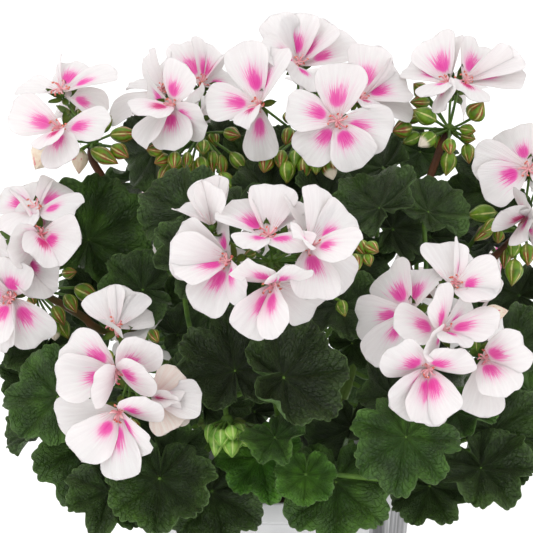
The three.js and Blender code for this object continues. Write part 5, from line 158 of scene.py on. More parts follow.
# Flower heads: [name, centre of the umbel, stalk radius, stalk path,
# flowers [centre, axis, opening, petals [direction, upper side, [length, width, arch, hollow, blotch]]],
# buds [foot, tip, radius, kind]].
HEADS = [
  ['flower_head_top_left', [-91.6,4.7,281.8], 2, [[-91.6,4.7,281.8],[-92.9,6.7,275.1],[-86.9,10.7,262.6],[-86.2,11.9,259.8],[-67.4,4,204.3],[-73.8,7,199.6]],
    [[[-105.1,-13.1,290.9],[-0.28,-0.953,0.112],1,[[[-0.879,-0.291,0.378],[0.264,-0.957,-0.124],[27.5,20,0.03,0.05,2]],
      [[0.857,-0.513,0.045],[-0.408,-0.623,0.667],[27.5,20,0.06,0.09,2]],
      [[0.085,-0.772,-0.63],[-0.48,-0.586,0.653],[27.5,20,0.08,0.06,2]],
      [[-0.187,-0.936,-0.299],[-0.348,-0.222,0.911],[27.5,15.62,0.05,0.08,3]],
      [[-0.657,0.751,-0.066],[-0.422,-0.294,0.858],[27.5,13.66,0.06,0.1,0]]]],
     [[-106.7,5.6,306.6],[-0.108,-0.755,0.647],1,[[[-0.213,0.892,0.398],[-0.897,-0.34,0.283],[27.5,19.84,0.03,0.09,0]],
      [[0.332,0.803,0.495],[-0.024,-0.517,0.856],[27.5,20,0.08,0.05,2]],
      [[0.901,0.284,0.326],[-0.145,-0.511,0.847],[30.26,16.86,0.06,0.08,1]],
      [[0.773,0.428,-0.469],[0.631,-0.6,0.492],[27.5,20,0.05,0.11,1]],
      [[-0.857,0.515,0],[-0.25,-0.416,0.874],[27.5,16.86,0.05,0.11,0]]]],
     [[-104.1,28.1,295.4],[-0.108,0.97,0.216],0.75,[[[-0.377,0.854,0.357],[0.423,-0.184,0.887],[20.63,20,0.08,0.09,0]],
      [[0.318,0.906,0.278],[-0.147,-0.243,0.959],[20.63,20,0.05,0.08,0]],
      [[0.414,0.869,-0.27],[0.778,-0.184,0.601],[20.63,20,0.04,0.08,0]],
      [[-0.087,0.819,-0.568],[-0.795,-0.401,-0.456],[20.63,20,0.06,0.06,0]],
      [[-0.533,0.829,-0.167],[-0.643,-0.269,0.717],[20.63,20,0.03,0.1,0]]]]],
    [[[-83.1,-1.7,286.4],[-68.6,-3.7,287.1],3.28,0],[[-81.8,-6.5,281.4],[-73.2,-11.2,276.4],3.27,0],[[-91.8,-10.7,280.3],[-78.4,-13.7,273.7],3.25,0],[[-110.6,-8,285],[-118.1,-13.6,271.3],5.71,2],[[-97.2,-4.7,280.2],[-97.6,-8.6,268.3],3.27,2],[[-86.7,13.3,291.5],[-82.9,9.3,294.9],1.66,0],[[-98.7,13.8,294.5],[-97.3,9.2,298.9],1.66,0],[[-89.2,18.5,286],[-82.7,13.1,292.6],2.09,0]]],
  ['flower_head_top_left_middle', [-38.7,16.4,285.2], 2, [[-38.7,16.4,285.2],[-37.3,16,281.2],[-33.3,18.8,262.9],[-9.9,11.4,248.9],[-1.5,10.3,248.1]],
    [[[-51.6,-7.4,301.6],[-0.154,-0.976,0.154],1,[[[0.242,-0.557,0.795],[-0.689,-0.675,-0.264],[27.5,20,0.05,0.05,2]],
      [[-0.501,-0.856,-0.126],[0.217,-0.265,0.94],[27.5,20,0.05,0.07,3]],
      [[-0.492,-0.517,-0.701],[-0.516,-0.475,0.713],[27.5,19.6,0.06,0.11,0]],
      [[0.113,-0.664,-0.739],[-0.304,-0.731,0.611],[27.5,20,0.03,0.1,2]],
      [[0.66,-0.673,-0.334],[-0.751,-0.604,-0.266],[27.5,20,0.05,0.07,2]],
      [[-0.437,0.827,0.355],[-0.899,-0.383,-0.213],[27.5,19.6,0.08,0.08,1]]]],
     [[-54.6,15.5,305.4],[-0.647,-0.539,0.539],1,[[[-0.371,0.543,0.753],[-0.848,-0.529,-0.036],[27.5,18.04,0.06,0.09,0]],
      [[-0.071,0.788,0.612],[-0.83,-0.387,0.403],[27.5,18.04,0.06,0.06,1]],
      [[-0.805,0.586,0.088],[-0.183,-0.387,0.904],[27.5,10.02,0.08,0.1,0]],
      [[-0.902,0.091,-0.423],[-0.405,-0.521,0.751],[33,19.04,0.05,0.09,0]]]],
     [[-38.2,20.1,309.1],[0.117,-0.702,0.702],1,[[[-0.437,0.48,0.761],[0.221,-0.763,0.608],[27.5,20,0.05,0.09,2]],
      [[0.096,0.603,0.792],[0.654,-0.638,0.406],[27.5,20,0.06,0.1,2]],
      [[0.704,0.71,-0.01],[0.441,-0.426,0.79],[27.5,20,0.05,0.06,1]],
      [[0.294,0.812,0.504],[-0.491,-0.325,0.808],[27.5,20,0.05,0.09,3]],
      [[-0.024,-0.956,-0.292],[-0.733,-0.182,0.656],[27.5,14.08,0.06,0.1,0]]]],
     [[-41.6,41.6,291.2],[0,0.979,0.206],0.8,[[[-0.501,0.786,0.363],[0.102,-0.363,0.926],[22,20,0.05,0.11,0]],
      [[0.213,0.806,0.552],[-0.469,-0.411,0.782],[22,20,0.07,0.06,0]],
      [[0.592,0.803,0.076],[0.374,-0.357,0.856],[22,20,0.06,0.07,0]],
      [[0.256,0.767,-0.589],[0.914,-0.391,-0.111],[22,20,0.05,0.1,0]],
      [[-0.364,0.789,-0.495],[-0.913,-0.408,0.021],[22,20,0.07,0.06,0]]]]],
    [[[-56.4,-12.8,280],[-63.4,-18.7,281.1],2.84,0],[[-53.1,-11.4,276.5],[-59.6,-17.6,274.2],2.85,0],[[-49.9,-15,279.3],[-50.1,-22.1,271.7],2.84,0],[[-36.4,-10.1,284.7],[-36.2,-15.9,278.4],2.85,0],[[-52.9,-5.8,272.9],[-58.6,-9.7,263],2.46,0],[[-37.9,-9.3,276.7],[-36.3,-15,267.5],2.85,0],[[-31.6,-4.8,279.3],[-31.6,-8.2,268.7],2.46,0],[[-27.7,-3.2,277.1],[-27.2,-6.9,265.6],2.46,0],[[-26.3,0.5,287.7],[-18.3,-5.6,286.2],2.88,0],[[-23.3,-3,278.1],[-15.4,-6.4,269],2.87,0],[[-28.5,-12.5,269.2],[-20.2,-16,260.2],2.85,0],[[-43.8,-9,278.7],[-44.6,-16.4,270.6],2.45,0],[[-42.1,-1.6,274],[-41.9,-9,265.8],2.47,0],[[-47.2,-0.1,270.8],[-52.9,-5.7,268.4],2.06,0],[[-32.6,12.5,286.6],[-30.4,6.4,280.1],2.49,0]]],
  ['flower_head_top_middle', [11.5,12.2,284.6], 2, [[11.5,12.2,284.6],[10.9,12.7,279.4],[12.5,13.7,246.5],[4.5,10.9,247.5]],
    [[[-8.9,-11.4,301.9],[-0.102,-0.99,0.102],1,[[[-0.251,0.236,0.939],[-0.131,-0.969,0.208],[33,20.77,0.04,0.07,2]],
      [[0.345,0.238,0.908],[-0.485,-0.783,0.389],[31.19,20,0.07,0.09,2]],
      [[-0.969,-0.245,0.036],[0.225,-0.808,0.544],[27.5,20,0.06,0.06,2]],
      [[0.156,-0.297,-0.942],[-0.628,-0.766,0.138],[28.21,20,0.05,0.1,2]],
      [[-0.239,-0.92,-0.311],[-0.428,-0.187,0.884],[27.5,13.66,0.07,0.07,3]]]],
     [[10.5,13.7,319.5],[0,-0.848,0.53],1,[[[0.056,0.255,0.965],[-0.316,-0.913,0.26],[27.5,20,0.07,0.09,2]],
      [[-0.482,0.225,0.847],[0.178,-0.921,0.346],[29.02,20,0.06,0.1,0]],
      [[0.595,0.206,0.777],[-0.363,-0.794,0.488],[27.82,20,0.06,0.11,2]],
      [[0.925,0.169,0.341],[-0.078,-0.793,0.605],[33,20,0.05,0.1,1]],
      [[-0.652,-0.686,0.323],[0.73,-0.453,0.512],[27.5,20,0.07,0.06,3]],
      [[0.057,-0.941,-0.335],[0.55,-0.25,0.797],[27.5,20,0.06,0.09,1]]]],
     [[28.9,-20.6,294.9],[0,-0.995,0.102],1,[[[0.054,-0.145,0.988],[-0.014,-0.989,-0.145],[29.54,23.85,0.04,0.08,2]],
      [[-0.902,-0.348,0.256],[0.423,-0.833,0.357],[27.5,20,0.07,0.06,2]],
      [[-0.639,-0.383,-0.667],[0.211,-0.921,0.327],[27.5,20,0.04,0.1,2]],
      [[0.423,-0.493,-0.761],[-0.192,-0.869,0.456],[27.5,21.68,0.07,0.07,2]],
      [[0.948,-0.273,-0.162],[-0.251,-0.957,0.148],[28.64,22.77,0.04,0.07,2]]]],
     [[40.4,-0.9,304.1],[0.316,-0.895,0.316],1,[[[0.211,0.23,0.95],[0.286,-0.944,0.165],[28.61,22.09,0.07,0.07,2]],
      [[0.918,0.336,0.21],[0.113,-0.731,0.673],[27.5,20,0.07,0.09,2]],
      [[0.942,0.103,-0.319],[0.325,-0.51,0.796],[28.61,19.72,0.03,0.09,0]],
      [[0.687,0.458,0.564],[0.691,-0.65,-0.315],[27.5,20,0.07,0.08,0]],
      [[0.184,-0.971,-0.155],[0.199,-0.118,0.973],[27.5,11.83,0.04,0.1,3]]]],
     [[21.3,45.7,304.3],[0.105,0.943,0.314],0.85,[[[-0.384,0.857,0.344],[0.017,-0.366,0.93],[23.38,20,0.05,0.06,0]],
      [[0.288,0.8,0.527],[-0.37,-0.414,0.832],[23.38,20,0.06,0.1,0]],
      [[0.605,0.794,-0.056],[0.598,-0.407,0.69],[23.38,20,0.08,0.05,0]],
      [[0.202,0.778,-0.594],[0.812,-0.473,-0.343],[23.38,20,0.06,0.05,0]],
      [[-0.428,0.802,-0.416],[-0.903,-0.399,0.16],[23.38,20,0.05,0.06,0]]]]],
    [[[-4.5,-11.3,276.9],[-6.5,-18.2,269.8],3.25,0],[[2.3,-12.8,280],[1.3,-20.2,272],2.84,0],[[4.7,-17.6,275.6],[4.7,-21.1,264.8],3.23,0],[[9.7,-10.8,279.8],[8.2,-18.1,271.8],2.85,0],[[13.5,-15.3,277.3],[13.5,-18.8,266.5],3.24,0],[[19.3,-19.1,278.7],[18.7,-25.3,269.6],2.82,0],[[24.9,-10.5,281.8],[26.2,-17.9,273.7],2.44,0],[[24.2,-17.7,274.7],[26.9,-25.3,267.2],3.23,1],[[6.4,4.8,289.3],[4.4,-2.4,281.5],2.89,0],[[4.6,18.1,296.2],[7.5,12.5,290.6],2.5,0],[[22.1,-4.8,279.3],[22.9,-12.2,271.1],2.46,0]]],
  ['flower_head_top_right', [86.1,10.8,288.2], 2, [[86.1,10.8,288.2],[83.1,9.8,282.3],[75.7,2.8,263.5],[63.2,-10,233.7],[62.7,-13.5,228.3],[72.4,2.8,205.8],[76.6,9.7,203]],
    [[[84.8,0.3,311.9],[-0.367,-0.892,0.262],1,[[[-0.348,0.49,0.8],[-0.404,-0.848,0.344],[27.5,23.19,0.06,0.1,2]],
      [[-0.749,0.62,0.232],[-0.193,-0.54,0.819],[27.5,20,0.08,0.07,1]],
      [[0.104,0.667,0.738],[-0.715,-0.465,0.522],[27.5,20,0.05,0.11,0]],
      [[-0.376,-0.904,-0.203],[-0.185,-0.141,0.973],[27.5,17.75,0.08,0.06,1]],
      [[-0.08,-0.937,-0.34],[-0.85,-0.115,0.515],[27.5,17.75,0.07,0.09,3]]]],
     [[91.9,2.4,312.3],[0.362,-0.879,0.31],1,[[[0.378,0.621,0.687],[0.444,-0.773,0.453],[27.5,20,0.05,0.07,2]],
      [[0.836,0.123,0.535],[0.38,-0.832,-0.403],[29.13,20,0.08,0.1,0]],
      [[0.942,0.094,0.321],[-0.207,-0.588,0.782],[33,20,0.06,0.08,0]],
      [[0.996,0.074,0.058],[0.006,-0.666,0.746],[31.54,20,0.05,0.08,1]],
      [[0.033,-0.962,-0.269],[0.386,-0.236,0.892],[27.5,20,0.05,0.07,3]]]],
     [[91.6,35.7,305],[0,0.949,0.316],0.75,[[[-0.326,0.882,0.341],[0.146,-0.309,0.94],[20.63,20,0.08,0.07,0]],
      [[0.219,0.809,0.546],[-0.673,-0.28,0.685],[20.63,20,0.04,0.09,0]],
      [[0.577,0.804,0.145],[0.17,-0.291,0.941],[20.63,20,0.06,0.08,0]],
      [[0.29,0.885,-0.365],[0.946,-0.322,-0.029],[20.63,20,0.07,0.06,0]],
      [[-0.211,0.94,-0.268],[-0.938,-0.118,0.327],[20.63,20,0.04,0.09,0]]]]],
    [[[96,5.5,293.2],[101.9,2.3,301.9],4.13,0],[[79,-0.6,293.2],[67.5,-1.9,298.7],3.69,0],[[67,2.9,289.9],[57.2,-2,288.4],3.71,0],[[78,-7.6,287.4],[69.4,-11.7,281.9],3.26,1],[[84,-12,285.4],[84.1,-18.2,278.6],2.84,0],[[76,19.4,304.1],[68.6,14.4,310.5],3.34,0],[[76.9,16.9,301.3],[67,12.1,301.6],2.92,0],[[90.8,2.8,289],[97.6,-3.7,288.5],2.47,0],[[91.7,6.3,285.6],[98,0,284.2],2.48,0],[[94.5,3.7,281.9],[95,-2,272.5],2.89,0],[[85.5,-2.8,279.1],[83.3,-6.6,267.1],3.28,0],[[71.4,8.4,286],[62.6,3.1,282],2.9,0],[[74.2,19.8,294],[60.9,17.8,293.2],2.93,0],[[81.9,14.2,284.4],[79.5,9,278.9],2.5,0]]],
  ['flower_head_right', [123.3,8.6,236.5], 2, [[123.3,8.6,236.5],[117.8,4.1,233.1],[107.6,-3.3,225.1],[105.5,-4.5,223.6],[93.9,-1.3,212],[86.5,5.7,197.7],[80.1,10.4,200.9]],
    [[[123.2,-14.3,270.4],[-0.206,-0.957,0.206],1,[[[-0.289,0.664,0.69],[-0.367,-0.743,0.56],[27.5,21.91,0.06,0.09,1]],
      [[-0.974,-0.077,0.211],[0.109,-0.983,0.146],[28.96,20,0.05,0.08,1]],
      [[-0.898,-0.299,-0.322],[0.173,-0.914,0.368],[27.5,21.91,0.06,0.07,2]],
      [[0.562,0.651,0.51],[0.02,-0.627,0.779],[27.5,20,0.06,0.06,2]],
      [[0.661,-0.723,-0.202],[-0.416,-0.576,0.704],[27.5,20,0.05,0.06,2]]]],
     [[120.9,-24,248],[-0.316,-0.949,0],1,[[[-0.541,-0.825,0.163],[0.403,-0.424,-0.811],[27.5,20,0.06,0.05,3]],
      [[-0.152,-0.955,-0.255],[-0.801,-0.032,0.597],[27.5,17.5,0.03,0.1,1]],
      [[-0.055,-0.9,0.433],[-0.92,-0.122,-0.372],[27.5,20,0.04,0.1,3]],
      [[0.254,-0.931,0.263],[-0.224,-0.321,-0.92],[27.5,19.44,0.03,0.07,2]],
      [[0.226,-0.957,-0.185],[-0.95,-0.174,-0.26],[27.5,19.44,0.06,0.05,2]]]],
     [[144,3.1,265.5],[0.549,-0.768,0.329],1,[[[-0.045,0.569,0.821],[0.131,-0.811,0.57],[27.5,20,0.04,0.06,2]],
      [[0.788,0.442,0.429],[0.446,-0.889,0.098],[27.5,20,0.07,0.06,2]],
      [[0.692,-0.664,-0.284],[-0.343,-0.649,0.679],[27.5,20,0.03,0.07,2]],
      [[0.063,-0.656,-0.752],[0.243,-0.721,0.649],[27.5,20,0.06,0.07,2]],
      [[-0.66,-0.662,-0.356],[0.708,-0.707,0.002],[27.5,20,0.06,0.09,0]]]],
     [[142.8,11.4,241.2],[0.97,-0.243,0],1,[[[0.644,0.652,0.4],[0.715,-0.699,-0.012],[27.5,20,0.04,0.06,2]],
      [[0.82,0.471,-0.327],[0.572,-0.646,0.505],[27.5,20,0.06,0.06,2]],
      [[0.193,-0.757,-0.624],[0.291,-0.563,0.773],[27.5,20,0.05,0.05,2]],
      [[-0.331,-0.859,-0.39],[0.798,-0.476,0.371],[27.5,20,0.04,0.1,2]],
      [[0.1,0.786,0.609],[0.595,-0.538,0.597],[27.5,20,0.04,0.08,0]]]],
     [[137.7,34.2,270.2],[0.105,0.943,0.314],0.9,[[[-0.241,0.913,0.33],[0.046,-0.329,0.943],[24.75,20,0.05,0.07,0]],
      [[0.325,0.766,0.555],[-0.505,-0.356,0.786],[24.75,20,0.07,0.09,0]],
      [[0.709,0.704,-0.031],[0.478,-0.448,0.755],[24.75,20,0.04,0.09,0]],
      [[0.346,0.733,-0.586],[0.798,-0.559,-0.227],[24.75,20,0.08,0.06,0]],
      [[-0.189,0.861,-0.473],[-0.968,-0.244,-0.056],[24.75,20,0.04,0.07,0]]]]],
    [[[108.5,-9.6,249],[94,-11.6,247.8],3.68,0],[[108.7,-16.2,245.9],[100.5,-21.2,240.7],2.85,0],[[107.2,-8.6,242.9],[97.6,-11.4,235.3],2.87,0],[[110.1,-5.1,239.4],[109.1,-10.7,233.7],2.47,0],[[118.3,-7.8,234.8],[115.6,-15,226.9],2.88,0],[[116.8,-17.1,227.2],[115,-21.8,214.6],3.67,0],[[123.5,-10,233.7],[123.7,-13.9,223.3],3.28,0],[[114.6,1.6,230.4],[113.3,-2.2,219.9],2.49,0],[[132.1,5.2,227.9],[134.8,0.8,217.4],2.92,0],[[141,11.2,227],[145.6,6.5,217.5],2.93,0]]],
  ['flower_head_left', [-119.9,-15.6,211], 2, [[-119.9,-15.6,211],[-109.1,-16.5,205.7],[-94.5,-15.9,196.5],[-92.3,-15.2,193.8],[-78,0.3,184.9],[-72.2,5.6,188.2]],
    [[[-116,-35.4,252.4],[0,-0.848,0.53],1,[[[-0.201,0.891,0.406],[-0.129,-0.435,0.891],[27.5,20.43,0.07,0.11,0]],
      [[0.45,0.808,0.38],[0.331,-0.546,0.77],[27.5,20.43,0.05,0.09,2]],
      [[-0.778,0.614,0.135],[-0.281,-0.531,0.799],[27.5,20,0.05,0.06,2]],
      [[0.791,-0.606,0.079],[-0.395,-0.407,0.824],[27.5,20,0.04,0.09,1]],
      [[-0.347,-0.89,-0.296],[-0.096,-0.281,0.955],[27.5,20,0.07,0.1,0]]]],
     [[-112.2,-52.9,244.2],[0.216,-0.97,0.108],1,[[[0.715,-0.691,-0.106],[-0.629,-0.702,0.334],[27.5,23.26,0.05,0.08,1]],
      [[0.471,0.85,0.234],[0.882,-0.451,-0.137],[27.5,20,0.05,0.11,0]],
      [[-0.439,-0.887,-0.145],[0.896,-0.443,-0.006],[27.5,20,0.04,0.08,2]],
      [[-0.001,-0.94,-0.34],[0.639,-0.262,0.723],[27.5,20,0.08,0.09,3]],
      [[-0.604,0.745,0.284],[-0.222,-0.499,0.838],[27.5,20,0.04,0.07,2]],
      [[-0.271,0.903,0.334],[0.557,-0.136,0.819],[27.5,20,0.06,0.07,3]]]],
     [[-125.7,-55.6,214.5],[-0.102,-0.99,0.102],1,[[[0.127,-0.62,0.775],[-0.254,-0.775,-0.578],[27.5,20,0.07,0.08,2]],
      [[-0.772,-0.53,0.35],[0.386,-0.829,-0.405],[27.5,20,0.07,0.09,2]],
      [[-0.371,-0.653,-0.66],[-0.062,-0.692,0.719],[27.5,20,0.07,0.09,2]],
      [[0.563,-0.292,-0.773],[-0.19,-0.956,0.223],[27.84,21.19,0.08,0.08,2]],
      [[-0.022,-0.506,-0.863],[-0.74,-0.572,0.354],[27.5,18.92,0.07,0.05,1]]]],
     [[-121.5,-41.1,229],[0.566,-0.793,-0.226],1,[[[0.666,-0.735,-0.127],[-0.746,-0.656,-0.117],[27.5,20,0.06,0.05,1]],
      [[0.326,-0.805,-0.496],[0.397,-0.36,0.844],[27.5,20,0.07,0.06,0]],
      [[-0.292,-0.955,0.046],[0.819,-0.274,-0.504],[27.5,20,0.06,0.08,2]]]],
     [[-141.4,-27,241.5],[-0.636,-0.742,0.212],1,[[[-0.194,0.727,0.659],[-0.36,-0.678,0.641],[27.5,20,0.07,0.06,2]],
      [[-0.841,0.452,0.297],[-0.48,-0.877,-0.027],[27.5,20,0.06,0.1,2]],
      [[-0.713,-0.651,-0.259],[0.305,-0.621,0.722],[27.5,20,0.08,0.06,2]],
      [[-0.121,-0.736,-0.667],[-0.238,-0.63,0.739],[27.5,20,0.04,0.08,2]],
      [[0.55,-0.775,-0.31],[-0.835,-0.498,-0.235],[27.5,19.4,0.05,0.07,0]]]],
     [[-152.1,-11.4,212.3],[-0.937,-0.331,0.11],1,[[[-0.456,0.699,0.551],[-0.704,-0.662,0.257],[27.5,20,0.06,0.08,2]],
      [[-0.788,0.608,-0.102],[-0.478,-0.498,0.723],[27.5,20,0.06,0.08,2]],
      [[-0.243,-0.828,-0.504],[-0.21,-0.463,0.861],[27.5,20,0.04,0.07,2]],
      [[0.302,-0.712,-0.634],[-0.701,-0.617,0.358],[27.5,20,0.07,0.06,2]],
      [[0.147,0.835,0.53],[-0.385,-0.445,0.808],[27.5,20,0.07,0.06,0]]]],
     [[-133.3,16.2,233.4],[0,0.949,0.316],0.9,[[[-0.476,0.84,0.26],[0.087,-0.249,0.965],[24.75,20,0.06,0.07,0]],
      [[0.151,0.872,0.466],[-0.335,-0.399,0.854],[24.75,20,0.05,0.05,0]],
      [[0.52,0.846,-0.121],[0.631,-0.285,0.722],[24.75,20,0.04,0.06,0]],
      [[0.146,0.741,-0.655],[0.908,-0.363,-0.209],[24.75,20,0.08,0.07,0]],
      [[-0.397,0.75,-0.529],[-0.862,-0.502,-0.065],[24.75,20,0.04,0.1,0]]]]],
    [[[-99.1,-27.2,214.5],[-87.2,-30,209],3.64,0],[[-103,-31.7,211.8],[-97.3,-36.7,203.8],2.82,0],[[-108.4,-36.5,207.2],[-102.9,-39.9,198.1],2.81,0],[[-106.6,-31.6,199.9],[-101.6,-35.1,190.7],2.82,0],[[-107.7,-40,197.6],[-106.7,-46.2,191.9],2.4,1],[[-105.7,-18.4,219.5],[-98.4,-22.7,221.2],2.45,0],[[-120,-32,209.9],[-117.5,-37.7,207.9],2.01,0],[[-130.5,-28.6,193.4],[-127,-34.1,184.6],2.84,0],[[-116.8,-19.3,200.7],[-114.5,-23.3,190.4],2.86,0],[[-127.6,-12.1,195.3],[-126.3,-16.6,184.1],2.88,0]]],
  ['flower_head_front_middle', [-2.8,-90.5,236.7], 2, [[-2.8,-90.5,236.7],[-4.8,-86.3,231.4],[-7.2,-63.2,176.9],[-1.8,-57.8,180.7]],
    [[[-21,-114.1,241.3],[-0.465,-0.879,0.103],1,[[[-0.962,-0.223,0.161],[0.225,-0.974,-0.003],[28.17,20.79,0.07,0.1,0]],
      [[-0.9,-0.398,-0.18],[0.093,-0.577,0.812],[27.5,20,0.05,0.06,2]],
      [[-0.469,-0.363,-0.805],[-0.18,-0.853,0.49],[27.85,20,0.07,0.09,2]],
      [[0.249,-0.864,-0.438],[-0.929,-0.341,0.144],[27.5,15.91,0.08,0.06,2]],
      [[-0.159,0.745,0.648],[-0.874,-0.411,0.259],[27.5,17.68,0.04,0.06,1]],
      [[-0.828,0.233,0.51],[-0.398,-0.885,-0.243],[28,20,0.05,0.08,0]]]],
     [[-4.6,-118.5,252.2],[0,-0.951,0.31],1,[[[0.098,0.594,0.799],[0.033,-0.804,0.594],[27.5,20.65,0.04,0.09,0]],
      [[-0.098,0.868,0.487],[0.678,-0.3,0.671],[27.5,20,0.05,0.1,1]],
      [[-0.713,0.555,0.428],[0.041,-0.577,0.816],[27.5,20,0.05,0.08,2]],
      [[-0.451,-0.891,-0.045],[0.165,-0.133,0.977],[27.5,15.8,0.05,0.05,2]],
      [[0.475,0.829,0.294],[-0.211,-0.218,0.953],[27.5,19.32,0.05,0.07,1]],
      [[0.56,-0.82,-0.119],[-0.122,-0.223,0.967],[27.5,20,0.05,0.06,2]]]],
     [[13.4,-121,249],[0.259,-0.953,0.155],1,[[[0.083,0.306,0.948],[0.742,-0.655,0.147],[27.78,20,0.07,0.1,0]],
      [[-0.248,0.665,0.705],[0.657,-0.419,0.626],[27.5,20,0.04,0.08,0]],
      [[0.674,0.582,0.454],[0.492,-0.813,0.311],[27.5,20.6,0.05,0.09,1]],
      [[0.735,-0.678,-0.026],[-0.415,-0.48,0.773],[27.5,20,0.04,0.1,1]],
      [[0.665,0.177,-0.725],[0.502,-0.826,0.258],[27.5,20,0.07,0.05,0]],
      [[0.085,-0.561,-0.823],[0.246,-0.789,0.563],[27.5,21.58,0.07,0.06,2]],
      [[-0.252,-0.943,0.217],[0.774,-0.062,0.63],[27.5,14.02,0.05,0.08,1]]]],
     [[-2.4,-127.6,233.2],[0,-0.988,-0.156],1,[[[-0.389,-0.797,0.462],[-0.078,-0.471,-0.879],[27.5,20,0.04,0.09,2]],
      [[0.29,-0.858,0.424],[0.167,-0.391,-0.905],[27.5,20,0.05,0.1,2]],
      [[-0.552,-0.355,-0.755],[0.503,-0.863,0.037],[27.51,20,0.05,0.09,2]],
      [[0.123,-0.718,-0.685],[-0.805,-0.475,0.354],[27.5,20,0.07,0.09,2]],
      [[0.727,0.451,-0.517],[0.285,-0.884,-0.37],[27.5,21.49,0.08,0.06,0]]]],
     [[-29.7,-99.9,254.5],[-0.105,-0.527,0.843],0.8,[[[-0.083,0.303,0.95],[-0.509,-0.832,0.221],[22.91,20,0.05,0.05,0]],
      [[-0.154,-0.092,0.984],[0.697,-0.716,0.042],[22.22,20,0.06,0.1,0]],
      [[-0.678,0.659,0.327],[0.154,-0.307,0.939],[22,16.13,0.04,0.11,0]],
      [[0.053,-0.336,0.94],[-0.755,-0.63,-0.182],[22,20,0.05,0.05,0]]]],
     [[3.7,-80.5,249.1],[0.108,0.647,0.755],0.8,[[[-0.332,0.907,0.259],[0.173,-0.211,0.962],[22,20,0.05,0.09,0]],
      [[0.262,0.861,0.436],[-0.459,-0.286,0.841],[22,20,0.04,0.1,0]],
      [[0.56,0.82,-0.115],[0.552,-0.266,0.79],[22,20,0.04,0.08,0]],
      [[0.094,0.805,-0.586],[0.835,-0.384,-0.394],[22,20,0.08,0.1,0]],
      [[-0.417,0.809,-0.414],[-0.898,-0.295,0.328],[22,20,0.08,0.08,0]]]]],
    [[[36.5,-85,246],[39.8,-92.3,239.7],2.65,0],[[40,-89.3,244.8],[45.1,-95,242],2.64,0],[[34.3,-93.9,240.9],[35.9,-100.7,234.7],2.63,0],[[39.9,-92,240.6],[41.5,-95.9,235.7],2.26,0],[[31.1,-83.5,243],[33.6,-88.4,246.5],1.9,0],[[28.3,-89.3,219],[30.3,-96.3,212.8],2.27,0],[[-10,-101.7,243],[-15.3,-105.2,241.7],1.86,0]]],
  ['flower_head_front_right', [74.4,-84.7,209.8], 2, [[74.4,-84.7,209.8],[72.8,-82.8,203.1],[54.4,-48.8,176.5],[54.1,-40.7,179.1]],
    [[[59.8,-102,215.7],[-0.358,-0.921,0.153],1,[[[-0.373,0.708,0.6],[-0.572,-0.685,0.452],[27.5,22.18,0.07,0.08,2]],
      [[0.361,0.715,0.599],[-0.383,-0.472,0.794],[27.5,20,0.05,0.08,2]],
      [[-0.899,0.388,-0.205],[-0.419,-0.897,0.14],[27.5,20.16,0.07,0.1,1]],
      [[-0.565,-0.329,-0.756],[-0.374,-0.715,0.591],[30.06,20,0.06,0.09,1]]]],
     [[72.1,-117.1,209.9],[0.102,-0.973,0.205],1,[[[-0.766,-0.606,0.213],[0.579,-0.509,0.636],[27.5,20,0.05,0.08,2]],
      [[-0.316,-0.948,-0.025],[0.926,-0.303,-0.224],[27.5,15.95,0.06,0.1,1]],
      [[0.598,0.704,0.384],[0.769,-0.639,-0.026],[27.5,20,0.03,0.08,1]],
      [[0.901,-0.415,0.128],[-0.336,-0.479,0.811],[27.5,20,0.06,0.05,2]],
      [[-0.204,-0.601,0.773],[0.842,-0.51,-0.174],[27.5,20,0.06,0.07,2]],
      [[0.183,-0.976,-0.115],[0.257,-0.066,0.964],[27.5,15.95,0.06,0.08,1]]]],
     [[79.4,-98.3,226],[0.303,-0.505,0.808],1,[[[-0.162,0.701,0.694],[0.122,-0.684,0.719],[27.5,21.22,0.05,0.05,0]],
      [[0.27,0.818,0.508],[0.741,-0.513,0.433],[27.5,20,0.07,0.06,1]],
      [[0.726,-0.618,0.3],[-0.686,-0.682,0.255],[27.5,20,0.06,0.1,1]],
      [[0.599,-0.8,-0.027],[-0.329,-0.276,0.903],[27.5,20,0.06,0.05,0]]]],
     [[66,-123.5,195],[0,-0.999,-0.051],1,[[[-0.713,-0.598,0.366],[0.334,-0.749,-0.572],[27.5,20,0.07,0.06,2]],
      [[0.497,-0.753,0.43],[-0.274,-0.607,-0.746],[27.5,20,0.07,0.05,2]],
      [[-0.602,-0.499,-0.623],[0.574,-0.813,0.096],[27.5,20,0.08,0.09,1]],
      [[-0.156,-0.505,-0.849],[0.425,-0.81,0.403],[27.5,20,0.04,0.09,2]],
      [[0.297,-0.565,-0.769],[-0.514,-0.774,0.37],[27.5,20,0.05,0.06,2]]]],
     [[90.9,-113.1,196.9],[0.362,-0.932,0],1,[[[0.652,-0.681,0.334],[-0.586,-0.732,-0.349],[27.5,20,0.07,0.08,2]],
      [[0.466,0.831,0.303],[0.838,-0.524,0.15],[27.5,20,0.04,0.05,0]],
      [[0.331,-0.833,-0.443],[-0.054,-0.485,0.873],[27.5,20,0.08,0.05,2]],
      [[-0.061,-0.413,-0.909],[0.349,-0.862,0.368],[27.71,20,0.08,0.08,0]],
      [[-0.211,0.351,-0.912],[0.61,-0.682,-0.404],[27.5,20,0.08,0.08,0]]]],
     [[80.9,-65.2,205.2],[0.212,0.742,0.636],0.85,[[[-0.248,0.925,0.287],[0.153,-0.255,0.955],[23.38,20,0.08,0.06,0]],
      [[0.358,0.852,0.383],[-0.358,-0.253,0.899],[23.38,20,0.04,0.09,0]],
      [[0.643,0.744,-0.18],[0.609,-0.354,0.709],[23.38,20,0.03,0.08,0]],
      [[0.197,0.712,-0.674],[0.757,-0.547,-0.357],[23.38,20,0.07,0.05,0]],
      [[-0.331,0.786,-0.521],[-0.943,-0.298,0.149],[23.38,20,0.06,0.08,0]]]]],
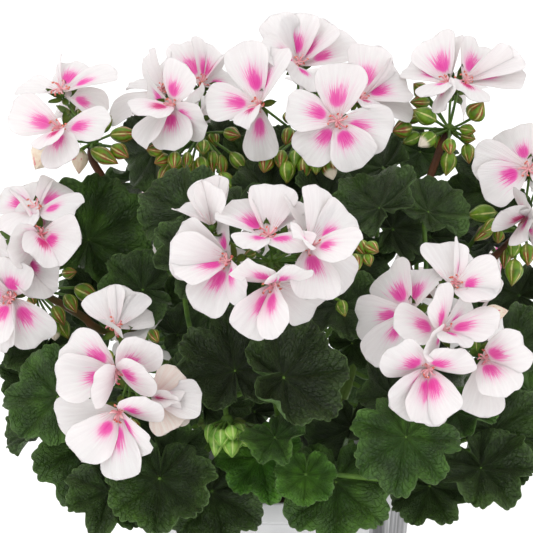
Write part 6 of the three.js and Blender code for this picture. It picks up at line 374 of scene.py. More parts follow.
    [[[91.7,-94.4,212.5],[103.5,-98.2,215.5],3.39,2],[[86.8,-98.7,210.5],[82.8,-103,207.7],1.88,0],[[88.5,-91.9,202.7],[89.7,-99.6,195],2.65,0],[[55.4,-99.2,182],[56.7,-107.3,175.4],2.26,0]]],
  ['flower_head_front_left', [-67.2,-86.6,184.9], 2, [[-67.2,-86.6,184.9],[-66.9,-85.7,181.7],[-47.9,-52.7,174.7],[-49.5,-44.7,177.2]],
    [[[-73.2,-101.8,208],[-0.051,-0.889,0.455],1,[[[-0.378,0.496,0.782],[-0.149,-0.866,0.477],[21,19.5,0.05,0.1,0]],
      [[0.318,0.5,0.806],[0.126,-0.865,0.487],[21.5,19,0.07,0.06,0]],
      [[0.01,-0.927,0.376],[-0.601,-0.306,-0.739],[17,13,0.07,0.09,0]],
      [[0.712,0.55,0.437],[0.384,-0.825,0.413],[19.5,16.5,0.06,0.06,0]]]],
     [[-71.7,-117.9,192],[-0.051,-0.993,0.102],1,[[[-0.826,-0.217,0.52],[0.216,-0.974,-0.062],[27.5,20.89,0.04,0.07,2]],
      [[-0.939,-0.327,-0.102],[0.311,-0.939,0.15],[28.79,20.89,0.06,0.07,1]],
      [[0.617,-0.544,0.568],[-0.167,-0.796,-0.581],[27.5,20,0.05,0.06,2]],
      [[0.641,-0.757,0.129],[-0.607,-0.602,-0.518],[27.5,20,0.07,0.11,2]],
      [[-0.39,-0.909,-0.144],[0.906,-0.352,-0.234],[27.5,20,0.06,0.05,0]]]],
     [[-70.5,-118.6,174.4],[0,-0.995,-0.104],1,[[[0.595,-0.745,0.303],[-0.278,-0.544,-0.792],[27.5,20,0.08,0.07,2]],
      [[0.522,-0.7,-0.488],[-0.832,-0.545,-0.107],[27.5,15.13,0.07,0.07,2]],
      [[0.117,-0.437,-0.892],[-0.487,-0.808,0.332],[32.24,20,0.07,0.05,2]],
      [[-0.637,-0.432,-0.638],[0.364,-0.899,0.245],[29.31,20,0.08,0.08,1]],
      [[-0.994,0.077,-0.08],[-0.056,-0.97,-0.236],[29.4,20,0.06,0.05,0]]]],
     [[-57.1,-116.2,179.7],[0.909,-0.404,0.101],0.6,[[[0.984,-0.175,-0.016],[-0.151,-0.886,0.439],[23.98,17.28,0.04,0.09,-1]],
      [[0.768,-0.034,0.64],[0.083,-0.985,-0.152],[18.25,16.4,0.06,0.07,-1]],
      [[0.555,-0.36,-0.75],[0.188,-0.824,0.535],[19.17,16.4,0.08,0.08,-1]],
      [[0.907,0.143,-0.395],[0.317,-0.851,0.419],[20.92,16.4,0.06,0.1,-1]],
      [[0.934,0.286,0.216],[0.324,-0.931,-0.167],[17.52,16.4,0.05,0.06,-1]],
      [[0.787,-0.579,0.213],[-0.281,-0.643,-0.712],[16,16.4,0.06,0.09,3]],
      [[0.837,-0.542,-0.071],[-0.119,-0.306,0.944],[16,16.4,0.04,0.06,3]]]],
     [[-67.5,-99.3,155.9],[0.333,-0.667,-0.667],1,[[[0.493,0.636,-0.593],[-0.161,-0.604,-0.781],[27.5,14.59,0.05,0.08,0]],
      [[-0.362,0.739,-0.568],[0.35,-0.457,-0.818],[27.5,18.24,0.04,0.08,0]],
      [[0.12,0.615,-0.78],[0.937,-0.329,-0.115],[27.5,16.42,0.07,0.11,0]]]],
     [[-65.7,-65.6,190],[0,0.759,0.651],0.85,[[[-0.424,0.884,0.198],[0.125,-0.159,0.979],[23.38,20,0.04,0.09,0]],
      [[0.151,0.922,0.358],[-0.455,-0.257,0.853],[23.38,20,0.08,0.07,0]],
      [[0.478,0.868,-0.134],[0.543,-0.172,0.822],[23.38,20,0.04,0.05,0]],
      [[0.109,0.778,-0.619],[0.91,-0.328,-0.253],[23.38,20,0.06,0.1,0]],
      [[-0.461,0.718,-0.522],[-0.887,-0.394,0.241],[23.38,20,0.07,0.11,0]]]]],
    [[[-78.1,-108.6,199.6],[-73.2,-114.5,195.3],1.86,0],[[-68.2,-113.5,168.6],[-61.6,-120.1,162.9],2.97,0],[[-76.6,-110.3,163.2],[-77.1,-115.9,160],1.87,0],[[-58.5,-89.5,205.1],[-54.6,-95.2,200.6],2.28,0]]],
  ['flower_head_young', [-23.3,-96,164], 1.3, [[-23.3,-96,164],[-23.8,-92.9,170.8],[-20.1,-93.4,175],[-4.5,-82.1,174.5],[0.6,-55,156.6],[2,-47.7,160.8]],
    [],
    [[[-27.2,-104.2,163.6],[-28.5,-110.5,151.2],3.01,3],[[-21.2,-110.7,160.6],[-20.7,-118.5,152.9],2.99,3],[[-18.2,-102.5,161.3],[-13.6,-110.5,155.9],3.01,3],[[-25.2,-112.2,163.7],[-25.6,-119.3,158.1],2.98,3],[[-21.6,-113.9,166],[-20.2,-120.1,161],2.6,3],[[-30.1,-100.1,163.6],[-31.7,-108.3,157.2],2.27,3],[[-19.2,-94.3,162.2],[-15.5,-101.1,157.3],2.66,3],[[-23.9,-90.8,158.5],[-23.8,-98.9,152],2.67,3],[[-17.2,-107,158.7],[-18.1,-111.4,155.2],1.88,3]]],
  ['flower_head_back_left', [-62,90,208], 2, [[-62,90,208],[-61.8,89.5,208],[-53.2,78.9,200.3],[-44.9,68,192.2],[-48.7,60.5,197.4]],
    [[[-82.2,112.5,221.4],[-0.61,0.681,0.406],1,[[[0.226,-0.197,0.954],[-0.687,0.662,0.3],[26.47,18.5,0.05,0.08,2]],
      [[0.578,0.644,0.501],[-0.809,0.372,0.456],[25.51,18.83,0.05,0.04,2]],
      [[0.09,0.721,-0.687],[-0.524,0.62,0.583],[28.48,19.81,0.06,0.05,2]],
      [[-0.734,0.118,-0.669],[-0.341,0.788,0.513],[25.93,18.57,0.04,0.1,2]],
      [[-0.681,-0.693,0.238],[-0.517,0.684,0.514],[27.94,18.47,0.06,0.04,2]]]],
     [[-48.8,113.9,222.9],[0.425,0.768,0.48],1,[[[0.768,-0.462,0.443],[0.248,0.853,0.459],[25.91,19.28,0.03,0.06,2]],
      [[0.886,-0.114,-0.45],[0.371,0.756,0.539],[27.38,20.42,0.04,0.09,2]],
      [[0.044,0.768,-0.639],[0.251,0.611,0.751],[27.55,18.11,0.08,0.06,2]],
      [[-0.811,0.531,0.245],[0.56,0.584,0.588],[25.32,19.63,0.06,0.09,2]],
      [[-0.423,0.007,0.906],[0.621,0.73,0.285],[26.76,20.06,0.07,0.08,2]]]],
     [[-85.8,102.4,189],[-0.724,0.376,-0.578],1,[[[0.576,0.677,-0.458],[-0.771,0.263,-0.58],[25.05,19.46,0.07,0.07,2]],
      [[0.373,-0.344,-0.862],[-0.789,0.371,-0.49],[27.84,17.1,0.06,0.09,2]],
      [[-0.454,-0.88,-0.14],[-0.564,0.405,-0.72],[27.7,17.93,0.07,0.09,2]],
      [[-0.773,-0.151,0.616],[-0.634,0.179,-0.752],[25.17,19.97,0.03,0.07,2]],
      [[-0.123,0.91,0.397],[-0.775,0.161,-0.61],[26.91,17.69,0.07,0.08,2]]]],
     [[-72.6,93.8,236.1],[-0.349,0.125,0.929],1,[[[-0.855,0.408,-0.321],[-0.309,0.097,0.946],[28.46,19.29,0.03,0.05,2]],
      [[-0.713,-0.697,-0.075],[-0.423,0.343,0.839],[28.44,19.95,0.06,0.07,2]],
      [[0.374,-0.764,0.525],[-0.333,0.418,0.845],[27.25,17.94,0.06,0.04,2]],
      [[0.901,0.193,0.389],[-0.43,0.277,0.859],[27.48,19.98,0.03,0.09,2]],
      [[0.03,0.996,0.088],[-0.322,-0.074,0.944],[26.18,19.46,0.03,0.06,2]]]],
     [[-53,120.9,200],[0.271,0.932,-0.24],1,[[[-0.651,0.1,-0.753],[0.479,0.824,-0.304],[25.99,18.67,0.06,0.08,2]],
      [[-0.658,0.508,0.555],[0.389,0.861,-0.327],[26.53,20.31,0.03,0.05,2]],
      [[0.385,0.272,0.882],[0.261,0.884,-0.387],[27.33,20.33,0.05,0.09,2]],
      [[0.989,-0.145,0.016],[0.145,0.963,-0.226],[26.59,19.34,0.04,0.05,2]],
      [[0.43,-0.206,-0.879],[0.27,0.958,-0.093],[25.5,17.91,0.05,0.08,2]]]]],
    [[[-59.7,95.5,200.9],[-57.5,100.6,194.2],3.11,1],[[-67.2,91.5,198.9],[-71.9,92.8,190.5],3.09,0],[[-56.6,98,200.5],[-53.4,102.7,196],2.7,0],[[-72.9,85.1,205.3],[-79.9,81.9,203.6],3.25,0],[[-59.6,95.6,200.7],[-57.8,99.9,195.1],3.2,0]]],
  ['flower_head_back_middle', [18,104,211], 2, [[18,104,211],[19,104.3,213.7],[37.7,66.9,192.9],[45.4,63.2,198.1]],
    [[[20,131.9,226.4],[0.062,0.874,0.483],1,[[[-0.078,-0.292,0.953],[0.066,0.953,0.297],[26.31,18.64,0.06,0.04,2]],
      [[0.927,-0.198,0.318],[-0.047,0.782,0.622],[27.85,19.41,0.03,0.08,2]],
      [[0.565,0.527,-0.635],[0.108,0.716,0.69],[27.18,19.61,0.08,0.05,2]],
      [[-0.5,0.598,-0.627],[0.056,0.745,0.665],[26.73,19.94,0.07,0.08,2]],
      [[-0.914,0.021,0.405],[0.269,0.778,0.567],[26.75,19.09,0.03,0.09,2]]]],
     [[42.2,124.1,204.5],[0.754,0.625,-0.202],1,[[[0.746,-0.536,0.395],[0.609,0.79,-0.078],[28.12,17.53,0.04,0.04,2]],
      [[0.534,-0.606,-0.589],[0.738,0.674,-0.023],[27.67,20.01,0.04,0.1,2]],
      [[-0.159,0.22,-0.963],[0.783,0.622,0.013],[25.64,19.14,0.06,0.05,2]],
      [[-0.361,0.932,0.021],[0.888,0.35,-0.298],[25,18.78,0.04,0.1,2]],
      [[0.091,0.449,0.889],[0.724,0.583,-0.368],[27.19,18.33,0.02,0.08,2]]]],
     [[-3.7,123.9,213.4],[-0.734,0.674,0.083],1,[[[0.56,0.75,-0.353],[-0.809,0.586,-0.038],[25.4,18.06,0.06,0.06,2]],
      [[-0.337,-0.002,-0.941],[-0.695,0.675,0.248],[27.26,18.03,0.07,0.09,2]],
      [[-0.769,-0.638,-0.043],[-0.63,0.743,0.226],[26.07,18.83,0.04,0.07,2]],
      [[-0.496,-0.225,0.839],[-0.726,0.638,-0.258],[28.29,17.07,0.05,0.08,2]],
      [[0.229,0.531,0.816],[-0.845,0.525,-0.104],[27.11,17.93,0.05,0.09,2]]]],
     [[35,106.9,235.7],[0.565,0.097,0.819],1,[[[0.845,-0.068,-0.53],[0.534,0.125,0.836],[25.02,19.13,0.06,0.07,2]],
      [[0.342,0.938,-0.059],[0.591,-0.166,0.79],[27.23,20.09,0.05,0.09,2]],
      [[-0.631,0.61,0.48],[0.515,-0.134,0.847],[27.25,19.23,0.07,0.05,2]],
      [[-0.444,-0.656,0.61],[0.497,0.386,0.777],[26.99,18.26,0.06,0.08,2]],
      [[0.47,-0.879,-0.078],[0.562,0.23,0.794],[28.47,20.45,0.08,0.06,2]]]],
     [[23,127.8,189.2],[0.153,0.728,-0.668],1,[[[-0.724,-0.272,-0.634],[0.228,0.773,-0.592],[25.97,19.34,0.08,0.09,2]],
      [[-0.72,0.625,0.302],[0.374,0.716,-0.589],[27.54,17.03,0.04,0.09,2]],
      [[0.385,0.749,0.54],[0.092,0.551,-0.83],[26.25,18.05,0.05,0.05,2]],
      [[0.99,0.046,-0.132],[-0.129,0.661,-0.739],[25.73,17.92,0.02,0.05,2]],
      [[0.35,-0.622,-0.7],[0.312,0.783,-0.539],[26.2,17.12,0.05,0.09,2]]]]],
    [[[16.5,107.8,202.9],[15.3,111.1,195.8],3.11,1],[[20.9,101.7,219.3],[23.3,99.8,226.2],3.23,0],[[10.7,102.7,220.4],[5.3,101.7,227.4],2.68,0],[[17.5,107.7,202.7],[17.1,110.8,196.1],2.79,0],[[28.4,104.9,207.8],[37.4,105.6,205.1],2.91,0]]],
  ['flower_head_back_right', [90,78,201], 2, [[90,78,201],[89.4,77.5,202],[59.1,61.2,192],[50.8,61.8,197.4]],
    [[[111.4,96.4,214.1],[0.688,0.59,0.422],1,[[[-0.116,-0.069,0.991],[0.736,0.664,0.132],[26.01,18.96,0.08,0.1,2]],
      [[0.505,-0.78,0.369],[0.622,0.625,0.471],[27.36,17.82,0.06,0.1,2]],
      [[0.744,0.043,-0.666],[0.557,0.509,0.656],[26.37,18.1,0.05,0.08,2]],
      [[-0.02,0.815,-0.579],[0.752,0.394,0.528],[28.28,17.12,0.02,0.07,2]],
      [[-0.682,0.606,0.411],[0.732,0.559,0.39],[26.27,17.71,0.03,0.1,2]]]],
     [[108.2,87.9,180.7],[0.627,0.342,-0.7],1,[[[0.885,-0.428,0.186],[0.396,0.48,-0.783],[26.63,18.33,0.06,0.06,2]],
      [[-0.018,-0.851,-0.524],[0.574,0.421,-0.703],[26.78,17.75,0.04,0.06,2]],
      [[-0.523,0.129,-0.842],[0.852,0.103,-0.514],[26.6,19.59,0.06,0.09,2]],
      [[-0.358,0.933,0.038],[0.541,0.24,-0.806],[28.44,18.44,0.03,0.05,2]],
      [[0.549,0.719,0.426],[0.468,0.158,-0.869],[27.61,18.51,0.04,0.08,2]]]],
     [[82.7,101,220.2],[-0.236,0.747,0.622],1,[[[0.683,0.698,-0.216],[-0.523,0.674,0.522],[28.16,19.71,0.02,0.09,2]],
      [[-0.405,0.577,-0.709],[-0.375,0.602,0.705],[26.05,17.53,0.05,0.05,2]],
      [[-0.982,-0.01,-0.187],[-0.15,0.639,0.755],[25.96,17,0.07,0.06,2]],
      [[-0.197,-0.59,0.783],[0.002,0.798,0.602],[25.47,17.09,0.05,0.05,2]],
      [[0.693,-0.113,0.712],[-0.498,0.64,0.586],[28.23,18.08,0.03,0.05,2]]]],
     [[117.6,70.4,209.3],[0.926,-0.255,0.278],1,[[[0.418,-0.211,-0.884],[0.883,-0.132,0.45],[28.04,17.16,0.04,0.07,2]],
      [[0.481,0.727,-0.491],[0.836,-0.21,0.507],[26.27,18.06,0.04,0.09,2]],
      [[0.177,0.751,0.636],[0.95,-0.3,0.089],[25.58,18.75,0.07,0.04,2]],
      [[-0.169,-0.446,0.879],[0.938,-0.348,0.004],[28.38,18.59,0.05,0.04,2]],
      [[-0.09,-0.99,-0.105],[0.949,-0.117,0.292],[28.14,17.63,0.08,0.06,2]]]],
     [[95.6,106,188.5],[0.179,0.898,-0.401],1,[[[-0.66,-0.006,-0.751],[0.275,0.928,-0.25],[25.82,17.05,0.07,0.09,2]],
      [[-0.788,0.572,0.227],[0.327,0.702,-0.633],[27.41,18.74,0.03,0.08,2]],
      [[0.19,0.522,0.831],[0.01,0.846,-0.534],[27.16,18.67,0.06,0.08,2]],
      [[0.998,0.036,0.048],[-0.01,0.884,-0.468],[28.45,17.15,0.02,0.05,2]],
      [[0.203,-0.288,-0.936],[0.109,0.956,-0.271],[26.86,17.17,0.05,0.07,2]]]]],
    [[[98.7,72.1,198.2],[105.9,67.2,195.9],2.81,1],[[97.9,72.9,197.8],[103.8,69,195.4],2.77,0],[[85.1,81.1,211.3],[81.2,83.5,219.5],2.78,0],[[96.9,75.5,194],[103.3,73.1,187.4],3.29,0],[[94.7,79,190.9],[98.7,79.9,182.4],3.07,0]]],
]


def rng(seed):
    return np.random.default_rng(int(seed))


# ------------------------------------------------------------------ vectors
def unit(a):
    a = np.asarray(a, float)
    n = np.linalg.norm(a)
    return a / (n if n > 1e-12 else 1.0)


def perp(a, t):
    a = np.asarray(a, float)
    return unit(a - np.dot(a, t) * np.asarray(t, float))


# ------------------------------------------------------------------ mesh store
class Store:
    """Collects closed shells for one piece: points, faces, a material index a face, two attributes a point."""

    def __init__(self):
        self.v, self.f, self.m, self.a, self.b = [], [], [], [], []
        self.n = 0

    def add(self, pts, faces, mat, a=None, b=None):
        pts = np.asarray(pts, float).reshape(-1, 3)
        k = len(pts)
        self.v.append(pts)
        self.f.extend([tuple(int(i) + self.n for i in q) for q in faces])
        self.m.extend([mat] * len(faces))
        self.a.append(np.zeros((k, 3)) if a is None else np.asarray(a, float).reshape(-1, 3))
        self.b.append(np.zeros((k, 3)) if b is None else np.asarray(b, float).reshape(-1, 3))
        self.n += k

    def make(self, name, mats):
        me = bpy.data.meshes.new(name)
        v = np.concatenate(self.v) * MM
        me.from_pydata(v.tolist(), [], self.f)
        for x in mats:
            me.materials.append(x)
        me.polygons.foreach_set("material_index", np.array(self.m, dtype=np.int32))
        me.polygons.foreach_set("use_smooth", np.ones(len(self.f), dtype=bool))
        for key, src in (("pa", self.a), ("pb", self.b)):
            at = me.attributes.new(key, "FLOAT_VECTOR", "POINT")
            at.data.foreach_set("vector", np.concatenate(src).astype(np.float32).ravel())
        me.update()
        me.validate()
        ob = bpy.data.objects.new(name, me)
        bpy.context.scene.collection.objects.link(ob)
        return ob


def grid_faces(nu, nv, off=0, wrap=False, flip=False):
    out = []
    cols = nv if wrap else nv - 1
    for i in range(nu - 1):
        for j in range(cols):
            a = off + i * nv + j
            b = off + i * nv + (j + 1) % nv
            c = off + (i + 1) * nv + (j + 1) % nv
            d = off + (i + 1) * nv + j
            out.append((a, d, c, b) if flip else (a, b, c, d))
    return out


# ------------------------------------------------------------------ leaf blade
LOBE = 48 * DEG  # seven lobes, with the notch at the stalk
OUTLINE = [(0, 1), (0.21, 0.985), (0.42, 0.95), (0.6, 0.87), (0.76, 0.76), (0.88, 0.66), (0.95, 0.55), (0.985, 0.3), (1, 0.08)]
_T = np.linspace(0, 1, 801)


def _outline_table():
    out = []
    for t in _T:
        for i in range(1, len(OUTLINE)):
            if t <= OUTLINE[i][0] + 1e-9:
                (a, u), (b, v) = OUTLINE[i - 1], OUTLINE[i]
                s = (t - a) / (b - a)
                out.append(u + (v - u) * s * s * (3 - 2 * s))
                break
    return np.array(out)


_O = _outline_table()


def leaf_local(s, th, rho, seed=0):
    """a point of the blade: th from the midrib, rho from the stalk to the margin"""
    R, cup, fold, pleat, ruf, rph, droop, curl, cph, bend, lob = s
    t = np.abs(th) / math.pi
    w = th / LOBE
    lobe = 0.5 - 0.5 * np.cos(2 * math.pi * w)
    edge = np.minimum(1, (1 - t) * 8)
    g = rng(seed)
    ph = g.uniform(0, 6.28, 12)
    wob = 0.5 * np.sin(2.0 * th + ph[0]) + 0.35 * np.sin(5.0 * th + ph[1])
    # rounded teeth, five a lobe, with sharp notches between them
    sc = np.abs(np.cos(math.pi * (5.0 * w + 0.40 * wob)))
    cren = -0.042 * (1 - sc ** 0.8) * (1 + 0.40 * np.sin(5 * th + ph[2])) + 0.008
    lobv = lob * (1.20 + 0.40 * np.sin(1.7 * th + ph[3])) * lobe ** 3.2
    size = 1 + 0.03 * np.sin(th * 3 + ph[4]) + 0.015 * np.sin(th * 7 + ph[6])
    r = R * np.interp(t, _T, _O) * (1 - lobv * edge * rho ** 2 + cren * edge * rho ** 6) * rho * size
    x, y = r * np.cos(th), r * np.sin(th)
    p2 = rho * rho
    z = (R * cup * p2 + R * fold * np.abs(np.sin(th)) * rho + R * pleat * rho ** 1.3 * lobe * edge
         + R * ruf * rho * p2 * np.sin(3 * th + rph)
         + R * 0.6 * ruf * p2 * np.sin(2 * th + 2 * rph)
         + R * curl * rho ** 5 * np.maximum(0, np.cos(th - cph)) ** 3
         + R * bend * (y / R) * np.abs(y / R))
    # uneven waves of the lobes, ripples of the margin, puckers between the veins, sunken main veins
    z = z + R * rho ** 2.4 * edge * (0.042 * np.sin(4.3 * th + ph[7]) + 0.034 * np.sin(6.6 * th + ph[8]) + 0.020 * np.sin(10.5 * th + ph[5]))
    z = z + R * rho ** 6 * edge * (-0.030 + 0.040 * np.sin(13.0 * th + ph[9]) * np.sin(2.0 * th + ph[10]))
    arc = np.abs(((w + 0.5) % 1) - 0.5) * LOBE * rho * R
    z = z - R * 0.042 * np.exp(-(arc / (1.0 + 1.4 * rho)) ** 2) * np.minimum(1, rho * 3) * (1 - 0.75 * rho) * edge
    z = z + R * 0.016 * np.sin(rho * 17 - np.abs(((w + 0.5) % 1) - 0.5) * 9 + ph[11]) * np.minimum(1, arc / 2.5) * rho * (1 - rho ** 4)
    k = droop / R
    if abs(k) > 1e-6:
        a = k * x
        z = z * np.cos(a) - (1 - np.cos(a)) / k
        x = np.sin(a) / k
    return np.stack([x, y, z], -1)


def leaf_mesh(st, L, mat, nt, nr, tone_and_painted_light, seed, thick=0.5):
    P, M, N, s = (np.array(q, float) for q in L[:4])
    th = np.linspace(-math.pi, math.pi, nt, endpoint=False)
    rho = np.linspace(0, 1, nr + 1)[1:] ** 0.85
    TH, RH = np.meshgrid(th, rho)
    q = leaf_local(s, TH.ravel(), RH.ravel(), seed).reshape(nr, nt, 3)
    M, N = unit(M), perp(N, unit(M))
    S = np.cross(N, M)
    world = P + q[..., :1] * M + q[..., 1:2] * S + q[..., 2:3] * N
    dt = np.roll(world, -1, 1) - np.roll(world, 1, 1)
    dr = np.gradient(world, axis=0)
    n = np.cross(dr, dt)
    n /= np.maximum(1e-9, np.linalg.norm(n, axis=-1, keepdims=True))
    half = (thick / 2) * np.ones(nr)
    half[-1] *= 0.5
    top = world + n * half[:, None, None]
    bot = world - n * half[:, None, None]
    lx = (RH * np.cos(TH)).reshape(nr, nt)
    ly = (RH * np.sin(TH)).reshape(nr, nt)
    pts = np.concatenate([[P + N * thick / 2], top.reshape(-1, 3), [P - N * thick / 2], bot.reshape(-1, 3)])
    a_top = np.stack([lx.ravel(), ly.ravel(), np.ones(nr * nt)], -1)
    a_bot = np.stack([lx.ravel(), ly.ravel(), np.zeros(nr * nt)], -1)
    att = np.concatenate([[[0, 0, 1]], a_top, [[0, 0, 0]], a_bot])
    g = rng(seed + 7)
    b = np.tile([tone_and_painted_light, g.uniform(0, 1), g.uniform(0, 1)], (len(pts), 1))
    faces = []
    o0, o1 = 1, 2 + nr * nt
    e = (nr - 1) * nt
    for j in range(nt):
        k = (j + 1) % nt
        faces.append((0, o0 + j, o0 + k))
        faces.append((o1 - 1, o1 + k, o1 + j))
        faces.append((o0 + e + j, o1 + e + j, o1 + e + k, o0 + e + k))
    faces += grid_faces(nr, nt, o0, wrap=True, flip=True)
    faces += grid_faces(nr, nt, o1, wrap=True, flip=False)
    st.add(pts, faces, mat, att, b)


# ------------------------------------------------------------------ stalks
def spline(pts, n):
    """a centripetal curve through the points"""
    pts = [np.array(p, float) for p in pts]
    if len(pts) == 2:
        t = np.linspace(0, 1, n + 1)[:, None]
        return pts[0] * (1 - t) + pts[1] * t
    l = len(pts)
    out = []
    for i in range(n + 1):
        p = (l - 1) * i / n
        ip = int(math.floor(p))
        w = p - ip
        if w == 0 and ip == l - 1:
            ip, w = l - 2, 1.0
        p0 = pts[ip - 1] if ip > 0 else pts[0] * 2 - pts[1]
        p1, p2 = pts[ip], pts[ip + 1]
        p3 = pts[ip + 2] if ip + 2 < l else pts[l - 1] * 2 - pts[l - 2]
        d0 = max(np.sum((p0 - p1) ** 2) ** 0.25, 1e-4)
        d1 = max(np.sum((p1 - p2) ** 2) ** 0.25, 1e-4)
        d2 = max(np.sum((p2 - p3) ** 2) ** 0.25, 1e-4)
        t1 = ((p1 - p0) / d0 - (p2 - p0) / (d0 + d1) + (p2 - p1) / d1) * d1
        t2 = ((p2 - p1) / d1 - (p3 - p1) / (d1 + d2) + (p3 - p2) / d2) * d1
        c2 = -3 * p1 + 3 * p2 - 2 * t1 - t2
        c3 = 2 * p1 - 2 * p2 + t1 + t2
        out.append(p1 + t1 * w + c2 * w * w + c3 * w ** 3)
    return np.array(out)


def tube_mesh(st, path, rad, mat, sides=10, att=None, cap=0.6):
    """a closed stalk along the path, with radii rad and rounded ends"""
    path = np.asarray(path, float)
    n = len(path)
    rad = np.asarray(rad, float) * np.ones(n)
    tan = np.gradient(path, axis=0)
    tan /= np.maximum(1e-9, np.linalg.norm(tan, axis=1, keepdims=True))
    e = perp([0.31, 0.17, 1.0], tan[0]) if abs(tan[0][2]) < 0.9 else perp([1, 0.2, 0], tan[0])
    rings, aa = [], []
    run = np.concatenate([[0], np.cumsum(np.linalg.norm(np.diff(path, axis=0), axis=1))])
    th = np.arange(sides) * 2 * math.pi / sides
    for i in range(n):
        e = perp(e, tan[i])
        b = np.cross(tan[i], e)
        rings.append(path[i] + rad[i] * (np.cos(th)[:, None] * e + np.sin(th)[:, None] * b))
        aa.append(np.stack([np.full(sides, run[i]), th, np.full(sides, run[i] / max(run[-1], 1e-6))], -1))
    pts = [path[0] - tan[0] * rad[0] * cap] + list(np.concatenate(rings)) + [path[-1] + tan[-1] * rad[-1] * cap]
    a = np.concatenate([[aa[0][0]], np.concatenate(aa), [aa[-1][0]]])
    faces = []
    for j in range(sides):
        k = (j + 1) % sides
        faces.append((0, 1 + k, 1 + j))
        faces.append((len(pts) - 1, 1 + (n - 1) * sides + j, 1 + (n - 1) * sides + k))
    faces += grid_faces(n, sides, 1, wrap=True, flip=False)
    b = None if att is None else np.tile(np.asarray(att, float), (len(pts), 1))
    st.add(pts, faces, mat, a, b)


# ------------------------------------------------------------------ petals
P0 = 1.2


def petal_width(u):
    e = u ** 0.68 * np.sqrt(np.maximum(0, 1 - u ** 4.8)) / 0.7127
    return np.maximum(e, 0.09 * (1 - u))


def petal_mesh(st, C, T, N, dims, mat, seed, nu, nv, thick=0.3, lift=0.0):
    g = rng(seed)
    L, W, arch, crs, kind = dims
    L, W = L * 0.99, W * 1.08
    C, T = np.array(C, float), unit(T)
    N = perp(N, T)
    S = np.cross(N, T)
    u = (1 - (1 - np.linspace(0, 1, nu)) ** 1.35)
    v = np.sin(np.linspace(-1, 1, nv) * math.pi / 2 * 0.98) / math.sin(math.pi / 2 * 0.98)
    U, V = np.meshgrid(u, v, indexing="ij")
    ph = g.uniform(0, 6.28, 8)
    wid = petal_width(np.minimum(U, 0.9999))
    X = V * wid
    notch = g.choice([0.0, 0.015, 0.03, 0.07], p=[0.35, 0.3, 0.25, 0.1]) * np.exp(-(X / 0.25) ** 2)
    lop = g.uniform(-0.05, 0.05) * X
    Ue = U * (1 - (notch + lop + 0.014 * np.sin(6 * X + ph[0])) * U ** 4)
    wid = wid * (1 + 0.035 * np.sin(5 * U * math.pi + ph[1] + np.sign(V)) * U)
    w = 0.5 * W * wid * V
    side = g.uniform(-0.05, 0.05)
    z = L * arch * 4 * U * (1 - U) + W * crs * V * V * np.minimum(1, wid)
    z = z + L * 0.024 * np.sin(3.2 * X + ph[2]) * U ** 2 + L * 0.024 * U ** 3 * np.sin(5.5 * X + ph[3])
    z = z + L * 0.012 * U ** 4 * np.sin(11 * X + ph[4])
    z = z - L * g.uniform(0.0, 0.09) * U ** 4 * np.abs(X) ** 1.5
    z = z - L * 0.014 * np.exp(-(X / 0.12) ** 2) * np.minimum(1, U * 2.5)
    z = z - L * g.uniform(-0.02, 0.10) * np.maximum(0, U - 0.62) ** 2 * 4
    z = z + lift * (0.25 + U)
    pts = C + (P0 + (L - P0) * Ue)[..., None] * T + (w + side * L * U ** 2)[..., None] * S + z[..., None] * N
    du = np.gradient(pts, axis=0)
    dv = np.gradient(pts, axis=1)
    n = np.cross(du, dv)
    n /= np.maximum(1e-9, np.linalg.norm(n, axis=-1, keepdims=True))
    n[0], n[-1] = n[1], n[-2]
    half = thick / 2 * np.ones((nu, nv))
    half[:, 0] *= 0.35
    half[:, -1] *= 0.35
    half[-1] *= 0.35
    top = pts + n * half[..., None]
    bot = pts - n * half[..., None]
    allp = np.concatenate([top.reshape(-1, 3), bot.reshape(-1, 3)])
    m = nu * nv
    a = np.concatenate([np.stack([U.ravel(), X.ravel(), np.ones(m)], -1), np.stack([U.ravel(), X.ravel(), np.zeros(m)], -1)])
    b = np.tile([kind, g.uniform(0, 1), g.uniform(0, 1)], (2 * m, 1))
    faces = grid_faces(nu, nv, 0, flip=True) + grid_faces(nu, nv, m, flip=False)
    for i in range(nu - 1):
        faces.append((i * nv, (i + 1) * nv, m + (i + 1) * nv, m + i * nv))
        faces.append(((i + 1) * nv + nv - 1, i * nv + nv - 1, m + i * nv + nv - 1, m + (i + 1) * nv + nv - 1))
    for j in range(nv - 1):
        faces.append((j + 1, j, m + j, m + j + 1))
        e = (nu - 1) * nv
        faces.append((e + j, e + j + 1, m + e + j + 1, m + e + j))
    st.add(allp, faces, mat, a, b)


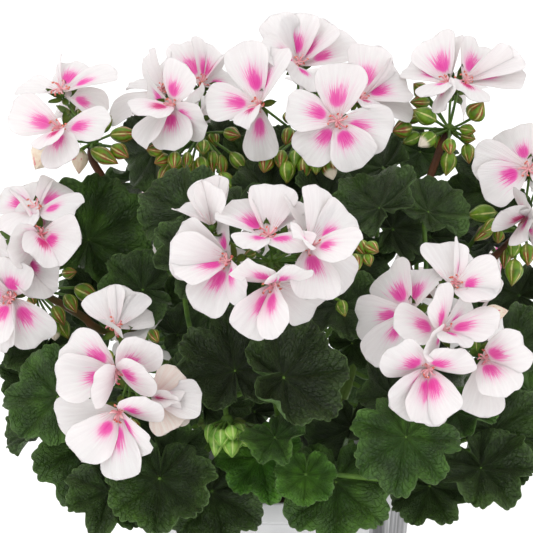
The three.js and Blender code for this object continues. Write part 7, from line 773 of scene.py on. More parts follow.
def sepal_mesh(st, base, d, out, length, width, mat, seed):
    """a pointed sepal, hollowed towards the flower"""
    g = rng(seed)
    nu, nv = 6, 4
    d, out = unit(d), perp(out, unit(d))
    s = np.cross(d, out)
    u = np.linspace(0, 1, nu)
    v = np.linspace(-1, 1, nv)
    U, V = np.meshgrid(u, v, indexing="ij")
    wid = width * 0.5 * (np.sin(math.pi * np.minimum(1, U * 0.93 + 0.08)) ** 0.8 + 0.02)
    bend = length * 0.18 * np.sin(U * 2.2) + length * g.uniform(0.0, 0.12) * U ** 2
    cup = -0.25 * width * V * V
    pts = base + (U * length)[..., None] * d + (wid * V)[..., None] * s + (bend + cup + 0.4)[..., None] * out
    th = 0.16
    top, bot = pts + out * th, pts - out * th
    m = nu * nv
    allp = np.concatenate([top.reshape(-1, 3), bot.reshape(-1, 3)])
    a = np.concatenate([np.stack([U.ravel(), V.ravel(), np.ones(m)], -1)] * 2)
    faces = grid_faces(nu, nv, 0, flip=False) + grid_faces(nu, nv, m, flip=True)
    for i in range(nu - 1):
        faces.append((i * nv, m + i * nv, m + (i + 1) * nv, (i + 1) * nv))
        faces.append(((i + 1) * nv + nv - 1, m + (i + 1) * nv + nv - 1, m + i * nv + nv - 1, i * nv + nv - 1))
    for j in range(nv - 1):
        faces.append((j, j + 1, m + j + 1, m + j))
        e = (nu - 1) * nv
        faces.append((e + j + 1, e + j, m + e + j, m + e + j + 1))
    st.add(allp, faces, mat, a, np.tile([0.5, g.uniform(0, 1), 0], (2 * m, 1)))


def bud_mesh(st, a, b, r, kind, mat, seed, sides=15, rows=9):
    """a plump bud with five ridges, pointed at the tip"""
    a, b = np.array(a, float), np.array(b, float)
    d = unit(b - a)
    ln = np.linalg.norm(b - a)
    e = perp([0.3, 0.5, 1], d) if abs(d[2]) < 0.9 else perp([1, 0, 0.1], d)
    f = np.cross(d, e)
    th = np.arange(sides) * 2 * math.pi / sides
    pts, at = [a], [[0, 0, 0]]
    for i in range(1, rows):
        t = i / rows
        rad = r * (math.sin(math.pi * t ** 0.82) ** 0.85) * (1.0 if t < 0.55 else 1 - 0.55 * (t - 0.55))
        ring = a + d * ln * t + (rad * (1 + 0.07 * np.cos(5 * th)))[:, None] * (np.cos(th)[:, None] * e + np.sin(th)[:, None] * f)
        pts.extend(ring)
        at.extend(np.stack([np.full(sides, t), np.cos(th), np.sin(th)], -1).tolist())
    pts.append(b)
    at.append([1, 0, 0])
    faces = []
    for j in range(sides):
        k = (j + 1) % sides
        faces.append((0, 1 + k, 1 + j))
        faces.append((len(pts) - 1, 1 + (rows - 2) * sides + j, 1 + (rows - 2) * sides + k))
    faces += grid_faces(rows - 1, sides, 1, wrap=True, flip=False)
    g = rng(seed)
    st.add(pts, faces, mat, at, np.tile([kind, g.uniform(0, 1), 0], (len(pts), 1)))


def ball_mesh(st, c, r, mat, sides=8, rows=6, att=None, axis=(0, 0, 1), squash=1.0, rough=0.0, seed=0):
    c = np.array(c, float)
    d = unit(axis)
    e = perp([0.2, 0.9, 0.1], d)
    f = np.cross(d, e)
    th = np.arange(sides) * 2 * math.pi / sides
    pts = [c - d * r * squash]
    for i in range(1, rows):
        p = math.pi * i / rows
        pts.extend(c - d * r * squash * math.cos(p) + r * math.sin(p) * (np.cos(th)[:, None] * e + np.sin(th)[:, None] * f))
    pts.append(c + d * r * squash)
    pts = np.array(pts)
    if rough > 0:
        g = rng(seed)
        pts = c + (pts - c) * (1 + g.uniform(-rough, rough, (len(pts), 1)))
    faces = []
    for j in range(sides):
        k = (j + 1) % sides
        faces.append((0, 1 + k, 1 + j))
        faces.append((len(pts) - 1, 1 + (rows - 2) * sides + j, 1 + (rows - 2) * sides + k))
    faces += grid_faces(rows - 1, sides, 1, wrap=True, flip=False)
    st.add(pts, faces, mat, np.zeros((len(pts), 3)), None if att is None else np.tile(att, (len(pts), 1)))


# ------------------------------------------------------------------ a head of flowers
M_PETAL, M_GREEN, M_BUD, M_FIL, M_ANT = 0, 1, 2, 3, 4


def floret(st, F, U, seed, far):
    g = rng(seed)
    C, A, half, petals = np.array(F[0], float), unit(F[1]), F[2], F[3]
    for i, (T, N, dims) in enumerate(petals):
        petal_mesh(st, C, T, N, dims, M_PETAL, seed * 17 + i, 15 if far else 19, 11 if far else 14, lift=0.25 * i)
    base = C - A * 5.5
    path = spline([U, (U + base) / 2 + g.uniform(-0.6, 0.6, 3), base, C - A * 0.6], 12)
    rad = np.interp(np.linspace(0, 1, 13), [0, 0.75, 0.9, 1], [0.62, 0.7, 1.05, 1.5])
    tube_mesh(st, path, rad, M_GREEN, 7, (0.35, 0.5, 0))
    e = perp([0.1, 0.3, 1], A) if abs(A[2]) < 0.9 else perp([1, 0, 0], A)
    f = np.cross(A, e)
    for k in range(5):
        a = k * 72 * DEG + g.uniform(-0.2, 0.2)
        o = e * math.cos(a) + f * math.sin(a)
        sepal_mesh(st, C - A * 4.2 + o * 0.8, unit(A * 0.75 + o * 0.75), unit(o - A * 0.6), g.uniform(7.5, 9.5), 3.4, M_GREEN, seed * 5 + k)
    if half < 1:
        return
    for k in range(12):
        a = k * 30 * DEG + g.uniform(-0.3, 0.3)
        sp = g.uniform(0.25, 1.0)
        d = unit(A + (e * math.cos(a) + f * math.sin(a)) * sp)
        ln = g.uniform(4.0, 7.2)
        p = spline([C + A * 0.4, C + A * ln * 0.5 + d * 0.8, C + d * ln, C + d * ln + (e * math.cos(a + 1) + f * math.sin(a + 1)) * 1.0], 6)
        tube_mesh(st, p, np.linspace(0.55, 0.34, 7), M_FIL, 4)
        if k % 4 != 3:
            tipdir = unit(np.cross(d, [g.uniform(-1, 1), 0.4, g.uniform(-1, 1)]))
            bud_mesh(st, p[-1] - tipdir * 0.9, p[-1] + tipdir * 0.9, 0.5, 0, M_ANT, seed + k, sides=5, rows=4)


def head_mesh(st, H, index):
    name, U, ped_r, ped, flowers, buds = H
    U = np.array(U, float)
    far = "back" in name
    young = "young" in name
    ball_mesh(st, U, 3.0, M_GREEN, 12, 8, (0.4, 0.3, 0))
    for i, F in enumerate(flowers):
        floret(st, F, U, index * 100 + i, far)
    for i, B in enumerate(buds):
        g = rng(index * 1000 + i)
        a, b = np.array(B[0], float), np.array(B[1], float)
        d = unit(b - a)
        path = spline([U, (U + a) / 2 + g.uniform(-0.4, 0.4, 3), a + d * 0.8], 8)
        tube_mesh(st, path, np.linspace(0.55, 0.78, 9), M_GREEN, 6, (0.3, 0.5, 0))
        bud_mesh(st, a, a + (b - a) * 1.06, B[2] * 1.24, B[3], M_BUD, index * 1000 + i)
    # narrow bracts round the umbel's centre
    g = rng(index * 31)
    for k in range(7):
        a = k * 0.9 + g.uniform(-0.2, 0.2)
        o = unit([math.cos(a), math.sin(a), g.uniform(-0.7, -0.1)])
        sepal_mesh(st, U + o * 2.2, unit(o + np.array([0, 0, g.uniform(-0.6, 0.2)])), np.array([0, 0, 1.0]), g.uniform(4.5, 7), 2.6, M_GREEN, index * 40 + k)
    p = spline(ped, 26)
    brown = {"flower_head_top_right": 1.0, "flower_head_right": 0.95, "flower_head_top_left": 0.9, "flower_head_left": 0.75}.get(name, 0.1 if young else 0.45)
    tube_mesh(st, p, np.linspace(ped_r * 0.92, ped_r * 1.05, 27), M_GREEN, 10, (brown, 0.5, 0))


# ------------------------------------------------------------------ materials
def srgb(r, g, b):
    def c(x):
        x /= 255.0
        return x / 12.92 if x <= 0.04045 else ((x + 0.055) / 1.055) ** 2.4
    return (c(r), c(g), c(b), 1.0)


class NT:
    """small helper for building node trees"""

    def __init__(self, name):
        self.m = bpy.data.materials.new(name)
        self.m.use_nodes = True
        self.t = self.m.node_tree
        self.t.nodes.clear()
        self.out = self.t.nodes.new("ShaderNodeOutputMaterial")
        self.p = self.t.nodes.new("ShaderNodeBsdfPrincipled")
        self.t.links.new(self.p.outputs[0], self.out.inputs[0])

    def n(self, kind, **kw):
        x = self.t.nodes.new(kind)
        for k, v in kw.items():
            setattr(x, k, v)
        return x

    def put(self, sock, val):
        if hasattr(val, "is_output"):
            self.t.links.new(val, sock)
        else:
            sock.default_value = val

    def math(self, op, a, b=0.0, c=None, clamp=False):
        x = self.n("ShaderNodeMath", operation=op, use_clamp=clamp)
        self.put(x.inputs[0], a)
        self.put(x.inputs[1], b)
        if c is not None:
            self.put(x.inputs[2], c)
        return x.outputs[0]

    def add(self, a, b):
        return self.math("ADD", a, b)

    def mul(self, a, b):
        return self.math("MULTIPLY", a, b)

    def attr(self, name):
        x = self.n("ShaderNodeAttribute", attribute_name=name)
        s = self.n("ShaderNodeSeparateXYZ")
        self.t.links.new(x.outputs["Vector"], s.inputs[0])
        return x.outputs["Vector"], s.outputs[0], s.outputs[1], s.outputs[2]

    def coord(self):
        return self.n("ShaderNodeTexCoord").outputs["Object"]

    def noise(self, vec, scale, detail=3.0, rough=0.55, dist=0.0):
        x = self.n("ShaderNodeTexNoise")
        self.put(x.inputs["Vector"], vec)
        x.inputs["Scale"].default_value = scale
        x.inputs["Detail"].default_value = detail
        x.inputs["Roughness"].default_value = rough
        x.inputs["Distortion"].default_value = dist
        return x.outputs[0]

    def mix(self, f, a, b):
        x = self.n("ShaderNodeMix", data_type="RGBA")
        self.put(x.inputs[0], f)
        self.put(x.inputs[6], a)
        self.put(x.inputs[7], b)
        return x.outputs[2]

    def ramp(self, f, stops):
        x = self.n("ShaderNodeValToRGB")
        self.put(x.inputs[0], f)
        el = x.color_ramp.elements
        while len(el) < len(stops):
            el.new(0.5)
        for e, (pos, col) in zip(el, stops):
            e.position = pos
            e.color = col if len(col) == 4 else (*col, 1)
        return x.outputs[0]

    def smooth(self, v, lo, hi, to0=0.0, to1=1.0):
        x = self.n("ShaderNodeMapRange", interpolation_type="SMOOTHSTEP")
        self.put(x.inputs[0], v)
        for i, q in enumerate((lo, hi, to0, to1)):
            x.inputs[i + 1].default_value = q
        return x.outputs[0]

    def vec(self, x, y, z):
        c = self.n("ShaderNodeCombineXYZ")
        for i, q in enumerate((x, y, z)):
            self.put(c.inputs[i], q)
        return c.outputs[0]

    def bump(self, h, dist, strength=1.0):
        x = self.n("ShaderNodeBump")
        x.inputs["Strength"].default_value = strength
        x.inputs["Distance"].default_value = dist
        self.put(x.inputs["Height"], h)
        return x.outputs[0]

    def done(self, col=None, rough=None, normal=None, sss=0.0, radius=(0.002, 0.001, 0.0005), spec=0.5, sheen=0.0, tint=(1, 1, 1, 1)):
        p = self.p
        if col is not None:
            self.put(p.inputs["Base Color"], col)
        if rough is not None:
            self.put(p.inputs["Roughness"], rough)
        if normal is not None:
            self.put(p.inputs["Normal"], normal)
        p.inputs["Specular IOR Level"].default_value = spec
        if sheen > 0:
            p.inputs["Sheen Weight"].default_value = sheen
            p.inputs["Sheen Roughness"].default_value = 0.45
            p.inputs["Sheen Tint"].default_value = tint
        if sss > 0:
            p.inputs["Subsurface Weight"].default_value = sss
            p.inputs["Subsurface Radius"].default_value = radius
            p.inputs["Subsurface Scale"].default_value = 1.0
        return self.m


def leaf_material():
    t = NT("leaf_green")
    v, x, y, top = t.attr("pa")
    _, tone_and_painted_light, r1_, r2_ = t.attr("pb")
    rho = t.math("SQRT", t.add(t.mul(x, x), t.mul(y, y)))
    th = t.math("ARCTAN2", y, x)
    # the main veins wander a little
    w = t.add(t.math("DIVIDE", th, LOBE), t.mul(t.math("SUBTRACT", t.noise(v, 3.0, 1.0), 0.5), t.mul(rho, 0.35)))
    fr = t.math("ABSOLUTE", t.math("SUBTRACT", t.math("FRACT", t.add(w, 0.5)), 0.5))
    dist = t.mul(t.mul(fr, LOBE), rho)
    wid = t.add(t.mul(rho, -0.012), 0.021)
    main = t.math("SUBTRACT", 1.0, t.math("DIVIDE", dist, wid), clamp=True)
    soft = t.math("SUBTRACT", 1.0, t.math("DIVIDE", dist, t.mul(wid, 4.0)), clamp=True)
    # side veins slant from the main veins towards the margin
    ph = t.math("SUBTRACT", t.mul(rho, 8.0), t.mul(fr, 6.0))
    ph = t.add(ph, t.mul(t.math("SUBTRACT", t.noise(v, 2.6, 2.0), 0.5), 2.6))
    side = t.math("ABSOLUTE", t.math("SUBTRACT", t.math("FRACT", ph), 0.5))
    side = t.mul(t.math("SUBTRACT", 1.0, t.math("DIVIDE", side, 0.10), clamp=True), t.smooth(rho, 0.12, 0.3))
    vor = t.n("ShaderNodeTexVoronoi", feature="DISTANCE_TO_EDGE")
    t.put(vor.inputs["Vector"], v)
    vor.inputs["Scale"].default_value = 13.0
    net = t.math("SUBTRACT", 1.0, t.math("DIVIDE", vor.outputs["Distance"], 0.12), clamp=True)
    obj = t.coord()
    blot = t.noise(obj, 42.0, 3.0)
    grain = t.noise(obj, 620.0, 2.0, 0.7)
    # colour: dark green, a faint darker band, young leaves brighter, and painted shade, near black, on leaves whose
    # tone is below zero
    dark = t.ramp(blot, [(0.32, srgb(20, 38, 2)), (0.50, srgb(33, 58, 6)), (0.68, srgb(58, 92, 18))])
    young = t.ramp(blot, [(0.30, srgb(34, 78, 4)), (0.50, srgb(56, 112, 12)), (0.70, srgb(88, 144, 28))])
    base = t.mix(t.smooth(tone_and_painted_light, 0.25, 1.0), dark, young)
    # painted shade: a tone below zero darkens the whole leaf towards near black, as for a leaf deep in the plant
    base = t.mix(t.smooth(tone_and_painted_light, 0.02, -0.40), base, srgb(13, 22, 4))
    zone = t.mul(t.smooth(rho, 0.36, 0.54), t.smooth(rho, 0.86, 0.66))
    base = t.mix(t.mul(zone, 0.40), base, srgb(16, 30, 5))
    base = t.mix(t.mul(t.math("SUBTRACT", grain, 0.35), 0.34), base, srgb(90, 120, 46))
    near = t.smooth(rho, 0.30, 0.0)
    veins = t.add(t.mul(main, t.add(0.08, t.mul(near, 0.26))), t.mul(side, 0.05))
    col = t.mix(veins, base, srgb(98, 138, 50))
    col = t.mix(t.mul(t.smooth(rho, 0.13, 0.0), 0.20), col, srgb(92, 132, 40))
    col = t.mix(t.mul(net, 0.06), col, srgb(20, 40, 12))
    edge = t.smooth(rho, 0.972, 1.0)
    col = t.mix(t.mul(edge, 0.50), col, srgb(112, 146, 76))
    under = t.mix(t.mul(t.math("MAXIMUM", main, t.mul(side, 0.5)), 0.5), srgb(74, 106, 52), srgb(128, 154, 98))
    under = t.mix(t.mul(grain, 0.3), under, srgb(108, 136, 86))
    col = t.mix(top, under, col)
    # painted shade and painted highlight: darker along the sunken veins and in the hollows, lighter on the swellings
    # between them, as light would fall on the relief
    swell = t.noise(t.vec(t.mul(rho, 2.2), t.mul(fr, 5.0), t.add(t.mul(w, 3.0), t.mul(r1_, 9.0))), 2.2, 2.0)
    lift = t.add(t.mul(t.smooth(fr, 0.02, 0.34), 0.30), t.mul(t.smooth(swell, 0.38, 0.62), 0.70))
    lift = t.mul(lift, t.smooth(rho, 0.10, 0.40))
    col = t.mix(t.mul(t.math("SUBTRACT", 1.0, lift), 0.42), col, t.mix(t.smooth(tone_and_painted_light, 0.25, 1.0), srgb(14, 26, 6), srgb(26, 66, 6)))
    # painted highlight on the swellings towards the margin
    col = t.mix(t.mul(t.mul(lift, t.smooth(rho, 0.55, 0.98)), 0.26), col, t.mix(t.smooth(tone_and_painted_light, 0.25, 1.0), srgb(92, 122, 62), srgb(112, 164, 60)))
    h = t.add(t.mul(main, -0.35), t.mul(soft, -0.75))
    h = t.add(h, t.mul(side, -0.60))
    h = t.add(h, t.mul(net, -0.25))
    h = t.add(h, t.mul(grain, 0.40))
    h = t.add(h, t.mul(t.noise(obj, 130.0, 2.0), 3.2))
    h = t.add(h, t.mul(swell, 1.6))
    rough = t.add(0.46, t.mul(t.math("SUBTRACT", grain, 0.5), 0.3))
    return t.done(col, rough, t.bump(h, 0.0007, 1.0), spec=0.36, sheen=0.05, tint=srgb(222, 236, 170))


def petal_material():
    t = NT("petal_white_pink")
    v, u, xx, top = t.attr("pa")
    _, kind, ra, rb = t.attr("pb")
    # streaks that run along the petal and fan out from its foot
    fan = t.math("DIVIDE", xx, t.math("MAXIMUM", t.add(t.mul(u, 0.9), 0.12), 0.12))
    streak = t.noise(t.vec(t.mul(u, 1.4), t.mul(fan, 5.0), t.mul(ra, 40.0)), 1.0, 3.0, 0.6)
    fine = t.noise(t.vec(t.mul(u, 2.0), t.mul(fan, 22.0), t.mul(rb, 60.0)), 1.0, 2.0, 0.6)
    big = t.smooth(kind, 0.4, 2.0, 0.74, 1.06)
    on = t.smooth(kind, 0.0, 0.6)
    shift = t.mul(t.math("SUBTRACT", ra, 0.5), 0.22)
    du = t.math("SUBTRACT", u, t.add(0.35, t.mul(t.math("SUBTRACT", rb, 0.5), 0.05)))
    out = t.math("GREATER_THAN", du, 0.0)
    lu = t.mul(big, t.add(0.165, t.mul(out, t.add(-0.03, t.mul(fine, 0.20)))))
    cu = t.math("DIVIDE", du, lu)
    # narrower towards the foot of the petal, ragged towards its tip
    cv = t.math("DIVIDE", t.math("SUBTRACT", xx, shift), t.mul(big, t.add(0.18, t.mul(u, 0.46))))
    d = t.math("SQRT", t.add(t.mul(cu, cu), t.mul(cv, cv)))
    rag = t.add(0.80, t.mul(t.smooth(u, 0.28, 0.50), 2.4))
    d = t.add(d, t.mul(t.math("SUBTRACT", fine, 0.5), rag))
    core = t.mul(t.smooth(d, 1.08, 0.70), on)
    halo = t.mul(t.smooth(d, 1.75, 0.85), on)
    lines = t.mul(t.smooth(fine, 0.53, 0.64), t.mul(t.smooth(u, 0.36, 0.22), t.smooth(u, 0.0, 0.08)))
    white = t.mix(t.smooth(streak, 0.3, 0.8), srgb(233, 226, 226), srgb(240, 235, 234))
    # a blush over some flowers
    white = t.mix(t.mul(t.smooth(u, 0.80, 0.2), t.mul(t.smooth(rb, 0.45, 1.0), 0.20)), white, srgb(240, 196, 206))
    col = t.mix(t.mul(halo, 0.34), white, srgb(243, 150, 200))
    col = t.mix(t.mul(lines, 0.62), col, srgb(212, 84, 128))
    hot = t.mix(t.smooth(fine, 0.34, 0.66), srgb(242, 82, 172), srgb(230, 34, 144))
    hot = t.mix(t.smooth(kind, 2.4, 3.0), hot, srgb(200, 22, 106))
    hot = t.mix(t.mul(t.smooth(d, 0.3, 1.1), 0.45), hot, srgb(243, 128, 194))
    pale = t.mul(t.smooth(fine, 0.50, 0.36), t.smooth(u, 0.30, 0.50))
    col = t.mix(t.mul(core, t.math("SUBTRACT", 1.0, t.mul(pale, 0.35))), col, hot)
    col = t.mix(t.mul(t.smooth(u, 0.12, 0.0), 0.6), col, srgb(230, 196, 180))
    back = t.mix(t.mul(halo, 0.22), srgb(232, 225, 222), srgb(236, 184, 202))
    col = t.mix(top, back, col)
    # petals of a half-open flower: creamy, with a flesh tint and faint pink lines
    half = t.mix(t.mul(t.smooth(fine, 0.50, 0.66), t.smooth(u, 0.75, 0.2)), srgb(243, 228, 218), srgb(232, 168, 176))
    half = t.mix(t.mul(t.smooth(streak, 0.35, 0.65), 0.6), half, srgb(238, 208, 196))
    col = t.mix(t.mul(t.smooth(kind, -0.2, -0.8), t.smooth(ra, 0.85, 0.35)), col, half)
    h = t.add(t.mul(fine, 0.55), t.mul(streak, 0.75))
    h = t.add(h, t.mul(t.noise(t.coord(), 1500.0, 1.0), 0.12))
    return t.done(col, 0.6, t.bump(h, 0.0005, 0.6), sss=0.40, radius=(0.0030, 0.0027, 0.0026), spec=0.2)


def green_material():
    t = NT("stalk_green")
    v, run, ang, frac = t.attr("pa")
    _, brown, rb, _z = t.attr("pb")
    n = t.noise(t.coord(), 140.0, 3.0)
    g = t.ramp(n, [(0.3, srgb(54, 90, 22)), (0.7, srgb(98, 132, 46))])
    b = t.ramp(n, [(0.3, srgb(58, 26, 10)), (0.7, srgb(104, 62, 30))])
    col = t.mix(t.smooth(t.add(brown, t.mul(t.math("SUBTRACT", n, 0.5), 0.5)), 0.35, 0.9), g, b)
    h = t.noise(t.coord(), 900.0, 2.0)
    return t.done(col, 0.52, t.bump(h, 0.0003, 0.7), sss=0.0, spec=0.35)


def bud_material():
    t = NT("bud_green")
    v, f, cs, si = t.attr("pa")
    _, kind, ra, _z = t.attr("pb")
    n = t.noise(t.coord(), 260.0, 3.0)
    co = t.math("COSINE", t.mul(t.math("ARCTAN2", si, cs), 5.0))
    body = t.mul(t.smooth(f, 0.02, 0.16), t.smooth(f, 1.02, 0.80))
    g = t.ramp(n, [(0.3, srgb(66, 108, 10)), (0.7, srgb(122, 158, 34))])
    # five sepals: red-brown beside the seams, cream along them
    flush = t.mul(t.smooth(t.noise(t.coord(), 210.0, 2.0), 0.30, 0.52), t.smooth(ra, 0.05, 0.45))
    g = t.mix(t.mul(t.mul(t.smooth(co, 0.80, -0.40), t.add(0.30, t.mul(t.smooth(f, 0.30, 0.62), 0.70))), t.mul(flush, 0.95)), g, srgb(146, 48, 26))
    seam = t.smooth(t.noise(t.coord(), 420.0, 1.0), 0.34, 0.58)
    col = t.mix(t.mul(t.smooth(co, -0.80, -0.97), t.mul(body, t.add(0.30, t.mul(seam, 0.55)))), g, srgb(218, 214, 140))
    col = t.mix(t.mul(t.smooth(f, 0.78, 1.0), 0.6), col, srgb(150, 92, 52))
    col = t.mix(t.mul(t.smooth(f, 0.22, 0.0), 0.45), col, srgb(132, 66, 42))
    cream = t.mix(t.smooth(n, 0.3, 0.7), srgb(240, 230, 210), srgb(228, 206, 182))
    streak = t.mul(t.smooth(t.noise(t.vec(t.mul(f, 1.6), t.mul(cs, 0.9), t.add(ra, t.mul(si, 0.9))), 2.4, 2.0), 0.56, 0.66), 0.75)
    cream = t.mix(streak, cream, srgb(206, 44, 96))
    two = t.mul(t.smooth(kind, 1.4, 1.6), t.smooth(kind, 2.7, 2.5))
    col = t.mix(t.mul(two, t.smooth(f, 0.12, 0.3)), col, cream)
    one = t.mul(t.mul(t.smooth(kind, 0.4, 0.6), t.smooth(kind, 1.5, 1.3)), t.smooth(f, 0.55, 0.72))
    col = t.mix(one, col, srgb(236, 224, 204))
    young = t.mix(t.smooth(n, 0.3, 0.7), srgb(84, 138, 34), srgb(142, 182, 76))
    young = t.mix(t.mul(t.smooth(co, -0.70, -0.92), t.mul(body, 0.6)), young, srgb(196, 214, 140))
    col = t.mix(t.mul(t.smooth(kind, 2.5, 2.7), 0.9), col, young)
    h = t.add(t.mul(co, 0.5), t.mul(t.noise(t.coord(), 1200.0, 1.0), 0.5))
    return t.done(col, 0.42, t.bump(h, 0.0003, 0.7), spec=0.4)


def plain(name, c1, c2, scale, rough, bumpd, spec=0.4):
    t = NT(name)
    n = t.noise(t.coord(), scale, 4.0)
    col = t.mix(t.smooth(n, 0.3, 0.7), c1, c2)
    return t.done(col, rough, t.bump(t.noise(t.coord(), scale * 4, 3.0), bumpd, 0.8), spec=spec)


def stem_material():
    t = NT("stem_bark")
    v, run, ang, frac = t.attr("pa")
    n = t.noise(t.coord(), 90.0, 4.0)
    g = t.ramp(n, [(0.3, srgb(78, 104, 42)), (0.7, srgb(112, 138, 62))])
    b = t.ramp(n, [(0.3, srgb(74, 58, 38)), (0.7, srgb(126, 104, 72))])
    z = t.n("ShaderNodeSeparateXYZ")
    t.put(z.inputs[0], t.coord())
    col = t.mix(t.smooth(t.add(z.outputs[2], t.mul(t.math("SUBTRACT", n, 0.5), 0.03)), 0.15, 0.115), g, b)
    # leaf scars ring the stem
    ring = t.math("ABSOLUTE", t.math("SUBTRACT", t.math("FRACT", t.add(t.mul(run, 0.085), t.mul(n, 0.5))), 0.5))
    ring = t.smooth(ring, 0.07, 0.0)
    col = t.mix(t.mul(ring, 0.5), col, srgb(70, 54, 36))
    h = t.add(t.mul(t.noise(t.coord(), 520.0, 3.0), 0.8), t.mul(ring, -0.6))
    return t.done(col, 0.6, t.bump(h, 0.0007, 0.9), spec=0.3)


def soil_material():
    t = NT("soil_dark")
    o = t.coord()
    a, b = t.noise(o, 160.0, 5.0, 0.7), t.noise(o, 700.0, 3.0, 0.7)
    col = t.ramp(a, [(0.3, srgb(28, 19, 13)), (0.55, srgb(52, 37, 26)), (0.8, srgb(84, 63, 45))])
    return t.done(col, 0.92, t.bump(t.add(a, t.mul(b, 0.6)), 0.003, 1.0), spec=0.2)


def pot_material():
    """glossy white plastic with a grey weathered wood grain round the body, plain on the front panel and the rim"""
    t = NT("pot_plastic")
    o = t.coord()
    s = t.n("ShaderNodeSeparateXYZ")
    t.put(s.inputs[0], o)
    x, y, z = s.outputs[0], s.outputs[1], s.outputs[2]
    ang = t.math("ARCTAN2", x, t.mul(y, -1.0))
    # planks: streaks that run up the wall and sway
    sway = t.mul(t.math("SUBTRACT", t.noise(t.vec(t.mul(ang, 1.2), 0.0, t.mul(z, 9.0)), 1.0, 2.0), 0.5), 0.30)
    u = t.add(ang, sway)
    coarse = t.noise(t.vec(t.mul(u, 9.0), 0.0, t.mul(z, 6.0)), 1.0, 4.0, 0.65)
    fine = t.noise(t.vec(t.mul(u, 46.0), 0.0, t.mul(z, 14.0)), 1.0, 3.0, 0.7)
    wood = t.ramp(t.add(t.mul(coarse, 0.50), t.mul(fine, 0.50)), [(0.38, srgb(54, 54, 56)), (0.47, srgb(100, 100, 102)), (0.56, srgb(150, 150, 152)), (0.68, srgb(205, 205, 207))])
    plank = t.math("ABSOLUTE", t.math("SUBTRACT", t.math("FRACT", t.mul(ang, 2.6)), 0.5))
    wood = t.mix(t.mul(t.smooth(plank, 0.030, 0.0), 0.75), wood, srgb(70, 70, 72))
    # white front panel with rounded lower corners and a thin grey border
    low = t.math("MAXIMUM", 0.0, t.math("SUBTRACT", t.math("ABSOLUTE", t.add(ang, 0.06)), 0.70))
    reach = t.math("SQRT", t.add(t.math("POWER", t.mul(low, 2.6), 2.0), t.math("POWER", t.mul(t.math("MAXIMUM", 0.0, t.math("SUBTRACT", 0.104, z)), 20.0), 2.0)))
    side = t.math("SUBTRACT", t.math("ABSOLUTE", t.add(ang, 0.06)), 0.78)
    panel = t.math("MAXIMUM", t.smooth(side, 0.006, -0.004), t.mul(t.smooth(reach, 0.47, 0.46), t.math("LESS_THAN", ang, 0.0)))
    border = t.mul(t.math("MAXIMUM", t.smooth(side, 0.036, 0.026), t.mul(t.smooth(reach, 0.53, 0.52), t.math("LESS_THAN", ang, 0.0))), t.math("SUBTRACT", 1.0, panel))
    white = t.mix(t.smooth(t.noise(o, 60.0, 3.0), 0.3, 0.7), srgb(205, 205, 207), srgb(212, 212, 213))
    line = t.smooth(t.math("ABSOLUTE", t.math("SUBTRACT", z, 0.1072)), 0.0009, 0.0003)
    panelc = t.mix(t.mul(line, 0.40), white, srgb(150, 150, 152))
    body = t.mix(panel, wood, panelc)
    body = t.mix(border, body, srgb(150, 150, 153))
    rim = t.smooth(z, 0.1072, 0.1076)
    foot = t.smooth(z, 0.0026, 0.0022)
    body = t.mix(t.math("MAXIMUM", rim, foot), body, white)
    under = t.smooth(t.math("ABSOLUTE", t.math("SUBTRACT", z, 0.1066)), 0.0008, 0.0003)
    body = t.mix(t.mul(t.mul(under, t.math("SUBTRACT", 1.0, panel)), 0.7), body, srgb(150, 150, 152))
    rad = t.math("SQRT", t.add(t.mul(x, x), t.mul(y, y)))
    inner = t.math("GREATER_THAN", t.math("SUBTRACT", t.add(t.mul(z, 0.0972), 0.0571), rad), 0.0)
    body = t.mix(t.mul(inner, 1.0), body, white)
    h = t.add(t.mul(t.noise(o, 1400.0, 2.0), 0.3), t.mul(t.noise(o, 90.0, 2.0), 0.5))
    return t.done(body, 0.34, t.bump(h, 0.0003, 0.4), spec=0.45)


# ------------------------------------------------------------------ building the pieces
PETAL, LEAF, GREEN, BUD, STEM, SOIL, POT = petal_material(), leaf_material(), green_material(), bud_material(), stem_material(), soil_material(), pot_material()
FIL = plain("filament_pink", srgb(222, 128, 140), srgb(244, 200, 202), 300, 0.5, 0.0001)
ANT = plain("anther_red", srgb(196, 84, 74), srgb(228, 140, 112), 600, 0.7, 0.0002)
PERLITE = plain("perlite_white", srgb(206, 202, 194), srgb(236, 234, 230), 400, 0.9, 0.0006, 0.2)
HEAD_MATS = [PETAL, GREEN, BUD, FIL, ANT]

# how young and bright each leaf is, partly its own colour and partly painted light: some leaves are set brighter as if
# lit, and a value below zero paints shade, near black, on leaves deep in the plant
LEAF_TONE_AND_PAINTED_LIGHT = {
    "leaf_bottom_bright": 0.85, "leaf_bottom_young": 0.70, "leaf_bottom_middle": 0.48, "leaf_centre_small": 0.55,
    "leaf_right_edge_low": 0.55, "leaf_right_small": 0.65, "leaf_bottom_left_curled": 0.35, "leaf_left_outer": 0.46,
    "leaf_top_right_inner": 0.45, "leaf_left_inner": 0.40, "leaf_right_upper": 0.30, "leaf_bottom_left": 0.30,
    "leaf_front_right": 0.52, "leaf_front_left": 0.04, "leaf_front_centre": -0.24, "leaf_centre_shaded": -0.30,
    "leaf_top_left": 0.42, "leaf_mid_right": 0.20, "leaf_centre_low": -0.2, "leaf_centre_right": -0.1, "leaf_right_low": 0.02,
    "leaf_mid_left": 0.10, "leaf_top_left_inner": 0.30, "leaf_left_low": 0.40, "leaf_bottom_left_inner": 0.16,
}


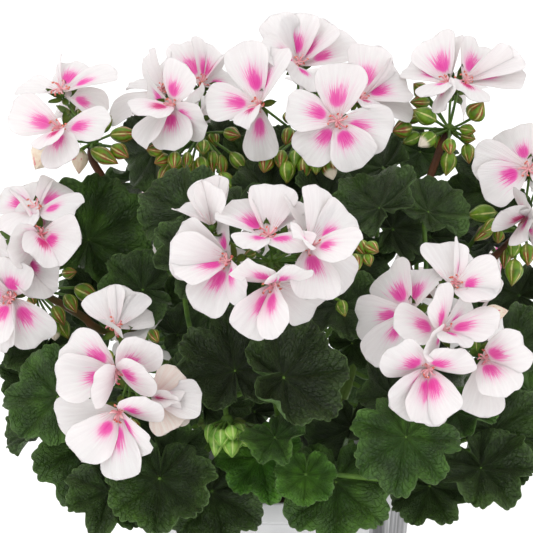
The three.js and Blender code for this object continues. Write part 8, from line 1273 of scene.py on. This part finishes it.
# leaves whose fine blade is a little wider or narrower than the plain one
WIDER = {("main_stem", 3): 1.15, ("branch_5", 1): 1.10, ("main_stem", 1): 1.10, ("main_stem", 0): 1.04, ("leaf_bottom_left", 0): 1.06,
         ("leaf_bottom_left_curled", 0): 1.02, ("leaf_bottom_right", 0): 1.10, ("leaf_right_edge_low", 0): 1.06, ("branch_2", 1): 1.12,
         ("leaf_right_small", 0): 1.12, ("branch_5", 3): 1.06, ("leaf_top_far_right", 0): 1.05, ("leaf_top_right", 0): 1.06,
         ("leaf_left_inner", 0): 0.96, ("leaf_bottom_left_inner", 0): 0.97,
         ("leaf_left_low", 0): 1.05, ("leaf_left_edge", 0): 1.14, ("leaf_right_low", 0): 1.05, ("leaf_right_outer", 0): 1.06}


def widened(L, key):
    return [L[0], L[1], L[2], [L[3][0] * WIDER.get(key, 1.0)] + list(L[3][1:]), L[4]]


def put(st, node, mats):
    ob = st.make("look_" + node, mats)
    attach(ob, "root")
    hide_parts(node)
    return ob


def petiole(st, L):
    p = spline(L[4], 20)
    tube_mesh(st, p, np.linspace(1.05, 1.4, 21), 1, 7, (0.15, 0.5, 0))


for i, H in enumerate(HEADS):
    st = Store()
    head_mesh(st, H, i + 1)
    put(st, H[0], HEAD_MATS)

for i, (name, L) in enumerate(LEAVES):
    st = Store()
    g = rng(500 + i)
    leaf_mesh(st, widened(L, (name, 0)), 0, 189, 9, LEAF_TONE_AND_PAINTED_LIGHT.get(name, 0.10 + 0.25 * g.uniform()), i + 1)
    petiole(st, L)
    put(st, name, [LEAF, GREEN])

for i, (name, path, r, leaves) in enumerate(STEMS):
    st = Store()
    p = spline(path, 24)
    rad = np.linspace(r[0], r[1], 25) * (1 + 0.05 * np.sin(np.arange(25) * 1.9 + i))
    if i == 0:
        p = np.concatenate([[[0, 0, 74.0], [0, 0, 88.0]], p])
        rad = np.concatenate([[r[0] * 0.6, r[0] * 0.8], rad])
    tube_mesh(st, p, rad, 2, 16, (0.3, 0.5, 0))
    for j, L in enumerate(leaves):
        g = rng(900 + i * 40 + j)
        leaf_mesh(st, widened(L, (name, j)), 0, 152, 7, 0.55 * g.uniform() ** 2 - 0.16, 100 + i * 40 + j)
        petiole(st, L)
    put(st, name, [LEAF, GREEN, STEM])


# ------------------------------------------------------------------ pot: rolled rim, drain holes, foot
def lathe(st, prof, n, mat):
    """a closed body turned round Z; prof runs from the axis to the axis"""
    pts, faces = [(0, 0, prof[0][1])], []
    for r, z in prof[1:-1]:
        for k in range(n):
            a = 2 * math.pi * k / n
            pts.append((r * math.cos(a), r * math.sin(a), z))
    pts.append((0, 0, prof[-1][1]))
    m = len(prof) - 2
    for k in range(n):
        faces.append((0, 1 + (k + 1) % n, 1 + k))
        faces.append((len(pts) - 1, 1 + (m - 1) * n + k, 1 + (m - 1) * n + (k + 1) % n))
    faces += grid_faces(m, n, 1, wrap=True)
    st.add(pts, faces, mat)


zb = POT_HEIGHT - RIM_BAND
st = Store()
inBase, inNeck = POT_BASE_R - WALL, POT_NECK_R - WALL
prof = [(0, 0.0), (POT_BASE_R - 2.0, 0.0), (POT_BASE_R - 1.0, 0.12), (POT_BASE_R - 0.25, 0.7), (POT_BASE_R + 0.1, 1.6)]
for k in range(1, 12):
    f = k / 12
    prof.append((POT_BASE_R + (POT_NECK_R - POT_BASE_R) * f, zb * f))
prof += [(POT_NECK_R, zb - 0.6), (POT_NECK_R + 0.3, zb - 0.05), (POT_RIM_R - 0.6, zb), (POT_RIM_R - 0.12, zb + 0.25), (POT_RIM_R, zb + 0.8),
         (POT_RIM_R, POT_HEIGHT - 1.0), (POT_RIM_R - 0.15, POT_HEIGHT - 0.35), (POT_RIM_R - 0.6, POT_HEIGHT), (POT_RIM_R - WALL + 0.4, POT_HEIGHT),
         (POT_RIM_R - WALL, POT_HEIGHT - 0.4), (POT_RIM_R - WALL - 0.1, POT_HEIGHT - 4.0), (inNeck + 0.2, zb - 1.5), (inNeck, zb - 2.2), (inBase, FLOOR), (0, FLOOR)]
lathe(st, prof, 160, 0)
body = st.make("pot_body", [POT])
cutters = []
for k in range(DRAIN_HOLES):
    a = (k + 0.5) * 2 * math.pi / DRAIN_HOLES
    sc = Store()
    lathe(sc, [(0, -3), (DRAIN_R, -3), (DRAIN_R, FLOOR + 3), (0, FLOOR + 3)], 28, 0)
    c = sc.make("cut", [POT])
    c.location = (DRAIN_RING * math.cos(a) * MM, DRAIN_RING * math.sin(a) * MM, 0)
    cutters.append(c)
    md = body.modifiers.new("hole", "BOOLEAN")
    md.operation, md.object, md.solver = "DIFFERENCE", c, "EXACT"
bpy.context.view_layer.update()
dg = bpy.context.evaluated_depsgraph_get()
me = bpy.data.meshes.new_from_object(body.evaluated_get(dg))
pot = bpy.data.objects.new("look_pot", me)
bpy.context.scene.collection.objects.link(pot)
for o in [body] + cutters:
    bpy.data.objects.remove(o, do_unlink=True)
for p in me.polygons:
    p.use_smooth = abs(p.normal.z) < 0.9 or p.center.z > 0.1
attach(pot, "root")
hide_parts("pot")

# ------------------------------------------------------------------ soil: a lumpy bed with crumbs and white grit
st = Store()
n, m = 120, 26
g = rng(77)
ph = g.uniform(0, 6.28, 12)
wall = lambda z: POT_BASE_R - WALL + (POT_NECK_R - POT_BASE_R) * (z - FLOOR) / (zb - 2 - FLOOR)
pts, faces = [], []
th = np.arange(n) * 2 * math.pi / n
for i in range(1, m + 1):
    f = i / m
    r = f * (wall(SOIL_TOP) - 0.5)
    x, y = r * np.cos(th), r * np.sin(th)
    z = SOIL_TOP - 0.6 + 0.5 * np.sin(x * 0.31 + ph[0]) * np.sin(y * 0.27 + ph[1]) + 0.35 * np.sin(x * 0.9 + ph[2] + y * 0.5) + 0.3 * np.sin(y * 1.3 + ph[3] - x * 0.7)
    z = z + g.uniform(-0.35, 0.35, n)
    z = z - 1.2 * np.clip((f - 0.9) / 0.1, 0, 1)
    pts += list(zip(x, y, z))
top0 = SOIL_TOP - 0.5
zlow = FLOOR + 0.6
pts = [(0, 0, top0)] + pts
rb = wall(zlow) - 0.5
pts += [(rb * math.cos(a), rb * math.sin(a), zlow) for a in th] + [(0, 0, zlow)]
for k in range(n):
    faces.append((0, 1 + k, 1 + (k + 1) % n))
    faces.append((len(pts) - 1, 1 + m * n + (k + 1) % n, 1 + m * n + k))
faces += grid_faces(m + 1, n, 1, wrap=True, flip=True)
st.add(pts, faces, 0)
for k in range(420):
    r = (wall(SOIL_TOP) - 3.5) * math.sqrt(g.uniform(0.03, 1))
    a = g.uniform(0, 2 * math.pi)
    s = g.uniform(0.5, 1.5)
    ball_mesh(st, (r * math.cos(a), r * math.sin(a), SOIL_TOP - 0.5 + s * 0.25), s, 1 if k % 14 == 0 else 0, 6, 4, rough=0.3, seed=4000 + k, squash=g.uniform(0.5, 0.9), axis=g.uniform(-1, 1, 3))
put(st, "soil", [SOIL, PERLITE])

# ------------------------------------------------------------------ floor, light, camera
scene = bpy.context.scene
me = bpy.data.meshes.new("floor")
s = 9.0
me.from_pydata([(-s, -s, -0.0002), (s, -s, -0.0002), (s, s, -0.0002), (-s, s, -0.0002)], [], [(0, 1, 2, 3)])
floor = bpy.data.objects.new("floor", me)
scene.collection.objects.link(floor)
t = NT("floor_white")
t.done(t.mix(t.noise(t.coord(), 3.0, 2.0), srgb(236, 236, 236), srgb(240, 240, 240)), 0.85, spec=0.1)
t.p.inputs["Emission Color"].default_value = (1, 1, 1, 1)
t.p.inputs["Emission Strength"].default_value = 0.30
me.materials.append(t.m)

world = bpy.data.worlds.new("studio")
scene.world = world
world.use_nodes = True
world.node_tree.nodes["Background"].inputs[0].default_value = (1, 1, 1, 1)
world.node_tree.nodes["Background"].inputs[1].default_value = 1.05


def lamp(name, loc, size, power, target=(0, 0, 0.2)):
    l = bpy.data.lights.new(name, "AREA")
    l.size, l.energy = size, power
    o = bpy.data.objects.new(name, l)
    scene.collection.objects.link(o)
    o.location = loc
    o.rotation_euler = (Vector(target) - Vector(loc)).to_track_quat("-Z", "Y").to_euler()


lamp("key", (-0.7, -0.9, 1.5), 0.60, 4.0)
lamp("fill", (0.9, -1.1, 0.9), 0.9, 1.2)
lamp("low", (-1.0, -1.3, 0.15), 0.9, 1.4)

cam = bpy.data.cameras.new("camera")
camera = bpy.data.objects.new("camera", cam)
scene.collection.objects.link(camera)
cam.sensor_width, cam.lens = 36.0, 135.0
cam.clip_start, cam.clip_end = 0.05, 60.0
look = Vector((0.0, math.cos(9 * DEG), -math.sin(9 * DEG)))
camera.location = Vector((-0.00525, 0.0, 0.2203)) - look * 1.0
camera.rotation_euler = look.to_track_quat("-Z", "Y").to_euler()
scene.camera = camera

scene.view_settings.view_transform = "Standard"
scene.view_settings.look = "None"
